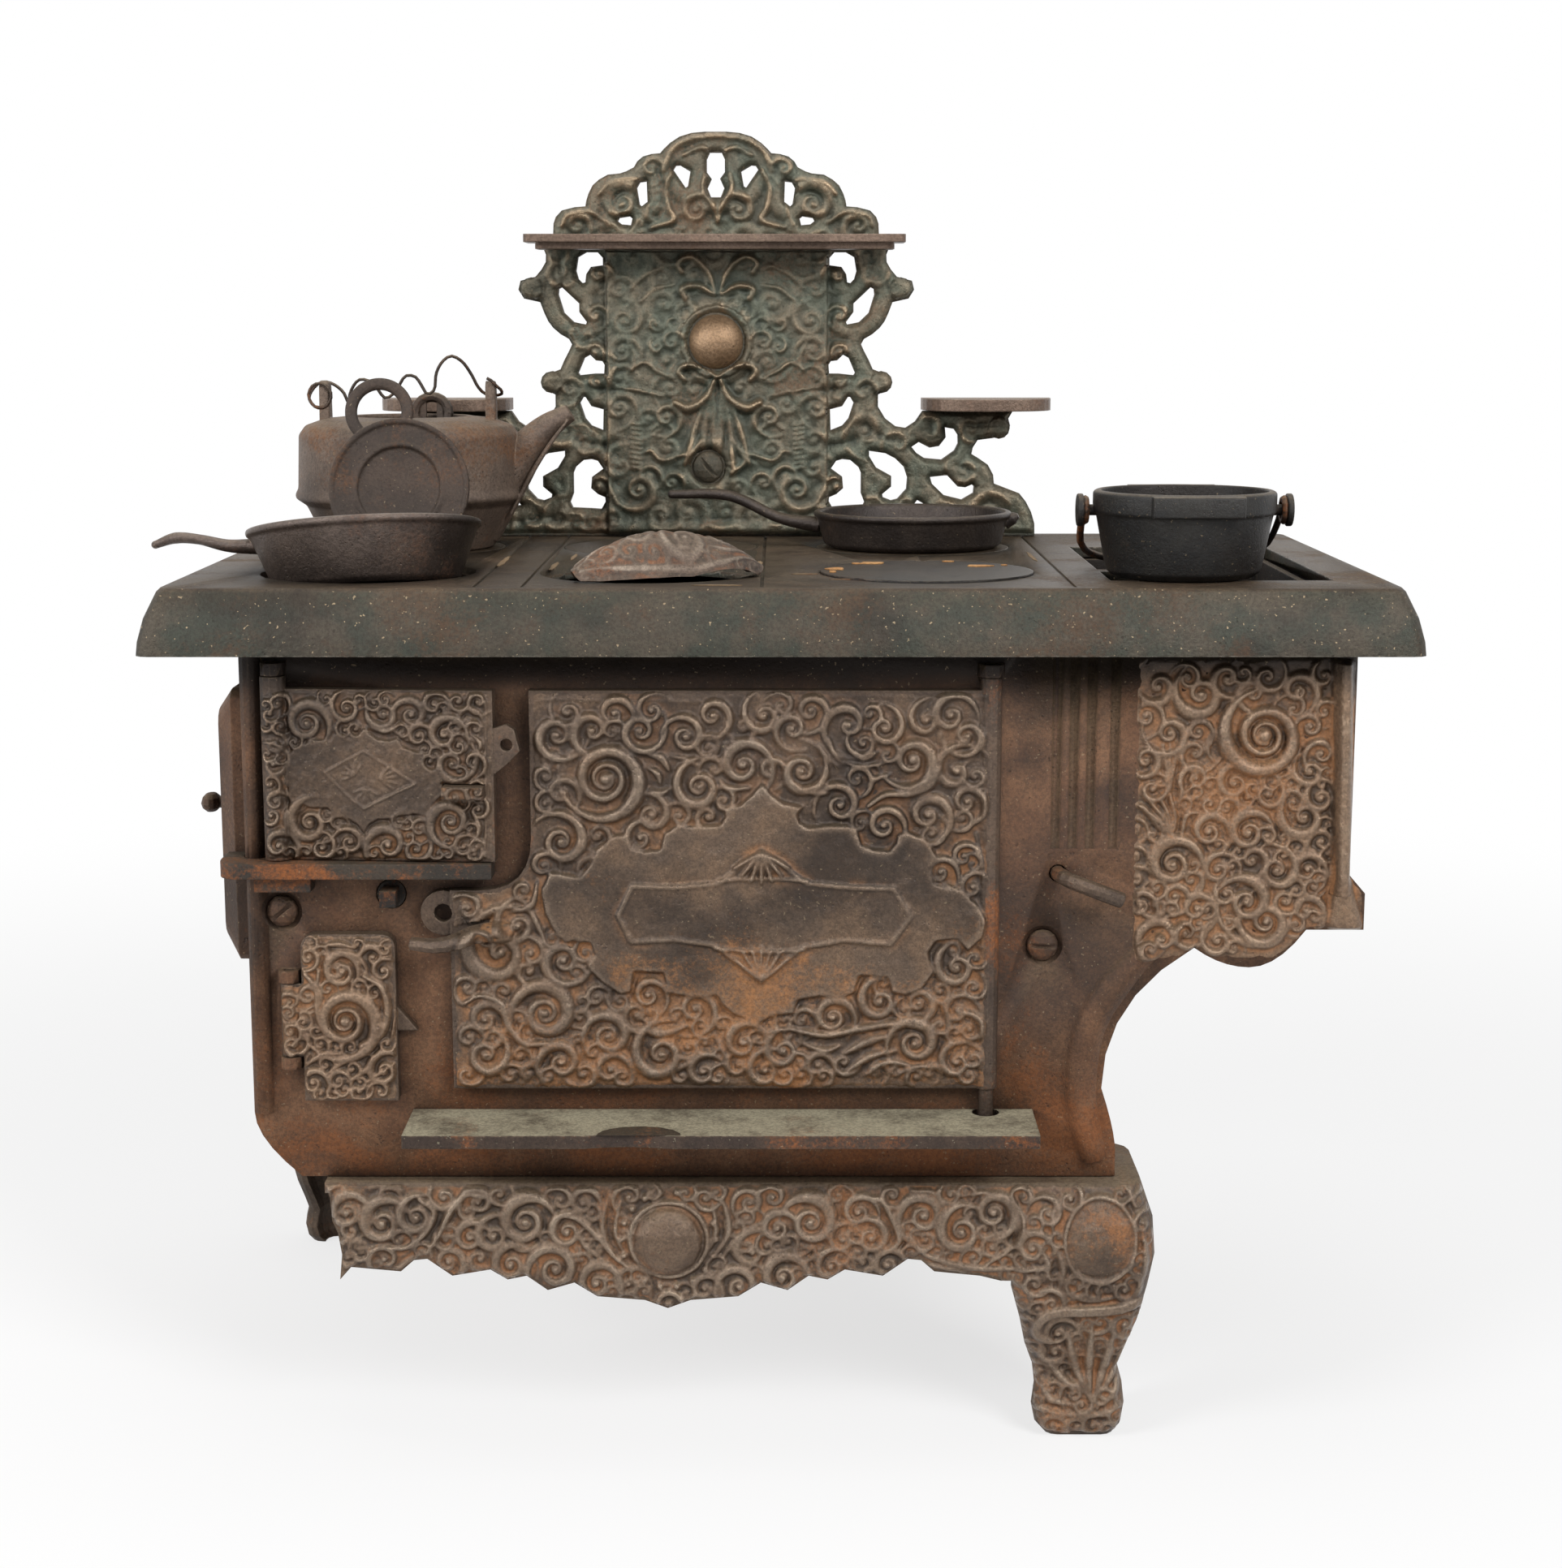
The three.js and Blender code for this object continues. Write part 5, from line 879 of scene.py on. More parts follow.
@dataclass(frozen=True)
class Fan:
    """Petals that spread from a root, in sketch units and degrees."""

    u: float
    v: float
    reach: float
    first: float
    last: float
    count: int
    wide: float = 1.1
    high: float = 1.3
    bend: float = 0.0

    def bands(self) -> list[Band]:
        """Give the petals.

        Returns:
            One band for each petal.
        """
        petals = []
        for angle in np.linspace(self.first, self.last, self.count):
            near, far = math.radians(angle), math.radians(angle + self.bend)
            petals.append(Band((
                (self.u, self.v),
                (self.u + self.reach * 0.5 * math.cos(near), self.v - self.reach * 0.5 * math.sin(near)),
                (self.u + self.reach * math.cos(far), self.v - self.reach * math.sin(far)),
            ), (self.wide * 0.25, self.wide * 0.8, self.wide, self.wide * 0.5), (self.high,)))
        return petals


@dataclass(frozen=True)
class Field:
    """A flat raised or sunk area with a crisp edge: corners in sketch units, sizes in millimetres."""

    corners: tuple[Pair, ...]
    high: float = 1.4
    edge: float = 0.7
    bead: float = 0.0


@dataclass(frozen=True)
class Dome:
    """A smooth round boss that keeps other ornament away: sketch units, with its height in millimetres."""

    u: float
    v: float
    across: float
    up: float
    high: float = 0.4
    ring: float = 0.0


Ornament = Band | Volute | Fan


@dataclass(frozen=True)
class Sketch:
    """The scale of a drawing of ornament: where its corner is in the picture, and its units in a pixel."""

    u: float
    v: float
    scale: float
    depth: float

    def pixel(self, u: float, v: float) -> Pair:
        """Turn a place in the sketch into picture pixels."""
        return self.u + u / self.scale, self.v + v / self.scale

    def place(self, points: np.ndarray) -> np.ndarray:
        """Turn places in the sketch into x and z."""
        return np.array([LENS.seen(*self.pixel(u, v), self.depth) for u, v in points])

    @property
    def unit(self) -> float:
        """Find the drawing's scale."""
        one, two = self.place(np.array([(0, 0), (100, 0)]))
        return abs(two[0] - one[0]) / 100


@dataclass(frozen=True)
class Flat(Sketch):
    """A drawing in millimetres, seen square on, with v counted downwards."""

    u: float = 0.0
    v: float = 0.0
    scale: float = 1.0
    depth: float = 0.0

    def place(self, points: np.ndarray) -> np.ndarray:
        """Turn places in the sketch into x and z."""
        return np.array(points, float) * (1, -1)

    @property
    def unit(self) -> float:
        """Find the drawing's scale."""
        return 1.0


def from_line(x: np.ndarray, z: np.ndarray, start: np.ndarray,
              end: np.ndarray) -> tuple[np.ndarray, np.ndarray]:
    """Measure points from a straight line's nearest place.

    Args:
        x: The points' places across.
        z: Their heights.
        start: Where the line starts.
        end: Where it ends.

    Returns:
        The share of the line at that place, and the distance from it.
    """
    (ax, az), (dx, dz) = start, end - start
    share = np.clip(((x - ax) * dx + (z - az) * dz) / max(dx ** 2 + dz ** 2, TINY), 0, 1)
    return share, np.hypot(x - ax - share * dx, z - az - share * dz)


BARE_GROUND = 0.25
TAKEN_GROUND = 0.3
WIDEST_GAP = 7
NARROWEST_GAP = 1.1
LARGEST_CURL = 6.5
THINNEST = 0.05
CREST_GAIN = 0.34
CAST_GAIN = 8


@dataclass
class Relief:
    """A thin cast sheet of ornament that covers the face of a node, as far as its frame reaches."""

    name: str
    node: str
    body: str
    left: float
    right: float
    bottom: float
    top: float
    finish: Finish
    parts: list[tuple[Sketch, tuple[Ornament | Field | Dome, ...]]]
    step: float = 0.5
    lift: float = 0.15
    nearest: float = -100.0
    farthest: float = 400.0
    softness: int = 1
    rough: float = 0.06
    gain: float = 1.3
    rounding: float = 0.0
    fills: int = 0
    fill_high: float = 1.7
    margin: float = 3.0
    holes: tuple[Triple, ...] = ()
    rim_cells: int = 4
    hem: float = 0.35
    skirt: float = 0.5
    steepest: float = 3.5
    smooth_passes: int = 30
    grid: tuple[np.ndarray, np.ndarray] = field(init=False, repr=False)

    @staticmethod
    def cross(solid: np.ndarray) -> np.ndarray:
        """Keep the cells of an area whose four neighbours are in it too."""
        near = solid & np.roll(solid, 1, 0) & np.roll(solid, -1, 0)
        return near & np.roll(solid, 1, 1) & np.roll(solid, -1, 1)

    def shape(self) -> np.ndarray:
        """Work out the ornament's height over the whole grid.

        Returns:
            Heights in millimetres, row by row.
        """
        xs, zs = self.grid
        height = np.zeros((len(zs), len(xs)))
        for sketch, ornaments in self.parts:
            unit = sketch.unit
            for item in ornaments:
                if isinstance(item, (Field, Dome)):
                    lay = self.lay_field if isinstance(item, Field) else self.lay_dome
                    lay(height, sketch, item)
                    continue
                for band in item.bands():
                    path = np.array(band.path, float)
                    if band.curved:
                        path = smoothed(list(band.path), max(12, 7 * len(band.path)))
                    wide = [-w * unit if w < 0 else w for w in band.wide]
                    self.lay_band(height, sketch.place(path), wide, band.high, band.form)
        return height

    def crowd(self, height: np.ndarray, there: np.ndarray) -> None:
        """Fill the bare ground with small curls, the largest gap first.

        Args:
            height: The grid's heights, which are changed.
            there: Where the node is.
        """
        xs, zs = self.grid
        random = np.random.default_rng(len(self.name))
        allowed = np.zeros(there.shape, bool)
        inset = max(int(self.margin / self.step), 1)
        inner = self.depths(there, inset) >= inset
        allowed[inset:-inset, inset:-inset] = inner[inset:-inset, inset:-inset]
        for _ in range(self.fills):
            far = self.depths(allowed & (height < BARE_GROUND), int(WIDEST_GAP / self.step))
            j, i = np.unravel_index(int(np.argmax(far)), far.shape)
            reach = far[j, i] * self.step
            if reach < NARROWEST_GAP:
                return
            radius = min(reach * 1.25 + 0.3, LARGEST_CURL)
            curl = Volute(float(xs[i]), -float(zs[j]), radius, float(random.uniform(0, 360)),
                          float(random.choice([-1, 1]) * random.uniform(1.0, 1.35)), high=self.fill_high)
            for band in curl.bands():
                path = np.array(band.path) * (1, -1)
                self.lay_band(height, path, [-wide for wide in band.wide], band.high, band.form)
            height[j, i] = max(height[j, i], TAKEN_GROUND)

    @staticmethod
    def depths(solid: np.ndarray, most: int) -> np.ndarray:
        """Count how many cells each cell of an area lies inside it.

        Args:
            solid: The area.
            most: Where to stop counting.

        Returns:
            The counts.
        """
        solid = np.pad(solid, 1)
        count = np.zeros(solid.shape)
        for turn in range(most):
            count += solid
            near = Relief.cross(solid)
            if turn % 2:
                near &= np.roll(np.roll(solid, 1, 0), 1, 1) & np.roll(np.roll(solid, -1, 0), -1, 1)
                near &= np.roll(np.roll(solid, -1, 0), 1, 1) & np.roll(np.roll(solid, 1, 0), -1, 1)
            solid = near
            if not solid.any():
                break
        return count[1:-1, 1:-1]

    def lay_band(self, height: np.ndarray, path: np.ndarray, wide: list[float], high: tuple,
                 form: Form) -> None:
        """Raise a band on the grid.

        Args:
            height: The grid's heights, which are changed.
            path: The band's middle line in millimetres.
            wide: Half widths along it.
            high: Heights along it.
            form: Its section.
        """
        xs, zs = self.grid
        margin = max(wide)
        i0, i1 = np.searchsorted(xs, [path[:, 0].min() - margin, path[:, 0].max() + margin])
        j0, j1 = np.searchsorted(zs, [path[:, 1].min() - margin, path[:, 1].max() + margin])
        if i1 <= i0 or j1 <= j0:
            return
        x, z = np.meshgrid(xs[i0:i1], zs[j0:j1])
        share = np.linspace(0, 1, len(path))
        widths = np.interp(share, np.linspace(0, 1, len(wide)), wide)
        heights = np.interp(share, np.linspace(0, 1, len(high)), high)
        patch = height[j0:j1, i0:i1]
        for k in range(len(path) - 1):
            (ax, az), (bx, bz) = path[k], path[k + 1]
            reach = max(widths[k], widths[k + 1])
            a0, a1 = np.searchsorted(xs[i0:i1], [min(ax, bx) - reach, max(ax, bx) + reach])
            c0, c1 = np.searchsorted(zs[j0:j1], [min(az, bz) - reach, max(az, bz) + reach])
            if a0 == a1 or c0 == c1:
                continue
            t, far = from_line(x[c0:c1, a0:a1], z[c0:c1, a0:a1], path[k], path[k + 1])
            width = np.maximum(widths[k] + (widths[k + 1] - widths[k]) * t, THINNEST)
            rise = form.rise(np.minimum(far / width, 1)) * (heights[k] + (heights[k + 1] - heights[k]) * t)
            patch[c0:c1, a0:a1] = np.maximum(patch[c0:c1, a0:a1], rise)

    def lay_field(self, height: np.ndarray, sketch: Sketch, item: Field) -> None:
        """Raise a flat area on the grid.

        Args:
            height: The grid's heights, which are changed.
            sketch: The sketch that it is drawn in.
            item: The area.
        """
        xs, zs = self.grid
        corners = sketch.place(np.array(item.corners, float))
        x, z = np.meshgrid(xs, zs)
        inside = np.zeros(x.shape, bool)
        far = np.full(x.shape, 1e9)
        for start, end in zip(corners, np.roll(corners, -1, axis=0)):
            (ax, az), (bx, bz) = start, end
            inside ^= ((az > z) != (bz > z)) & (x < (bx - ax) * (z - az) / (bz - az + 1e-12) + ax)
            far = np.minimum(far, from_line(x, z, start, end)[1])
        signed = np.where(inside, far, -far)
        level = np.clip(signed / item.edge + 0.5, 0, 1)
        np.maximum(height, level * item.high, out=height)
        if item.bead:
            rim = np.sqrt(np.clip(1 - ((signed - item.bead) / item.bead) ** 2, 0, 1))
            np.maximum(height, (item.high + item.bead * 0.55) * (rim > 0) * (0.55 + 0.45 * rim), out=height)

    def lay_dome(self, height: np.ndarray, sketch: Sketch, item: Dome) -> None:
        """Raise a smooth boss on the grid, with a bead round it.

        Args:
            height: The grid's heights, which are changed.
            sketch: The sketch that it is drawn in.
            item: The boss.
        """
        xs, zs = self.grid
        (x0, z0), = sketch.place(np.array([(item.u, item.v)]))
        x, z = np.meshgrid(xs, zs)
        half = np.array([item.across, item.up]) * sketch.unit
        share = np.hypot((x - x0) / half[0], (z - z0) / half[1])
        rise = item.high * np.sqrt(np.clip(1 - share ** 2, 0, 1)) + 0.3
        height[share < 1] = rise[share < 1]
        if item.ring:
            bead = 1 - ((share - 1) * half.mean() / item.ring - 1) ** 2
            np.maximum(height, 1.5 * np.sqrt(np.clip(bead, 0, 1)), out=height)

    @staticmethod
    def blurred(values: np.ndarray, times: int) -> np.ndarray:
        """Soften a grid of values.

        Args:
            values: The grid.
            times: How often each value takes the mean of its neighbours.

        Returns:
            The softened grid.
        """
        for _ in range(times):
            values = np.pad(values, 1, mode="edge")
            values = (values[:-2] + 2 * values[1:-1] + values[2:]) / 4
            values = (values[:, :-2] + 2 * values[:, 1:-1] + values[:, 2:]) / 4
        return values

    def rounded(self, there: np.ndarray, reach: float = 3.2) -> np.ndarray:
        """Round the section of pierced bars from how far each point is inside them.

        Args:
            there: Where the node is.
            reach: How far in the rounding goes, in millimetres.

        Returns:
            Heights in millimetres.
        """
        inside = self.depths(there, int(reach * 2.2 / self.step)) * self.step
        share = np.clip(1 - inside / reach, 0, 1)
        bar = np.sqrt(np.clip(1 - share ** 2, 0, 1))
        past = np.clip((inside - reach * 1.15) / reach, 0, 1)
        return self.rounding * bar * (1 - past * past * (3 - 2 * past)) * there

    def surface(self) -> np.ndarray:
        """Find the node's face behind every point of the grid.

        Returns:
            Its depth in millimetres, or nan where the node isn't there.
        """
        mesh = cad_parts[self.node].data
        tree = BVHTree.FromPolygons([v.co for v in mesh.vertices], [tuple(p.vertices) for p in mesh.polygons])
        xs, zs = self.grid
        depth = np.full((len(zs), len(xs)), np.nan)
        ahead = Vector((0, 1, 0))
        for j, z in enumerate(zs):
            for i, x in enumerate(xs):
                start = at(x, self.nearest, z)
                hit = tree.ray_cast(start, ahead, (self.farthest - self.nearest) * MM)[0]
                if hit is not None:
                    depth[j, i] = (hit.y - ORIGIN.y) / MM
        return depth

    def build(self, dresser: Dresser) -> bpy.types.Object:
        """Make the sheet.

        Args:
            dresser: Gives it its finish.

        Returns:
            The object.
        """
        nx = int(round((self.right - self.left) / self.step))
        nz = int(round((self.top - self.bottom) / self.step))
        self.grid = (np.linspace(self.left, self.right, nx + 1), np.linspace(self.bottom, self.top, nz + 1))
        depth = self.surface()
        there = ~np.isnan(depth)
        x, z = np.meshgrid(*self.grid)
        for x0, z0, radius in self.holes:
            there &= np.hypot(x - x0, z - z0) > radius
        rim = np.zeros(depth.shape)
        solid = there.copy()
        solid[0, :] = solid[-1, :] = solid[:, 0] = solid[:, -1] = False
        for _ in range(self.rim_cells):
            rim += solid
            solid = self.cross(solid)
        fade = rim / self.rim_cells
        height = self.shape()
        if self.fills:
            self.crowd(height, there)
        height = self.blurred(height * self.gain + self.rounded(there), self.softness)
        crest = np.clip(0.5 + (height - self.blurred(height, self.smooth_passes)) * CREST_GAIN, 0, 1)
        uneven = self.blurred(np.random.default_rng(7).normal(size=height.shape), 6)
        height = height + uneven * self.rough * CAST_GAIN + self.lift
        height = height * fade - self.hem * (1 - fade)
        return self.skin(depth, there, height, crest, dresser)

    def skin(self, depth: np.ndarray, there: np.ndarray, height: np.ndarray, crest: np.ndarray,
             dresser: Dresser) -> bpy.types.Object:
        """Make the sheet's mesh from its heights.

        Args:
            depth: The node's face.
            there: Where the node is.
            height: The ornament's height over that face.
            crest: How far each point stands over what is round it.
            dresser: Gives the sheet its finish.

        Returns:
            The object.
        """
        xs, zs = self.grid
        mesh_data = bmesh.new()
        bmesh.ops.create_grid(mesh_data, x_segments=len(xs) - 1, y_segments=len(zs) - 1, size=0.5)
        layer = mesh_data.verts.layers.float.new("crest")
        gone = []
        for vert in mesh_data.verts:
            i = round((vert.co.x + 0.5) * (len(xs) - 1))
            j = round((vert.co.y + 0.5) * (len(zs) - 1))
            if not there[j, i]:
                gone.append(vert)
                continue
            vert[layer] = crest[j, i]
            vert.co = at(xs[i], depth[j, i] - height[j, i], zs[j])
        bmesh.ops.delete(mesh_data, geom=gone, context="VERTS")
        steep = [face for face in mesh_data.faces
                 if max(v.co.y for v in face.verts) - min(v.co.y for v in face.verts) > self.steepest * MM]
        bmesh.ops.delete(mesh_data, geom=steep, context="FACES")
        loose = [vert for vert in mesh_data.verts if not vert.link_faces]
        bmesh.ops.delete(mesh_data, geom=loose, context="VERTS")
        border = [edge for edge in mesh_data.edges if edge.is_boundary]
        new = bmesh.ops.extrude_edge_only(mesh_data, edges=border)["geom"]
        moved = [item for item in new if isinstance(item, bmesh.types.BMVert)]
        bmesh.ops.translate(mesh_data, vec=(0, self.skirt * MM, 0), verts=moved)
        bmesh.ops.recalc_face_normals(mesh_data, faces=mesh_data.faces)
        if sum(face.normal.y for face in mesh_data.faces) > 0:
            bmesh.ops.reverse_faces(mesh_data, faces=mesh_data.faces)
        piece = finished(self.name, mesh_data)
        dresser.dress(piece, self.finish)
        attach(piece, self.body)
        return piece


# Drawings of the ornament

UPPER_DOOR = Sketch(640, 840, 2.529, 9)
LOWER_DOOR = Sketch(500, 1080, 2.0632, 9)
PICTURE = Sketch(0, 0, 1, 9)
LEFT_DOORS = Sketch(260, 800, 3.5636, 9)
LOW_LEFT = Sketch(280, 1180, 2.529, 8)
LOW_RIGHT = Sketch(850, 1180, 2.529, 8)
KNEE = Sketch(850, 1180, 2.529, 4)
TANK_FRONT = Sketch(1180, 800, 3.0154, 12)
BACK = Sketch(600, 140, 2.1778, 192)


def mirrored(middle: float, ornaments: tuple[Ornament, ...]) -> tuple[Ornament, ...]:
    """Give ornaments and their mirror images.

    Args:
        middle: The mirror's place across the sketch.
        ornaments: The ornaments on one side.

    Returns:
        Both sides.
    """
    other = []
    for item in ornaments:
        if isinstance(item, Volute):
            other.append(replace(item, u=2 * middle - item.u, start=180 - item.start, turns=-item.turns))
        elif isinstance(item, Fan):
            other.append(replace(item, u=2 * middle - item.u, first=180 - item.first, last=180 - item.last,
                                 bend=-item.bend))
        else:
            other.append(replace(item, path=tuple((2 * middle - u, v) for u, v in item.path)))
    return (*ornaments, *other)


def scrolls(*rows: tuple[float, ...]) -> tuple[Volute, ...]:
    """Draw scrolls.

    Args:
        *rows: For each its u, v, radius, start, turns and height, and its tail and fat where they aren't the
            usual ones.

    Returns:
        The scrolls.
    """
    return tuple(Volute(*row) for row in rows)


def leaves(*rows: tuple[float, ...]) -> tuple[Band, ...]:
    """Draw leaves that are widest past their middle.

    Args:
        *rows: For each the u and v of the places along it, then its greatest half width and its height.

    Returns:
        A band for each leaf.
    """
    made = []
    for *places, wide, high in rows:
        path = tuple(zip(places[::2], places[1::2]))
        widths = (wide * 0.15, wide * 0.7, wide, wide * 0.75, wide * 0.2)
        made.append(Band(path, widths, (high * 0.6, high, high * 0.8)))
    return tuple(made)


def cord_line(*path: Pair, wide: float = 0.45, high: float = 1.0) -> Band:
    """Draw a thin raised line.

    Args:
        *path: Its middle line.
        wide: Its half width.
        high: Its height.

    Returns:
        The band.
    """
    return Band(path, (wide, wide), (high,))


CARTOUCHE_TOP = (
    (75, 640), (95, 590), (190, 605), (225, 560), (245, 515), (300, 475), (335, 475), (350, 515), (390, 525),
    (440, 520), (452, 470), (490, 445), (560, 447), (625, 445), (642, 420), (640, 395), (690, 380),
    (725, 350), (755, 315), (785, 350), (820, 375), (880, 388), (862, 410), (870, 435), (900, 452),
    (960, 445), (1020, 445), (1050, 460), (1065, 505), (1100, 520), (1150, 525), (1172, 500), (1180, 472),
    (1210, 465), (1250, 482), (1280, 510), (1300, 545), (1270, 580), (1290, 625), (1340, 640),
)
CARTOUCHE_LOW = (
    (1345, 5), (1410, 30), (1455, 75), (1472, 110), (1460, 155), (1428, 185), (1400, 155), (1345, 160),
    (1325, 190), (1340, 240), (1310, 280), (1270, 298), (1235, 290), (1225, 250), (1150, 248),
    (1140, 290), (1110, 305), (1050, 300), (995, 310), (985, 345), (935, 348), (905, 365), (887, 385),
    (870, 360), (830, 345), (803, 320), (790, 298), (765, 298), (700, 300), (665, 290), (655, 240),
    (580, 238), (572, 290), (545, 295), (500, 265), (460, 225), (482, 195), (470, 165), (430, 160),
    (405, 165), (375, 130), (355, 90), (345, 40), (350, 5),
)
CARTOUCHE = tuple(UPPER_DOOR.pixel(*place) for place in CARTOUCHE_TOP)
CARTOUCHE += tuple(LOWER_DOOR.pixel(*place) for place in CARTOUCHE_LOW)

OVEN_DOOR_FIELD = (
    Field(CARTOUCHE, high=1.7, edge=0.9, bead=0.4),
    Field(((758, 1126), (777, 1086), (830, 1088), (885, 1083), (938, 1041), (995, 1083), (1050, 1088),
           (1102, 1089), (1126, 1128), (1098, 1165), (1040, 1160), (990, 1168), (938, 1211), (880, 1166),
           (830, 1159), (776, 1162)),
          high=2.0, edge=0.5, bead=1.0),
    Fan(938, 1046, 40, 212, 328, 7, wide=1.0, high=3.9),
    Fan(938, 1207, 42, 42, 138, 7, wide=0.95, high=3.6),
    cord_line((885, 1083), (938, 1080), (995, 1083), wide=0.6, high=3.2),
    cord_line((880, 1166), (938, 1170), (990, 1168), wide=0.6, high=3.2),
)
OVEN_DOOR_TOP = (
    *scrolls(
        (268, 300, 118, 290, 2.3, 2.4, 0.35, 0.26), (118, 165, 62, 215, -1.3, 1.9),
        (228, 150, 62, 200, -1.2, 1.9), (377, 152, 58, 250, -1.5, 2.0), (516, 168, 54, 60, -1.5, 1.9),
        (130, 345, 46, 60, 1.2, 1.6), (130, 495, 72, 30, -1.5, 2.2, 0.4), (410, 412, 52, 20, -1.4, 1.8),
        (560, 325, 66, 200, 1.6, 2.1), (697, 258, 72, 75, 1.4, 2.0, 0.4), (700, 142, 38, 300, 1.2, 1.4),
        (782, 275, 38, 60, 1.2, 1.6), (850, 146, 46, 150, -1.3, 1.8), (880, 277, 62, 290, -1.6, 2.1, 0.45),
        (1050, 300, 42, 20, 1.2, 1.7), (1135, 142, 50, 330, -1.4, 1.9, 0.4),
        (1222, 243, 78, 300, 1.5, 2.3, 0.3), (1268, 118, 44, 200, 1.2, 1.6), (1392, 168, 50, 320, 1.3, 1.8),
        (1392, 372, 52, 20, 1.3, 1.8), (1382, 542, 38, 80, 1.2, 2.0), (1310, 592, 46, 60, 1.3, 1.9),
        (996, 382, 58, 80, -1.5, 2.0), (1135, 446, 54, 60, 1.4, 2.0), (215, 590, 50, 60, 1.1, 1.6),
        (95, 250, 30, 90, 1.1, 1.2), (165, 232, 16, 90, 1, 1.4),
    ),
    *leaves(
        (1120, 215, 1070, 235, 1030, 205, 1.8, 1.5), (1150, 250, 1070, 262, 1010, 250, 1.2, 1.5),
        (1160, 285, 1110, 300, 1080, 325, 1.2, 1.5), (1000, 270, 950, 225, 930, 185, 1.3, 1.5),
        (1010, 260, 975, 215, 965, 170, 1.2, 1.5), (390, 225, 440, 235, 470, 280, 1.7, 1.5),
        (395, 265, 430, 285, 440, 320, 1.4, 1.5), (400, 330, 440, 345, 470, 330, 1.2, 1.5),
        (960, 300, 940, 310, 985, 325, 0.9, 1.5), (620, 300, 650, 330, 720, 330, 1.3, 1.5),
        (460, 230, 520, 240, 560, 265, 1.0, 1.2), (600, 160, 620, 200, 600, 240, 1.0, 1.1),
    ),
    Band(((1085, 385), (1140, 350), (1215, 345), (1275, 320), (1300, 270)), (0.7, 1.6, 2.0), (1.9,)),
    Band(((960, 345), (930, 345), (880, 335)), (0.5, 1.2, 1.3), (1.8,)),
    cord_line((1420, 470), (1440, 560), (1440, 630), wide=0.5, high=0.9),
    cord_line((1470, 60), (1472, 330), wide=0.6, high=0.8),
    cord_line((60, 60), (130, 55), (600, 62), high=0.5),
)
OVEN_DOOR_LOW = (
    *scrolls(
        (240, 190, 82, 175, 1.2, 2.2, 0.35), (402, 212, 52, 230, -1.5, 2.0, 0.45),
        (355, 345, 72, 100, -1.9, 2.3, 0.4), (203, 362, 44, 60, 1.4, 1.9, 0.5),
        (205, 450, 50, 330, -1.4, 2.1, 0.4), (395, 470, 54, 150, -1.5, 2.1, 0.3),
        (515, 402, 56, 120, -1.8, 2.1, 0.3), (485, 305, 28, 90, 1.3, 1.6), (617, 300, 40, 60, 1.4, 1.9),
        (650, 448, 62, 190, 1.5, 2.2, 0.4), (757, 494, 40, 120, 1.3, 1.8), (735, 335, 48, 20, 1.3, 1.9, 0.4),
        (858, 420, 50, 90, 1.3, 2.2), (915, 490, 44, 150, 1.3, 1.9), (960, 440, 46, 150, 1.5, 1.9, 0.3),
        (1085, 355, 52, 30, 1.6, 2.2, 0.25), (1205, 315, 50, 160, 1.4, 2.1, 0.4),
        (1292, 420, 58, 110, -1.7, 2.3, 0.35), (1400, 228, 48, 190, 1.4, 2.0), (1402, 340, 36, 120, 1.2, 1.7),
        (1400, 470, 42, 150, 1.3, 1.7), (520, 490, 44, 60, 1.2, 1.8), (310, 500, 26, 60, 1.1, 1.4),
        (435, 415, 18, 60, 1.1, 1.4), (1045, 480, 34, 60, 1.2, 1.6), (1250, 495, 22, 60, 1.1, 1.3),
        (1330, 495, 22, 60, 1.1, 1.3), (1195, 495, 24, 60, 1.1, 1.3),
    ),
    *leaves(
        (1250, 400, 1180, 415, 1110, 450, 1.8, 1.5), (1250, 440, 1180, 455, 1110, 500, 1.6, 1.5),
        (1300, 480, 1220, 470, 1165, 505, 1.3, 1.5), (1360, 490, 1300, 480, 1250, 500, 1.1, 1.5),
        (1000, 420, 1060, 440, 1100, 430, 1.3, 1.5), (590, 380, 650, 395, 720, 375, 2.2, 1.7),
        (300, 60, 330, 110, 360, 170, 1.4, 1.5), (265, 90, 320, 70, 335, 10, 1.4, 1.8),
        (785, 400, 810, 450, 830, 500, 1.2, 1.5), (440, 330, 470, 350, 460, 400, 1.2, 1.5),
        (680, 500, 720, 470, 770, 440, 1.3, 1.5), (1330, 300, 1370, 330, 1380, 400, 1.4, 1.5),
    ),
    Band(((150, 320), (190, 300), (245, 320), (260, 370), (300, 420), (360, 420)), (0.6, 1.6, 1.2), (1.9,)),
    Band(((920, 390), (980, 385), (1060, 400), (1150, 385), (1250, 370), (1330, 385)), (0.6, 1.4, 1.5),
         (1.9,)),
)

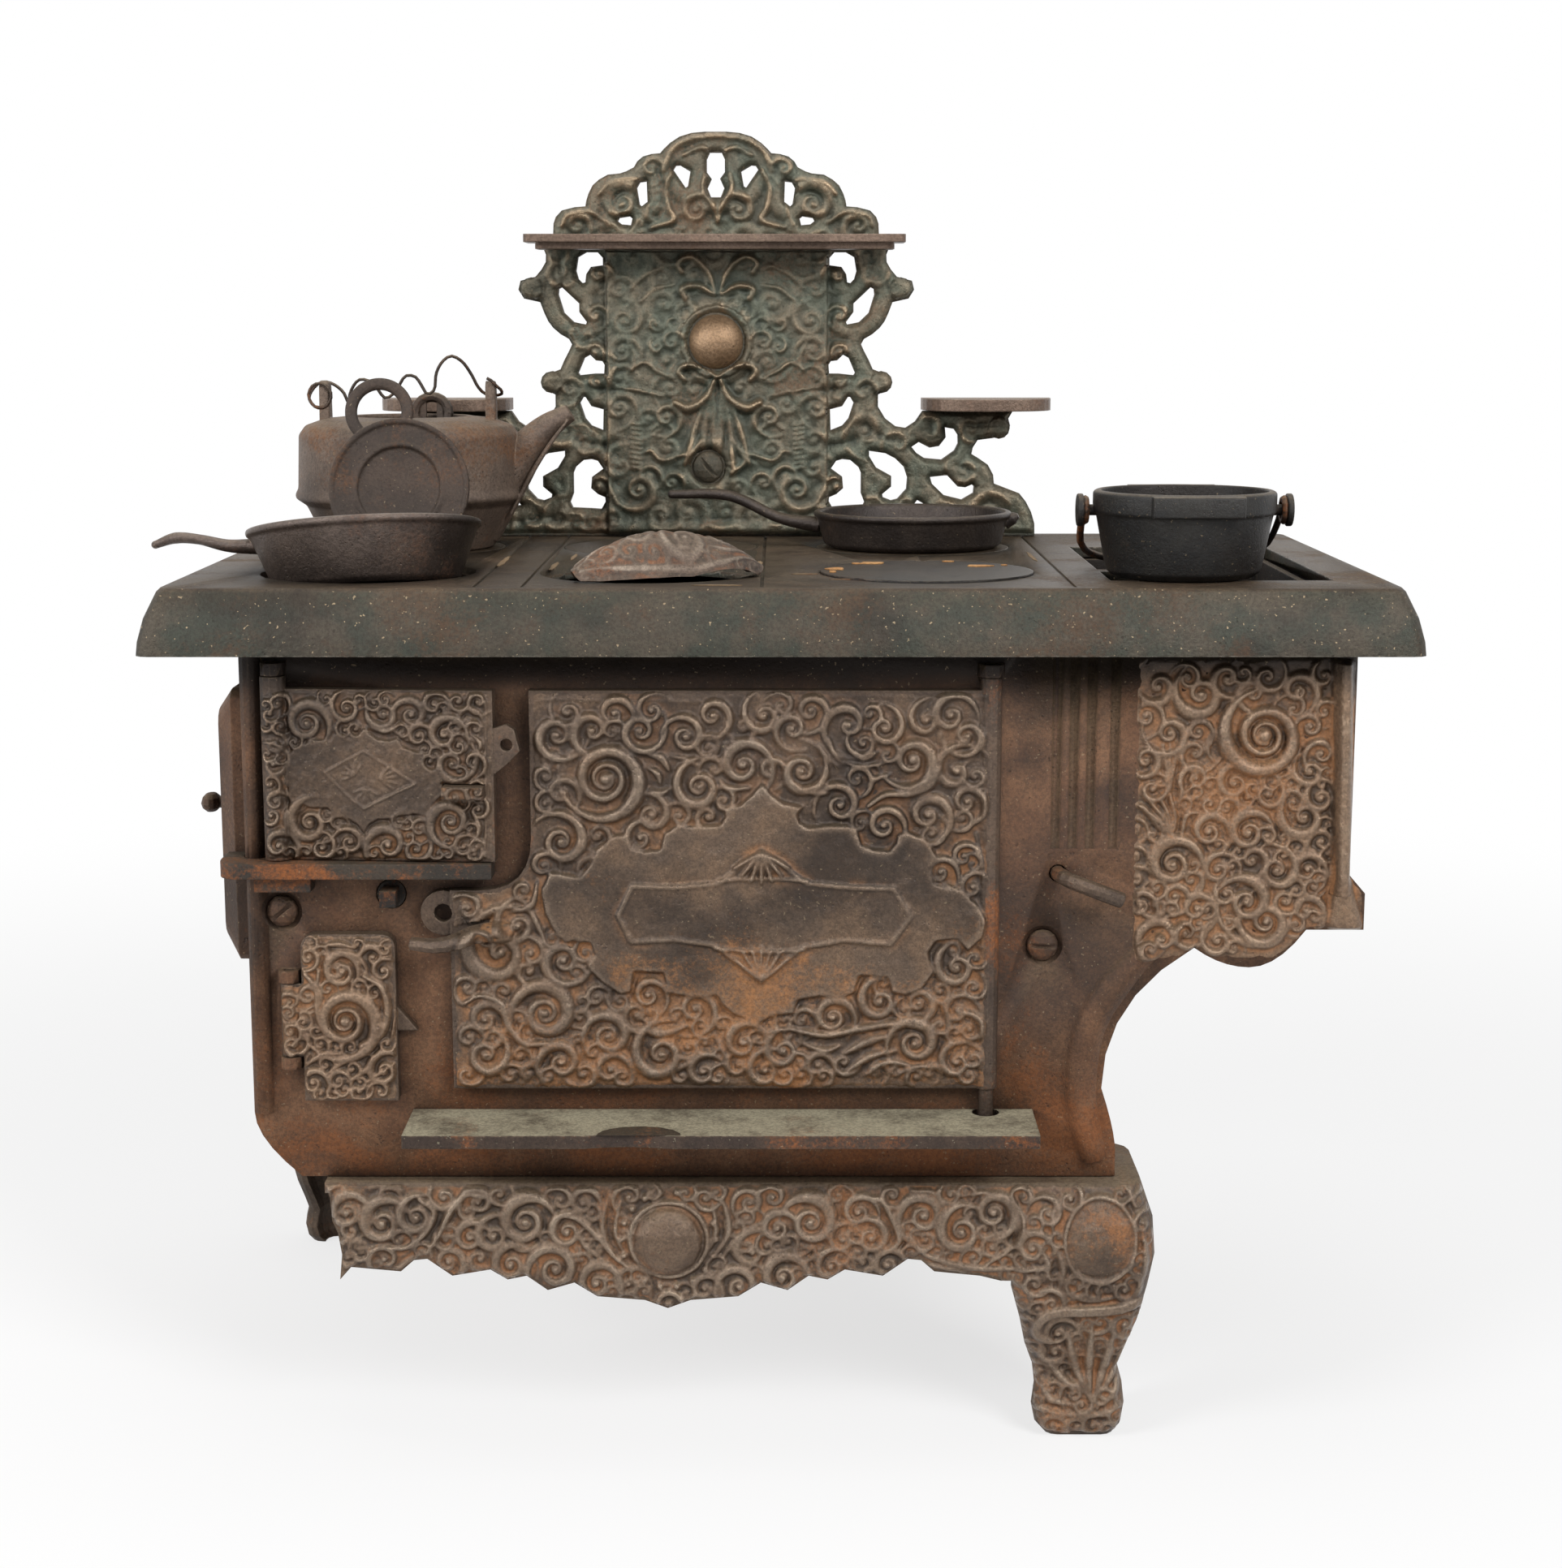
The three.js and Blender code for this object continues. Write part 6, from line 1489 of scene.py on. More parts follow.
FIRE_DOOR = (
    Field(((330, 585), (325, 520), (345, 465), (365, 430), (400, 430), (440, 390), (530, 395), (545, 365),
           (600, 385), (650, 370), (680, 340), (730, 385), (790, 395), (825, 380), (850, 420), (905, 440),
           (935, 445), (940, 490), (975, 525), (1025, 530), (1020, 580), (1045, 610), (1010, 640), (985, 665),
           (960, 700), (965, 725), (900, 710), (840, 720), (790, 735), (740, 735), (700, 760), (680, 800),
           (650, 760), (600, 730), (550, 735), (520, 690), (440, 690), (395, 665), (350, 630)),
          high=1.1, edge=0.6, bead=0.25),
    *scrolls(
        (560, 545, 26, 60, 1.1, 1.6), (425, 320, 98, 20, 1.9, 1.7, 0.3), (602, 252, 62, 200, 1.5, 1.6, 0.4),
        (765, 275, 72, 200, 1.4, 1.5, 0.2), (885, 280, 72, 120, -1.4, 1.5),
        (1035, 365, 82, 70, 1.4, 1.9, 0.3), (1130, 300, 50, 90, 1.2, 1.4), (300, 230, 46, 20, 1.2, 1.4),
        (290, 410, 46, 20, -1.2, 1.2), (295, 660, 50, 60, 1.3, 1.5), (440, 755, 100, 130, 1.5, 2.0, 0.3),
        (615, 840, 62, 100, -1.4, 1.7, 0.3), (785, 850, 92, 160, -1.3, 1.8, 0.3),
        (925, 775, 50, 20, 1.4, 1.6), (905, 865, 62, 330, -1.3, 1.7), (1060, 745, 96, 200, -1.7, 1.9, 0.3),
        (1120, 855, 48, 120, 1.3, 1.5), (1160, 485, 48, 20, 1.2, 1.6), (1085, 625, 52, 60, 1.2, 1.4),
        (380, 640, 40, 60, 1.1, 1.5), (560, 760, 36, 90, 1.1, 1.4),
    ),
    *leaves(
        (500, 260, 530, 320, 520, 380, 1.0, 1.5), (680, 330, 770, 350, 830, 330, 1.1, 1.5),
        (1150, 360, 1190, 400, 1180, 440, 1.1, 1.5), (1150, 700, 1185, 760, 1170, 830, 1.2, 1.5),
    ),
    cord_line((505, 535), (545, 513), (590, 488), (640, 460), (680, 440), wide=0.4, high=1.7),
    cord_line((680, 440), (740, 478), (800, 515), (855, 550), (905, 580), wide=0.4, high=1.7),
    cord_line((905, 580), (850, 605), (790, 635), (735, 662), (680, 690), wide=0.45, high=1.9),
    cord_line((680, 690), (640, 660), (590, 620), (545, 575), (505, 535), wide=0.4, high=1.7),
    Fan(640, 545, 62, 60, 200, 6, wide=0.5, high=1.8), Fan(690, 600, 62, 200, 330, 5, wide=0.5, high=1.8),
    Fan(745, 560, 80, -35, 50, 5, wide=0.5, high=1.8),
    cord_line((1212, 215), (1215, 560), (1212, 900), wide=0.4, high=0.8),
)
ASH_DOOR_TOP = (
    *scrolls(
        (428, 1350, 48, 330, 1.4, 1.6), (578, 1412, 78, 110, 1.5, 2.0, 0.4), (420, 1515, 44, 20, 1.3, 1.5),
        (715, 1350, 50, 120, -1.2, 1.8),
    ),
    *leaves(
        (490, 1300, 560, 1290, 640, 1310, 1.3, 1.5), (640, 1340, 690, 1300, 760, 1300, 1.5, 1.5),
        (380, 1400, 440, 1450, 510, 1540, 1.1, 1.5), (700, 1420, 760, 1480, 780, 1560, 1.3, 1.5),
    ),
)
ASH_DOOR_LOW = (
    *scrolls(
        (345, 32, 52, 60, 1.4, 1.9), (368, 198, 106, 320, 2.1, 2.4, 0.35, 0.27), (252, 120, 38, 20, 1.4, 1.6),
        (236, 182, 14, 90, 1.0, 1.4), (240, 245, 20, 90, 1.1, 1.5), (268, 390, 42, 60, 1.4, 1.8, 0.4),
        (345, 385, 34, 60, 1.4, 1.6, 0.4), (490, 352, 48, 150, 1.5, 1.9, 0.5), (405, 92, 26, 60, 1.2, 1.6),
    ),
    *leaves(
        (240, 340, 300, 300, 380, 300, 1.4, 1.5), (300, 370, 370, 320, 450, 300, 1.3, 1.5),
        (370, 390, 430, 350, 480, 280, 1.2, 1.5), (420, 400, 460, 370, 520, 330, 1.0, 1.5),
        (255, 300, 235, 330, 230, 380, 1.1, 1.5), (520, 110, 525, 180, 510, 260, 0.9, 1.1),
    ),
    Band(((425, 55), (480, 90), (500, 160), (480, 235), (420, 275)), (0.8, 1.6, 1.4), (1.9,)),
    Band(((285, 40), (280, 110), (285, 190), (310, 250)), (0.7, 1.2, 0.8), (1.5,)),
)
TANK_PANEL = (
    *scrolls(
        (905, 168, 92, 190, 1.5, 1.9, 0.2), (1097, 165, 58, 210, -1.3, 1.6), (1265, 155, 68, 20, 1.3, 1.7),
        (700, 250, 54, 60, 1.4, 1.6), (788, 315, 62, 330, 1.4, 1.8, 0.5),
        (1140, 322, 158, 150, 2.4, 2.7, 0.2, 0.25), (1312, 292, 48, 120, -1.3, 1.6),
        (700, 412, 56, 300, 1.3, 1.8), (885, 482, 56, 170, -1.4, 1.8, 0.4), (1030, 500, 66, 120, 1.4, 1.9),
        (1152, 540, 54, 340, -1.3, 1.7), (1312, 455, 58, 200, 1.3, 1.8, 0.3),
        (1290, 625, 82, 200, 1.3, 2.0, 0.3), (1082, 682, 82, 60, 1.6, 2.1, 0.2), (935, 680, 66, 60, 1.5, 1.9),
        (660, 668, 38, 60, 1.3, 1.4), (660, 770, 36, 60, 1.2, 1.4), (665, 852, 36, 120, 1.2, 1.4),
        (800, 800, 92, 80, 1.7, 2.2, 0.4), (1185, 822, 76, 20, -1.5, 2.0, 0.3), (1300, 822, 60, 60, 1.3, 1.9),
        (680, 955, 52, 60, 1.5, 1.7), (738, 955, 50, 240, 1.0, 1.4), (888, 970, 58, 60, 1.2, 1.7),
        (1072, 940, 92, 100, -1.5, 2.2, 0.2), (1145, 1015, 84, 250, 1.6, 2.1, 0.4),
    ),
    *leaves(
        (760, 690, 700, 600, 650, 575, 1.1, 1.5), (830, 720, 850, 620, 900, 610, 1.2, 1.5),
        (820, 600, 830, 540, 830, 460, 1.0, 1.5), (1210, 380, 1230, 450, 1260, 500, 1.0, 1.5),
        (1200, 560, 1190, 640, 1230, 700, 1.1, 1.5), (1300, 730, 1340, 770, 1345, 830, 1.0, 1.5),
        (940, 300, 930, 380, 960, 430, 0.9, 1.0), (1180, 480, 1220, 470, 1250, 440, 1.0, 1.5),
    ),
    cord_line((606, 10), (604, 300), (600, 560), (592, 880), wide=0.7, high=1.5),
    Band(((1428, 20), (1428, 300), (1428, 600), (1428, 862)), (-37, -37), (3.4,), curved=False),
    Band(((1428, 850), (1430, 900), (1434, 960), (1440, 1035)), (-38, -44, -56, -72), (3.4, 3.0),
         curved=False),
    Fan(790, 720, 175, 78, 118, 4, wide=1.0, high=1.5, bend=12),
    Fan(790, 545, 190, 82, 98, 3, wide=0.7, high=1.2),
    Band(((965, 900), (975, 1010), (1050, 1090), (1150, 1100), (1220, 1050), (1240, 990)),
         (0.6, 1.3, 1.3, 0.6), (1.3,)),
)
APRON_LEFT = (
    *scrolls(
        (375, 792, 62, 60, 1.6, 1.8), (352, 735, 44, 200, -1.2, 1.4), (485, 825, 74, 90, 1.6, 2.0, 0.3),
        (590, 805, 62, 120, 1.6, 1.9, 0.2), (782, 760, 52, 150, -1.4, 1.8, 0.3),
        (758, 870, 54, 60, 1.5, 1.9, 0.2), (832, 865, 54, 150, 1.4, 1.8), (930, 820, 84, 60, 1.8, 2.2, 0.2),
        (690, 945, 54, 320, 1.5, 1.8, 0.4), (885, 955, 58, 120, 1.5, 1.9), (1020, 968, 72, 120, -1.6, 2.1),
        (1060, 852, 56, 120, 1.5, 2.0, 0.3), (1110, 762, 46, 60, 1.5, 1.6), (1152, 1012, 64, 60, 1.5, 2.0),
        (1252, 1015, 46, 120, 1.3, 1.7), (1370, 1078, 40, 60, 1.3, 1.9), (500, 745, 34, 60, 1.2, 1.3),
        (380, 930, 48, 120, 1.3, 1.5),
    ),
    *leaves(
        (1230, 950, 1170, 850, 1190, 730, 1.4, 1.5), (1240, 930, 1210, 850, 1225, 750, 1.1, 1.5),
        (1200, 960, 1120, 900, 1090, 850, 1.2, 1.5), (880, 900, 930, 910, 980, 880, 1.1, 1.5),
        (560, 790, 640, 760, 680, 800, 1.0, 1.1), (440, 720, 520, 700, 560, 740, 1.0, 1.2),
    ),
    Band(((620, 920), (660, 860), (700, 780), (745, 735), (800, 740)), (0.5, 1.4, 1.3), (1.8,)),
    Band(((500, 900), (560, 900), (620, 850), (645, 790), (600, 750)), (0.7, 1.3, 0.9), (1.6,)),
    Band(((1040, 800), (1090, 810), (1150, 860), (1210, 930), (1250, 960)), (0.8, 1.5, 0.7), (1.8,)),
    Band(((350, 1000), (430, 985), (520, 970), (590, 930)), (0.8, 1.0, 1.0), (0.9,)),
)
APRON_MIDDLE = (
    Dome(1375, 875, 112, 112, high=0.8, ring=1.1),
    *(Band(((1375 + 146 * math.cos(a), 875 - 146 * math.sin(a)),
            (1375 + 150 * math.cos(a), 875 - 150 * math.sin(a))),
           (1.2, 1.2), (1.6,), curved=False) for a in np.linspace(0, math.tau, 18, endpoint=False)),
)
APRON_RIGHT = (
    *scrolls(
        (185, 762, 44, 120, -1.5, 1.6), (272, 840, 56, 60, 1.5, 2.0, 0.3),
        (375, 820, 84, 120, -1.8, 2.2, 0.2), (525, 790, 54, 60, 1.5, 1.9, 0.3), (475, 875, 46, 120, 1.4, 1.7),
        (562, 870, 54, 60, -1.5, 1.9), (615, 955, 52, 60, 1.5, 1.8, 0.4), (440, 960, 50, 120, 1.4, 1.7),
        (290, 992, 72, 60, 1.6, 2.1), (152, 1022, 60, 120, -1.5, 2.0), (45, 1030, 46, 60, 1.3, 1.7),
        (725, 802, 70, 150, -1.6, 2.0, 0.4), (845, 850, 76, 120, 1.6, 2.1, 0.2),
        (945, 792, 72, 330, 1.6, 2.0, 0.3), (1062, 890, 54, 60, 1.5, 1.8, 0.3), (942, 905, 38, 120, 1.3, 1.5),
        (1110, 785, 44, 60, -1.4, 1.6),
    ),
    *leaves(
        (60, 950, 120, 850, 100, 740, 1.4, 1.5), (50, 930, 80, 850, 70, 760, 1.1, 1.5),
        (95, 940, 150, 870, 240, 810, 1.4, 1.5), (720, 950, 800, 965, 880, 985, 1.2, 1.5),
        (860, 740, 900, 730, 960, 730, 1.0, 1.5),
    ),
    Band(((520, 745), (590, 750), (630, 810), (650, 880), (600, 920)), (0.7, 1.4, 1.0), (1.8,)),
    Band(((1000, 735), (1035, 810), (1010, 890), (920, 955)), (0.6, 1.2, 0.6), (1.8,)),
    Band(((690, 870), (740, 925), (860, 960), (1000, 965), (1110, 945)), (0.8, 1.3, 1.0), (1.4,)),
    Band(((690, 720), (760, 730), (790, 790), (780, 860)), (0.6, 1.1, 0.6), (1.5,)),
)
KNEE_ORNAMENT = (
    Dome(1277, 880, 104, 128, high=0.8, ring=1.0),
    *scrolls(
        (1128, 1085, 46, 60, -1.4, 1.8), (1010, 1060, 40, 60, 1.2, 1.5), (1150, 1185, 50, 100, 1.3, 2.0),
        (1045, 1170, 36, 60, 1.2, 1.5), (1070, 1245, 32, 60, 1.2, 1.4), (1088, 1320, 30, 60, 1.2, 1.3),
        (1290, 1400, 34, 60, 1.2, 1.9), (1200, 1385, 34, 120, -1.2, 1.8),
    ),
    *leaves(
        (1145, 1050, 1160, 960, 1130, 880, 1.5, 1.5), (1100, 1010, 1115, 950, 1090, 900, 1.2, 1.5),
        (1150, 1040, 1240, 1070, 1330, 1060, 1.3, 1.5), (1400, 1050, 1420, 950, 1415, 850, 1.5, 1.5),
        (1390, 800, 1370, 730, 1330, 700, 1.3, 1.5), (1160, 740, 1130, 800, 1130, 860, 1.0, 1.5),
        (1380, 1080, 1400, 1020, 1405, 960, 1.1, 1.5), (1250, 1400, 1205, 1290, 1180, 1180, 2.3, 2.0),
        (1255, 1400, 1250, 1280, 1255, 1160, 2.2, 2.2), (1265, 1400, 1300, 1290, 1325, 1170, 2.3, 2.0),
        (1275, 1400, 1340, 1300, 1375, 1200, 1.8, 1.7), (1235, 1400, 1160, 1330, 1110, 1270, 1.9, 1.7),
        (1200, 1420, 1130, 1400, 1100, 1360, 1.6, 1.5), (1290, 1420, 1330, 1380, 1345, 1330, 1.5, 1.5),
    ),
    Band(((1095, 1425), (1150, 1445), (1230, 1452), (1300, 1445), (1345, 1420)), (1.0, 1.2, 1.0),
         (1.2,), Form.FLAT),
    Band(((1125, 1210), (1085, 1190), (1090, 1140), (1140, 1110), (1230, 1105), (1320, 1098), (1400, 1078)),
         (1.6, 1.9, 2.2, 2.4, 2.2), (2.0, 2.3), Form.FLAT),
)
BACK_PANEL = mirrored(618, (
    *scrolls(
        (362, 638, 40, 60, 1.5, 0.9), (368, 555, 36, 300, -1.5, 0.9), (357, 714, 32, 120, 1.4, 0.8),
        (354, 790, 38, 60, 1.5, 0.9), (355, 470, 34, 60, 1.3, 0.7), (480, 815, 36, 20, 1.3, 1.4),
        (455, 625, 18, 200, 1.1, 1.3), (450, 562, 15, 200, -1.1, 1.3), (495, 612, 24, 120, 1.2, 1.1),
        (495, 568, 16, 120, 1.0, 1.1), (430, 975, 30, 60, 1.3, 1.2), (405, 1010, 48, 300, 1.4, 1.3),
        (495, 990, 26, 60, 1.2, 1.2),
    ),
    Band(((612, 482), (592, 425), (550, 385), (512, 398), (522, 425)), (0.5, 1.2, 1.6, 1.2, 1.3), (1.4,)),
    Band(((610, 486), (565, 462), (523, 470), (532, 496)), (0.5, 1.4, 1.5, 1.3), (1.6,)),
    Band(((608, 476), (600, 430), (575, 395)), (0.3, 0.8, 0.5), (0.9,)),
    Band(((616, 706), (585, 680), (538, 675), (514, 692), (530, 714)), (0.6, 1.2, 1.5, 1.3), (1.6,)),
    Band(((612, 712), (585, 765), (540, 790), (505, 775)), (0.6, 1.8, 2.2, 1.6), (2.2,)),
    Fan(612, 720, 235, 246, 268, 3, wide=1.6, high=1.3, bend=4),
    Band(((340, 735), (400, 742), (470, 758)), (0.4, 0.7, 0.3), (1.1,)),
    Band(((385, 690), (420, 668), (455, 690), (495, 710)), (0.4, 0.8, 0.3), (1.2,)),
    Band(((375, 610), (395, 650), (390, 690)), (0.5, 0.8, 0.4), (1.0,)),
    Band(((385, 470), (430, 430), (485, 405)), (0.4, 0.8, 0.3), (0.9,)),
    Band(((410, 505), (450, 470), (500, 460)), (0.4, 0.9, 0.3), (0.9,)),
    Band(((425, 910), (440, 905), (470, 930), (530, 915), (545, 930)), (0.6, 0.9, 0.8), (1.1,)),
    Band(((440, 850), (470, 830), (500, 850), (470, 880)), (0.4, 0.8, 0.4), (0.8,)),
    Band(((590, 850), (560, 900), (545, 935), (580, 965)), (0.6, 1.3, 1.0), (1.3,)),
    *(Band(((388, v), (410, v + 4)), (0.75, 0.75), (0.9,)) for v in range(832, 958, 13)),
    Band(((326, 380), (326, 700), (326, 1060)), (0.5, 0.5), (0.7,)),
))
CREST = mirrored(618, (
    *scrolls(
        (362, 240, 56, 60, 1.5, 1.5, 0.3), (440, 145, 28, 60, 1.2, 1.4), (240, 300, 34, 20, 1.2, 1.2),
        (562, 258, 40, 100, 1.4, 1.5, 0.3), (300, 430, 30, 60, 1.2, 1.3), (292, 720, 26, 60, 1.2, 1.2),
        (285, 640, 22, 60, 1.1, 1.1), (290, 540, 26, 60, 1.1, 1.2), (295, 1000, 26, 60, 1.1, 1.2),
    ),
    Band(((472, 150), (498, 92), (555, 62), (618, 56)), (1.4, 1.5, 1.4), (1.3,)),
    Band(((500, 150), (480, 190), (485, 250), (500, 285), (440, 305)), (0.9, 1.3, 1.4, 0.9), (1.5,)),
    Band(((525, 110), (570, 90), (600, 100)), (0.7, 1.1, 0.6), (1.3,)),
    Band(((585, 160), (580, 200), (605, 245), (618, 290)), (0.7, 1.2, 0.8), (1.5,)),
    Band(((300, 215), (330, 185), (395, 175), (420, 190)), (0.9, 1.4, 0.8), (1.3,)),
    Band(((200, 300), (215, 272), (270, 262), (320, 290)), (0.8, 1.2, 0.7), (1.2,)),
))

LEAF_ORNAMENT = (
    *scrolls(
        (5, 1.5, 6.4, 200, 1.7, 1.6, 0.4), (-9, -2.5, 5.0, 20, -1.5, 1.4, 0.4),
        (18, -2.5, 4.4, 120, 1.4, 1.4, 0.4), (-20, 1.5, 3.8, 300, 1.3, 1.2),
    ),
    *leaves(
        (-3, 8, 3, 5, 12, 6.5, 1.2, 1.5), (10, -7, 16, -6.5, 24, -2, 1.1, 1.5),
        (-16, -6, -8, -8, 2, -7, 1.0, 1.5), (12, 4, 19, 4.5, 26, 1, 1.2, 1.5),
        (-28, 0, -24, -2, -18, -4, 0.9, 1.5),
    ),
    Band(((-30, -5), (-18, -8.6), (0, -10), (16, -9.6), (29, -5.5)), (0.7, 1.1, 1.1, 0.7), (1.3,)),
    Band(((-30, 5), (-18, 8.2), (0, 9.6), (15, 9.4), (28, 5.5)), (0.7, 1.0, 1.0, 0.7), (1.2,)),
    Fan(5, 8.6, 7.5, 40, 140, 5, wide=0.8, high=1.2),
)


# Sheets of ornament on the stove

RELIEFS = (
    Relief("oven_door_ornament", "oven_door", "oven_leaf", -106.2, 66.7, 121.5, 252.2, Finish.DOOR,
           [(PICTURE, OVEN_DOOR_FIELD[:2]), (UPPER_DOOR, OVEN_DOOR_TOP), (LOWER_DOOR, OVEN_DOOR_LOW),
            (PICTURE, OVEN_DOOR_FIELD[2:])], step=0.5, farthest=12.5, fills=90),
    Relief("firebox_door_ornament", "firebox_door", "fire_leaf", -166, -90, 197.4, 252.9, Finish.DOOR,
           [(LEFT_DOORS, FIRE_DOOR)], step=0.36, nearest=-30, farthest=17, fills=60, margin=2.0),
    Relief("ash_door_ornament", "ash_door", "ash_leaf", -165, -123.5, 117.4, 173.3, Finish.PANEL,
           [(LEFT_DOORS, ASH_DOOR_TOP), (LOW_LEFT, ASH_DOOR_LOW)], step=0.36, nearest=-30,
           farthest=17, fills=30, margin=2.0),
    Relief("apron_and_leg_ornament", "front_base", "stove", -153.5, 127, 0.4, 90.5, Finish.BASE,
           [(LOW_LEFT, APRON_LEFT + APRON_MIDDLE), (LOW_RIGHT, APRON_RIGHT), (KNEE, KNEE_ORNAMENT)],
           step=0.48, nearest=-12, farthest=26, fills=120, margin=1.6),
    Relief("tank_front_ornament", "front_panel", "stove", 113, 188.2, 163, 262, Finish.PANEL,
           [(TANK_FRONT, TANK_PANEL)], step=0.42, nearest=4, farthest=18, fills=60),
    Relief("back_plate_ornament", "back_plate", "stove", -146.5, 98.5, 285.6, 437, Finish.PLATE,
           [(BACK, BACK_PANEL + CREST)], step=0.55, nearest=183, farthest=200, rounding=1.3,
           fills=70, fill_high=0.7, holes=((-24.4, 358.6, 10.4), (-27.7, 311.6, 6.2))),
)


# Utensils


def eased(profile: list[Pair], radius: float, steps: int = 4) -> list[Pair]:
    """Round the corners of a profile.

    Args:
        profile: Its corners in millimetres.
        radius: How far from each corner the rounding starts.
        steps: Points on each rounded corner.

    Returns:
        The rounded profile.
    """
    result = [profile[0]]
    for before, corner, after in zip(profile, profile[1:], profile[2:]):
        start, end = np.array(before, float), np.array(after, float)
        middle = np.array(corner, float)
        back, on = np.linalg.norm(start - middle), np.linalg.norm(end - middle)
        first = middle + (start - middle) * min(radius / back, 0.45)
        last = middle + (end - middle) * min(radius / on, 0.45)
        for t in np.linspace(0, 1, steps):
            point = first * (1 - t) ** 2 + middle * 2 * t * (1 - t) + last * t ** 2
            result.append((float(point[0]), float(point[1])))
    result.append(profile[-1])
    return result


def turned(x: float = 0.0, y: float = 0.0, z: float = 0.0) -> Matrix:
    """Give a turn about Z, then Y, then X in the piece's own frame.

    Args:
        x: Degrees about X.
        y: Degrees about Y.
        z: Degrees about Z.

    Returns:
        The turn.
    """
    return (Matrix.Rotation(math.radians(x), 4, "X") @ Matrix.Rotation(math.radians(y), 4, "Y")
            @ Matrix.Rotation(math.radians(z), 4, "Z"))


@dataclass(frozen=True)
class Pan:
    """A small cast pan with a flat handle: a turned profile and the handle's path in millimetres."""

    name: str
    node: str
    body: str
    profile: tuple[Pair, ...]
    handle: tuple[Triple, ...]
    radii: tuple[float, ...]
    wide: float
    place: Triple
    turn: Triple
    lip: Triple | None = None
    finish: Finish = Finish.PAN

    def build(self, dresser: Dresser) -> bpy.types.Object:
        """Make the pan.

        Args:
            dresser: Gives it its finish.

        Returns:
            The object.
        """
        mesh_data = bmesh.new()
        spun(mesh_data, eased(list(self.profile), 0.7), 112)
        swept(mesh_data, list(self.handle), list(self.radii), self.wide, 24, 56)
        cap = bmesh.ops.create_uvsphere(mesh_data, u_segments=24, v_segments=14,
                                        radius=self.radii[-1] * 1.04 * MM)["verts"]
        bmesh.ops.scale(mesh_data, vec=(1.0, self.wide, 1.0), verts=cap)
        bmesh.ops.translate(mesh_data, vec=Vector(self.handle[-1]) * MM, verts=cap)
        if self.lip:
            x, _, z = self.lip
            path = [(x - 2.4, 0, z - 2.6), (x + 0.6, 0, z - 0.4), (x + 2.6, 0, z + 0.5)]
            swept(mesh_data, path, [2.2, 2.3, 0.9], 1.25, 20, 14)
        placed(mesh_data, at(*self.place), turned(*self.turn))
        piece = finished(self.name, mesh_data)
        keep_creases(piece)
        dresser.dress(piece, self.finish)
        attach(piece, self.body)
        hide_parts(self.node)
        return piece


PANS = (
    Pan("front_skillet", "front_pan", "skillet",
        ((0, 0), (28.1, 0), (30.5, 1.68), (37.06, 17.88), (38.5, 18.84), (38.5, 20.52), (36.82, 21),
         (35.38, 20.28), (28.82, 3.84), (25.7, 2.4), (0, 2.4)),
        ((-34.66, 0, 16), (-44.8, 0, 16.8), (-54.25, 0, 19.44), (-62.1, 0, 20.4), (-68.9, 0, 18.6)),
        (2.73, 2.1, 1.68, 1.89, 1.26), 1.333, (-136, 50.5, 280), (-9.5, -3.5, 0)),
    Pan("rear_saucepan", "rear_pan", "saucepan",
        ((0, 0), (30.3, 0), (32.5, 1.54), (34.68, 10.34), (36, 11.22), (36, 12.76), (34.46, 13.2),
         (33.14, 12.54), (30.96, 3.52), (28.1, 2.2), (0, 2.2)),
        ((-34, 0, 7.26), (-49.25, 0, 9.9), (-67.8, 0, 17.7), (-89, 0, 18.06)),
        (3, 2, 2, 1.6), 1.3, (48, 150, HOB_TOP + 0.3), (0, 0, -8), (36, 0, 11), Finish.DARK_PAN),
)


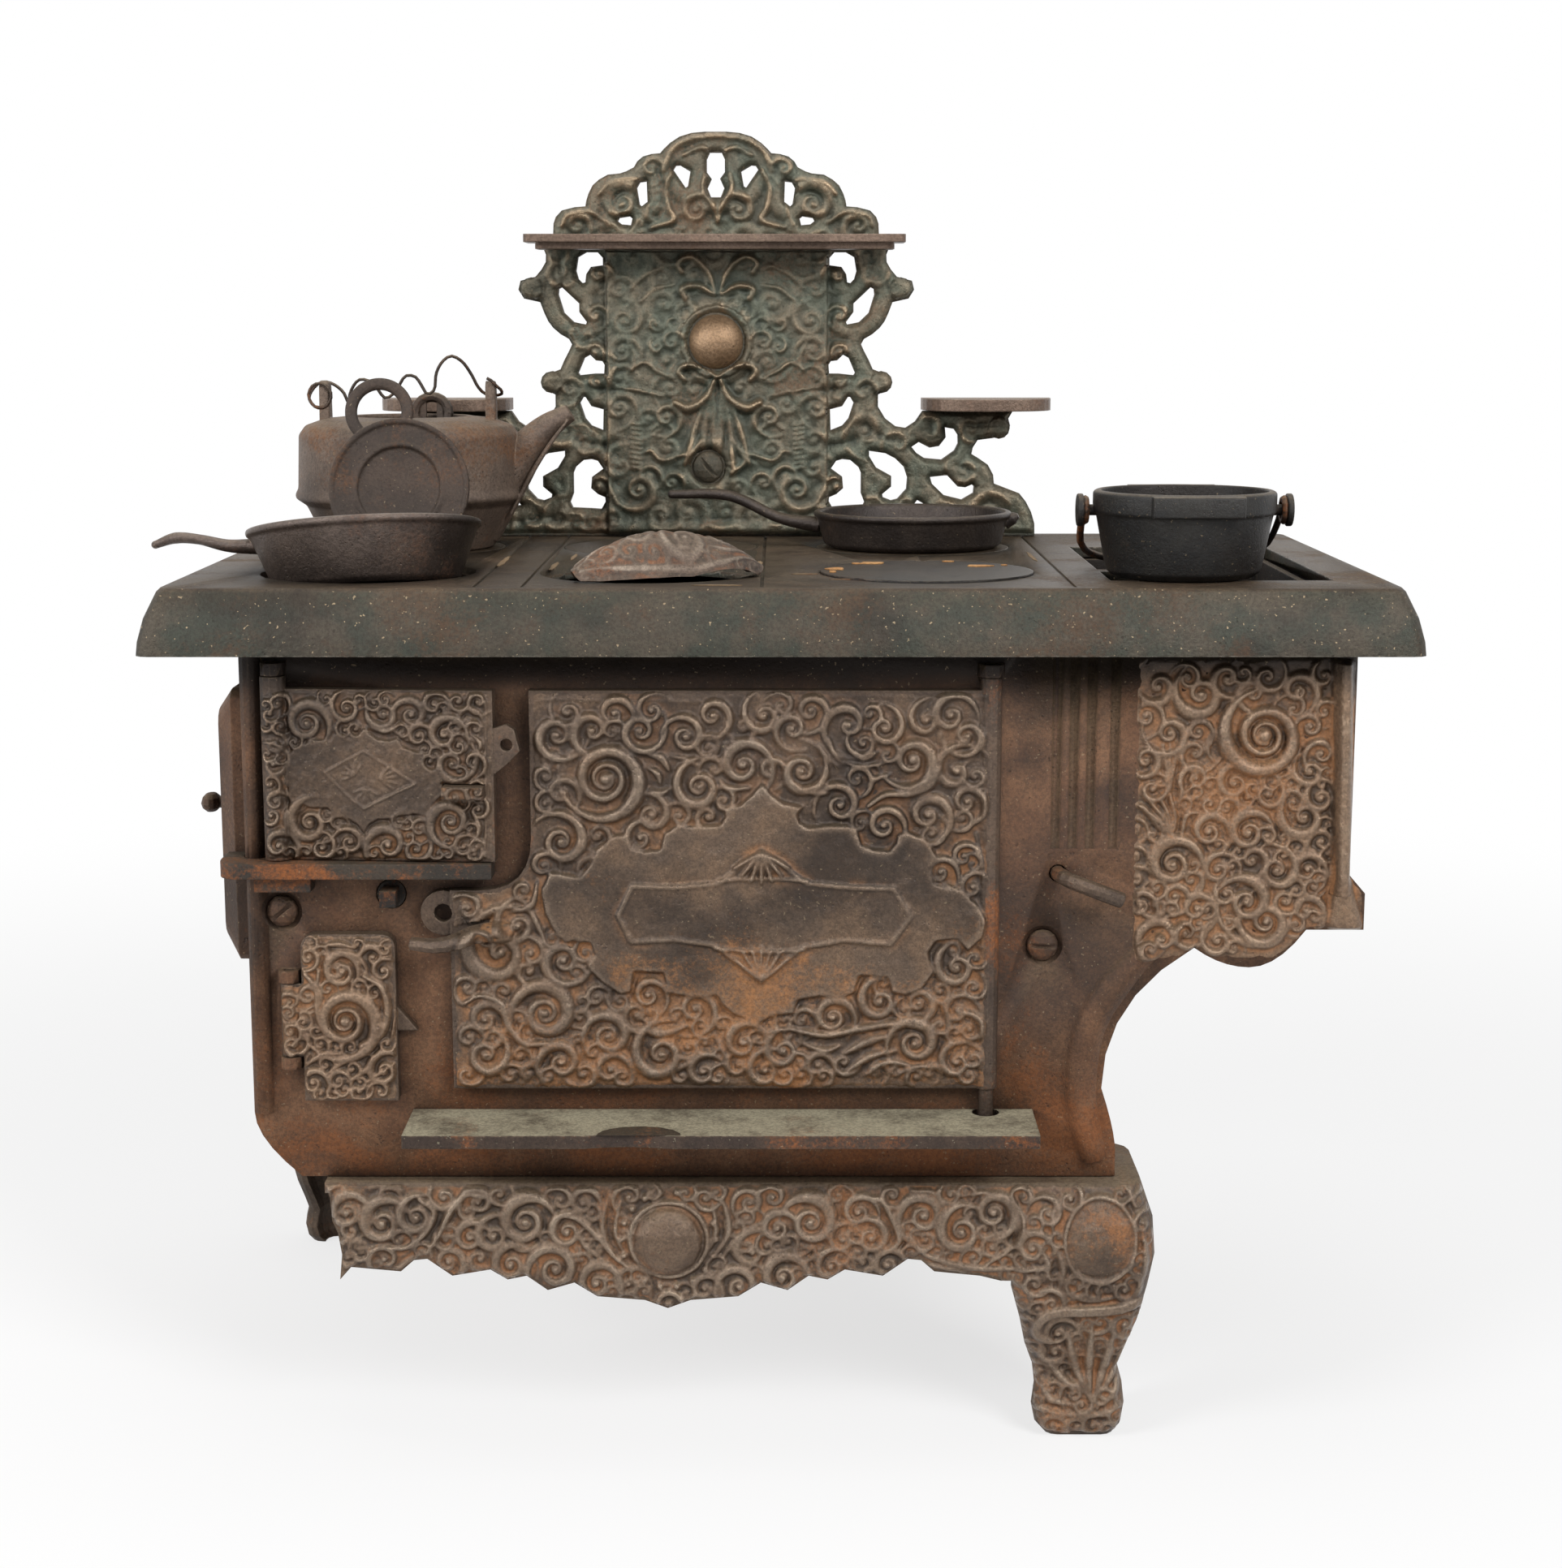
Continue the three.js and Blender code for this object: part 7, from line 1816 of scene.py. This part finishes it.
@dataclass(frozen=True)
class Kettle:
    """The small spouted kettle, all in millimetres."""

    foot: float = 30.0
    flange: float = 41.3
    flange_level: float = 19.0
    waist: float = 39.6
    height: float = 47.3
    mouth: float = 23.4
    wall: float = 2.4
    place: Triple = (-135, 150, HOB_TOP + 0.3)
    spout: tuple[Triple, ...] = (
        (22.3, 0, 9.2), (34, 0, 24.2), (42.2, 0, 34.9), (50.1, 0, 43.1), (58.6, 0, 48.4))
    spout_radii: tuple[float, ...] = (14, 10.5, 8, 5.7, 3.6)
    ear: float = 30.0
    ear_low: float = 38.6
    ear_high: float = 59.8
    ear_thick: float = 3.6
    seam: tuple[Triple, ...] = ((37, -9.0, 12), (45, -7.8, 27), (52, -5.6, 38), (58, -3.6, 46))

    def profile(self) -> list[Pair]:
        """Draw the kettle's wall.

        Returns:
            Radius and height pairs.
        """
        wall = self.wall
        return [
            (0, 0), (self.foot, 0), (self.flange - wall * 1.6, self.flange_level - wall * 1.5),
            (self.flange, self.flange_level - wall * 0.4), (self.flange, self.flange_level + wall * 0.3),
            (self.waist + wall * 0.3, self.flange_level + wall), (self.waist, self.height * 0.86),
            (self.waist - wall, self.height * 0.93), (self.mouth + wall * 3, self.height - wall * 0.4),
            (self.mouth, self.height - wall * 0.1), (self.mouth - wall * 0.3, self.height),
            (self.mouth - wall, self.height), (self.mouth - wall, self.height - wall),
            (self.waist - wall * 2.4, self.height * 0.86),
            (self.waist - wall * 1.3, self.flange_level + wall * 1.5), (self.foot - wall, wall * 1.1),
            (0, wall),
        ]

    def make_ear(self, mesh_data: bmesh.types.BMesh, side: int) -> None:
        """Add the lug that carries one end of the bail.

        Args:
            mesh_data: The bmesh to add to.
            side: -1 for the left lug, 1 for the right one.
        """
        low, high = self.ear_low, self.ear_high
        outline = [(-4.4, low), (-3.3, high - 5), (-3.0, high - 2), (-1.6, high - 0.4), (0, high),
                   (1.6, high - 0.4), (3.0, high - 2), (3.3, high - 5), (4.4, low)]
        start = side * self.ear - self.ear_thick / 2
        verts = [mesh_data.verts.new((start * MM, y * MM, z * MM)) for y, z in outline]
        moved = pulled(mesh_data, mesh_data.faces.new(verts), Vector((self.ear_thick * MM, 0, 0)))
        bevelled(mesh_data, inner_edges(moved), 0.7)

    def build(self, dresser: Dresser) -> bpy.types.Object:
        """Make the kettle.

        Args:
            dresser: Gives it its finish.

        Returns:
            The object.
        """
        mesh_data = bmesh.new()
        spun(mesh_data, eased(self.profile(), 0.9), 112)
        swept(mesh_data, list(self.spout), list(self.spout_radii), 0.86, 32, 64, (0, 1, 0))
        swept(mesh_data, list(self.seam), [0.5, 0.9, 0.8, 0.4], 1.0, 12, 40)
        self.make_ear(mesh_data, -1)
        self.make_ear(mesh_data, 1)
        bmesh.ops.recalc_face_normals(mesh_data, faces=mesh_data.faces)
        placed(mesh_data, at(*self.place))
        piece = finished("spouted_kettle", mesh_data)
        keep_creases(piece)
        dresser.dress(piece, Finish.KETTLE)
        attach(piece, "kettle_body")
        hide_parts("kettle")
        return piece


@dataclass(frozen=True)
class Griddle:
    """The round griddle plate with a hanging loop, all in millimetres."""

    radius: float = 24.4
    thick: float = 2.6
    recess: float = 14.2
    depth: float = 1.3
    loop: float = 9.8
    loop_wire: float = 2.5
    loop_place: float = 27.8
    place: Triple = (-132.5, 103.08, 309.54)

    def build(self, dresser: Dresser) -> bpy.types.Object:
        """Make the griddle.

        Args:
            dresser: Gives it its finish.

        Returns:
            The object.
        """
        high = self.thick / 2
        low, face = -high, high - self.depth
        profile = [(0, low), (self.radius, low), (self.radius, high), (self.radius - 1.5, high),
                   (self.radius - 2.3, high - 0.8), (self.recess + 2.2, high - 0.7),
                   (self.recess + 1.2, high - 0.1), (self.recess + 0.3, high - 0.3),
                   (self.recess - 0.3, face), (0, face)]
        mesh_data = bmesh.new()
        spun(mesh_data, eased(profile, 0.6), 96)
        ring = [(self.loop * math.cos(a), self.loop_place + self.loop * math.sin(a), 0)
                for a in np.linspace(math.radians(-35), math.radians(215), 30)]
        swept(mesh_data, ring, [self.loop_wire * 0.5, self.loop_wire * 0.5], 1.7, 18, 72)
        placed(mesh_data, at(*self.place), turned(x=75, z=15))
        piece = finished("round_griddle", mesh_data)
        keep_creases(piece)
        dresser.dress(piece, Finish.GRIDDLE)
        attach(piece, "griddle_plate")
        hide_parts("griddle")
        return piece


@dataclass(frozen=True)
class Pot:
    """The boiling pot with flat lips and trunnions, all in millimetres."""

    profile: tuple[Pair, ...] = ((0, 0), (22.4, 0), (25, 2.08), (28.46, 20), (29.5, 21.04), (29.5, 27.02),
                                 (28.46, 27.8), (26.9, 27.8), (26.38, 20), (22.4, 3.64), (0, 2.6))
    lip_half: float = 14.5
    lip_low: float = 20.8
    lip_high: float = 27.5
    lip_root: float = 27.6
    lip_reach: float = 32.3
    pin: float = 1.8
    pin_root: float = 27.0
    pin_reach: float = 34.8
    pin_level: float = 21.3
    head: float = 5.3
    head_thick: float = 2.0
    place: Triple = (130.5, 40, HOB_TOP + 0.3)

    def make_lip(self, mesh_data: bmesh.types.BMesh, side: int) -> None:
        """Add the flat lip in front or behind.

        Args:
            mesh_data: The bmesh to add to.
            side: -1 for the front lip, 1 for the rear one.
        """
        block = bmesh.ops.create_cube(mesh_data, size=1.0)["verts"]
        outer = [vert for vert in block if vert.co.y * side > 0]
        for vert in block:
            vert.co.x *= self.lip_half * 2 * MM
            vert.co.y = side * (self.lip_reach if vert in outer else self.lip_root) * MM
            vert.co.z = (self.lip_high if vert.co.z > 0 else self.lip_low) * MM
        bevelled(mesh_data, inner_edges(outer), 0.7)

    def make_trunnion(self, mesh_data: bmesh.types.BMesh, side: int) -> None:
        """Add a pin for the bail, with its head.

        Args:
            mesh_data: The bmesh to add to.
            side: -1 for the left pin, 1 for the right one.
        """
        turn = Matrix.Rotation(math.radians(90), 4, "Y")
        turn.translation = (side * (self.pin_root + self.pin_reach) / 2 * MM, 0, self.pin_level * MM)
        bmesh.ops.create_cone(mesh_data, cap_ends=True, segments=24, radius1=self.pin * MM,
                              radius2=self.pin * MM, depth=(self.pin_reach - self.pin_root) * MM, matrix=turn)
        turn.translation = (side * (self.pin_reach - self.head_thick / 2) * MM, 0, self.pin_level * MM)
        head = bmesh.ops.create_cone(mesh_data, cap_ends=True, segments=32, radius1=self.head * MM,
                                     radius2=self.head * MM, depth=self.head_thick * MM, matrix=turn)["verts"]
        caps = {face for vert in head for face in vert.link_faces if len(face.verts) > 8}
        bevelled(mesh_data, {edge for face in caps for edge in face.edges}, 0.5)

    def build(self, dresser: Dresser) -> bpy.types.Object:
        """Make the pot.

        Args:
            dresser: Gives it its finish.

        Returns:
            The object.
        """
        mesh_data = bmesh.new()
        spun(mesh_data, eased(list(self.profile), 0.6), 112)
        for side in (-1, 1):
            self.make_lip(mesh_data, side)
            self.make_trunnion(mesh_data, side)
        bmesh.ops.recalc_face_normals(mesh_data, faces=mesh_data.faces)
        placed(mesh_data, at(*self.place))
        piece = finished("boiling_pot", mesh_data)
        keep_creases(piece)
        dresser.dress(piece, Finish.POT)
        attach(piece, "pot_body")
        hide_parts("pot")
        return piece


@dataclass(frozen=True)
class BackBoss:
    """The bright rubbed cap of the back plate's boss, all in millimetres."""

    x: float = -24.4
    z: float = HOB_TOP + 0.3 + 73.3
    face: float = 193.4
    radius: float = 10.4
    rise: float = 8.6

    def build(self, dresser: Dresser) -> bpy.types.Object:
        """Make the cap.

        Args:
            dresser: Gives it its finish.

        Returns:
            The object.
        """
        curve = [(self.radius * math.cos(a), self.rise * math.sin(a))
                 for a in np.linspace(0, math.pi / 2, 16)]
        profile = [(self.radius - 0.8, -0.8), (self.radius, -0.8), *curve[:-1], (0, self.rise)]
        mesh_data = bmesh.new()
        spun(mesh_data, profile, 72)
        placed(mesh_data, at(self.x, self.face, self.z), Matrix.Rotation(math.radians(90), 4, "X"))
        piece = finished("back_boss_cap", mesh_data)
        dresser.dress(piece, Finish.BOSS)
        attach(piece, "stove")
        return piece


@dataclass(frozen=True)
class FallenLeaf:
    """The broken, arched piece of cast ornament that lies on the hob, all in millimetres."""

    x: float = -36.5
    y: float = 33.0
    chord: float = 59.0
    rise: float = 10.5
    width: float = 23.0
    thick: float = 5.0
    yaw: float = 21.0
    shell: float = 2.2
    crown: float = 0.78
    carving: float = 0.7
    drape: float = 0.88
    lowest: float = 0.4
    shares: tuple[float, ...] = (0.45, 0.7, 0.9, 1.0, 1.0, 0.95, 1.0, 1.0, 0.9, 0.7, 0.5)
    along: int = 150
    across: int = 56

    def relief(self, sweep: float, radius: float) -> tuple[np.ndarray, np.ndarray]:
        """Draw the leaf's carving on a flat grid.

        Args:
            sweep: Half the arch's angle.
            radius: The arch's radius.

        Returns:
            Its height and how far each point stands over what is round it.
        """
        half = sweep * radius
        sheet = Relief("leaf", "ornament", "broken_leaf", -half, half, -self.width / 2, self.width / 2,
                       Finish.LEAF, [(Flat(), LEAF_ORNAMENT)], step=2 * half / self.along, fills=14,
                       fill_high=1.0, margin=1.0)
        sheet.grid = (np.linspace(-half, half, self.along + 1),
                      np.linspace(-self.width / 2, self.width / 2, self.across + 1))
        height = sheet.shape()
        sheet.crowd(height, np.ones(height.shape, bool))
        height = sheet.blurred(height, 1)
        return height, np.clip(0.5 + (height - sheet.blurred(height, sheet.smooth_passes)) * 0.5, 0, 1)

    def draped(self, level: float, along: float, side: float) -> float:
        """Lower a point of the leaf towards its near side, and less so at its right end.

        Args:
            level: The point's height.
            along: Its place from -1 at the left end to 1 at the right.
            side: Its place from -1 at the near edge to 1 at the far one.

        Returns:
            The lower height.
        """
        near = min(max(0.25 - side, 0.0) / 1.25, 1.0)
        drape = self.drape * (1 - 0.75 * max(along - 0.15, 0.0) / 0.85)
        return level * (1 - drape * near ** 1.7)

    def build(self, dresser: Dresser) -> bpy.types.Object:
        """Make the leaf.

        Args:
            dresser: Gives it its finish.

        Returns:
            The object.
        """
        half = self.chord / 2
        radius = (half * half + self.rise * self.rise) / (2 * self.rise)
        sweep = math.asin(half / radius)
        height, crest = self.relief(sweep, radius)
        random = np.random.default_rng(5)
        share = np.linspace(0, 1, self.along + 1)
        torn = np.interp(share, np.linspace(0, 1, 24), random.uniform(0.9, 1.0, 24))
        wide = np.interp(share, np.linspace(0, 1, len(self.shares)), self.shares) * torn
        mesh_data = bmesh.new()
        layer = mesh_data.verts.layers.float.new("crest")
        turn = Matrix.Rotation(math.radians(self.yaw), 4, "Z")
        middle = at(self.x, self.y, HOB_TOP + 0.3)
        sides = []
        for top in (True, False):
            rows = []
            for i in range(self.along + 1):
                along = 2 * i / self.along - 1
                angle = sweep * along
                row = []
                for j in range(self.across + 1):
                    side = 2 * j / self.across - 1
                    over = self.crown * self.thick * (1 - abs(side) ** 3.2)
                    if top:
                        over += height[j, i] * self.carving * (1 - abs(side) ** 8)
                    else:
                        over = max(over - self.shell, 0.0) * 0.9
                    reach = radius + min(over, self.thick - 0.02)
                    level = self.draped(reach * math.cos(angle) - radius * math.cos(sweep), along, side)
                    place = Vector((reach * math.sin(angle), side * wide[i] * self.width / 2,
                                    max(level, self.lowest) + (0.0 if top else 0.02)))
                    vert = mesh_data.verts.new(turn @ (place * MM) + middle)
                    vert[layer] = crest[j, i] if top else 0.4
                    row.append(vert)
                rows.append(row)
            sides.append(rows)
        for rows, flip in ((sides[0], False), (sides[1], True)):
            for first, second in zip(rows, rows[1:]):
                for quad in zip(first, second, second[1:], first[1:]):
                    mesh_data.faces.new(tuple(reversed(quad)) if flip else quad)
        border = [edge for edge in mesh_data.edges if edge.is_boundary]
        bmesh.ops.bridge_loops(mesh_data, edges=border)
        bmesh.ops.recalc_face_normals(mesh_data, faces=mesh_data.faces)
        piece = finished("fallen_leaf", mesh_data)
        keep_creases(piece, 55)
        dresser.dress(piece, Finish.LEAF)
        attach(piece, "broken_leaf")
        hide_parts("ornament")
        return piece


@dataclass(frozen=True)
class Softened:
    """A node's own shape once more, with its small facets shaded as one smooth surface."""

    name: str
    node: str
    body: str
    finish: Finish
    angle: float = 32.0

    def build(self, dresser: Dresser) -> bpy.types.Object:
        """Make the smooth copy.

        Args:
            dresser: Gives it its finish.

        Returns:
            The object.
        """
        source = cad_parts[self.node]
        mesh_data = bmesh.new()
        mesh_data.from_mesh(source.data)
        bmesh.ops.transform(mesh_data, matrix=source.matrix_world, verts=mesh_data.verts)
        bmesh.ops.remove_doubles(mesh_data, verts=mesh_data.verts, dist=1e-6)
        piece = finished(self.name, mesh_data)
        keep_creases(piece, self.angle)
        dresser.dress(piece, self.finish)
        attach(piece, self.body)
        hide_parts(self.node)
        return piece


@dataclass(frozen=True)
class Flakes:
    """Thin irregular patches that lie on a level face: places from a middle and sizes in millimetres.

    The ones that are not told otherwise are the pale flakes on the black lid.
    """

    name: str = "lid_flakes"
    body: str = "hob_lid"
    finish: Finish = Finish.FLAKE
    corners: int = 14
    ragged: float = 0.38
    front: float = -1000.0
    x: float = 48.0
    y: float = 53.0
    level: float = 285.72
    thick: float = 0.4
    chips: tuple[tuple[float, float, float, float], ...] = (
        (-17.0, 24.0, 5.4, 3.4), (-22.5, 22.5, 1.8, 1.5), (18.5, 14.0, 5.2, 2.8), (-30.0, 3.5, 3.6, 4.2),
        (-31.0, -6.0, 1.5, 2.4), (9.0, 30.0, 2.2, 1.2), (27.0, 17.0, 1.2, 1.1),
    )

    def build(self, dresser: Dresser) -> bpy.types.Object:
        """Make the flakes.

        Args:
            dresser: Gives them their finish.

        Returns:
            The object.
        """
        random = np.random.default_rng(11)
        mesh_data = bmesh.new()
        for x, y, across, deep in self.chips:
            verts = []
            for angle in np.linspace(0, math.tau, self.corners, endpoint=False):
                reach = random.uniform(1 - self.ragged, 1.0)
                away = max(self.y + y + deep * reach * math.sin(angle), self.front)
                place = at(self.x + x + across * reach * math.cos(angle), away, self.level)
                verts.append(mesh_data.verts.new(place))
            pulled(mesh_data, mesh_data.faces.new(verts), Vector((0, 0, self.thick * MM)))
        bmesh.ops.recalc_face_normals(mesh_data, faces=mesh_data.faces)
        piece = finished(self.name, mesh_data, smooth=False)
        dresser.dress(piece, self.finish)
        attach(piece, self.body)
        return piece


PATCHES = (
    Flakes(),
    Flakes("seam_dust", "stove", Finish.DUST, 30, 0.3, -1000.0, 0.0, 0.0, HOB_TOP + 0.02, 0.18,
           ((-95.4, 92.0, 1.3, 22.0), (-76.6, 74.0, 1.2, 17.0), (-72.5, 108.0, 1.0, 13.0),
            (-7.4, 84.0, 1.3, 9.0), (88.0, 110.0, 0.9, 20.0), (-20.0, 11.0, 9.0, 1.4),
            (22.0, 30.0, 7.0, 1.0), (8.0, 47.0, 5.0, 1.1))),
    Flakes("shelf_wear", "stove", Finish.WORN, 48, 0.04, -14.7, 0.0, 0.0, 113.32, 0.06,
           ((-45.0, -14.7, 13.6, 9.6),)),
)

SOFT = (
    Softened("smooth_hob", "hob_plate", "stove", Finish.HOB),
    Softened("smooth_front", "front_panel", "stove", Finish.BODY),
    Softened("smooth_base", "front_base", "stove", Finish.BASE_BARE),
)


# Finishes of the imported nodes

DRESS = {
    Finish.BODY: ("front_panel", "left_end", "right_end", "rear_panel", "bottom_plate", "reservoir_casing",
                  "end_door", "end_door_knob", "oven_left_plate", "oven_right_plate", "left_bolt",
                  "right_bolt"),
    Finish.HOB: ("hob_plate", "lid_rear_left", "lid_rear_middle", "lid_rear_right"),
    Finish.LID: ("eye_lid",),
    Finish.BARE: ("oven_door", "firebox_door", "ash_door", "ornament", "damper_lever"),
    Finish.WORN: ("firebox_shelf",),
    Finish.PATINA: ("back_plate", "back_screw"),
    Finish.BASE_BARE: ("front_base", "rear_base", "left_side_apron", "right_side_apron"),
    Finish.LEDGE: ("oven_shelf",),
    Finish.BRACKET: ("crest_shelf", "left_bracket_shelf", "right_bracket_shelf"),
    Finish.TIN: ("oven_floor", "oven_top", "reservoir_tank", "fire_grate", "shaker_shaft", "damper_blade"),
    Finish.PAN: ("front_pan", "rear_pan"),
    Finish.POT: ("pot",),
    Finish.KETTLE: ("kettle",),
    Finish.GRIDDLE: ("griddle",),
    Finish.WIRE: ("kettle_bail", "kettle_ring", "pot_bail"),
}


# Floor, background and lights


@dataclass(frozen=True)
class Lamp:
    """A soft square lamp: place and target in millimetres, side in metres, power in watts."""

    name: str
    place: Triple
    side: float
    power: float
    target: Triple = (0, 100, 160)

    def build(self) -> None:
        """Make the lamp."""
        data = bpy.data.lights.new(self.name, "AREA")
        data.size = self.side
        data.energy = self.power
        lamp = bpy.data.objects.new(self.name, data)
        lamp.location = at(*self.place)
        aim = at(*self.target) - lamp.location
        lamp.rotation_euler = aim.to_track_quat("-Z", "Y").to_euler()
        bpy.context.scene.collection.objects.link(lamp)


@dataclass(frozen=True)
class Studio:
    """The pale floor, the white background and the lamps.

    The floor keeps a shadow out to near metres from the stove and is white from far metres on.
    """

    ambient: float = 0.2
    floor_shade: float = 0.9
    glow: float = 0.72
    near: float = 0.3
    far: float = 1.1
    half_floor: float = 9000.0
    lamps: tuple[Lamp, ...] = (
        Lamp("key", (800, -1050, 1080), 0.6, 18.0),
        Lamp("left", (-1250, -800, 880), 0.6, 15.5),
        Lamp("top", (-100, 150, 1600), 0.9, 7.0),
    )

    def plain_rays(self, tree: Tree) -> bpy.types.NodeSocket:
        """Find the rays that show the background as it is.

        Args:
            tree: The tree to add to.

        Returns:
            1 for camera, glossy and transmission rays.
        """
        rays = tree.add("LightPath").outputs
        both = tree.math("ADD", rays["Is Camera Ray"], rays["Is Glossy Ray"], True)
        return tree.math("ADD", both, rays["Is Transmission Ray"], True)

    def make_world(self) -> None:
        """Light the scene evenly and show white behind it."""
        world = bpy.data.worlds.new("studio")
        tree = Tree.fresh(world)
        light, white = tree.add("Background"), tree.add("Background")
        tree.feed(light, Color=(1, 1, 1), Strength=self.ambient)
        tree.feed(white, Color=(1, 1, 1), Strength=1.0)
        mix = tree.add("MixShader")
        tree.feed(mix, i0=self.plain_rays(tree), i1=light.outputs[0], i2=white.outputs[0])
        tree.feed(tree.add("OutputWorld"), Surface=mix.outputs[0])
        bpy.context.scene.world = world

    def make_floor(self) -> None:
        """Lay the pale floor, which keeps the stove's shadow."""
        mesh_data = bmesh.new()
        bmesh.ops.create_grid(mesh_data, x_segments=1, y_segments=1, size=self.half_floor * MM)
        floor = finished("floor", mesh_data, smooth=False)
        material = bpy.data.materials.new("pale_floor")
        tree = Tree.fresh(material)
        paper, white = tree.add("BsdfDiffuse"), tree.add("Emission")
        tree.feed(paper, Color=(self.floor_shade,) * 3)
        tree.feed(white, Color=(1, 1, 1), Strength=1.0)
        away = tree.add("VectorMath", operation="LENGTH")
        tree.feed(away, i0=tree.add("TexCoord").outputs["Object"])
        share = tree.ramp(away.outputs["Value"], self.near, self.far, self.glow, 1.0)
        mix = tree.add("MixShader")
        tree.feed(mix, i0=tree.product(self.plain_rays(tree), share), i1=paper.outputs[0],
                  i2=white.outputs[0])
        tree.feed(tree.add("OutputMaterial"), Surface=mix.outputs[0])
        floor.data.materials.append(material)

    def build(self) -> None:
        """Set the whole studio up."""
        self.make_world()
        self.make_floor()
        for lamp in self.lamps:
            lamp.build()
        bpy.context.scene.view_settings.view_transform = "Standard"


def main() -> None:
    """Build the scene in order and note its size."""
    logging.basicConfig(level=logging.INFO, format="%(name)s: %(message)s")
    LENS.place()
    Studio().build()
    dresser = Dresser()
    dresser.dress_nodes(DRESS)
    for relief in RELIEFS:
        piece = relief.build(dresser)
        LOG.info("%s: %d faces", piece.name, len(piece.data.polygons))
    for maker in (*SOFT, *PANS, Kettle(), Griddle(), Pot(), BackBoss(), FallenLeaf(), *PATCHES):
        piece = maker.build(dresser)
        LOG.info("%s: %d faces", piece.name, len(piece.data.polygons))


if __name__ == "__main__":
    main()
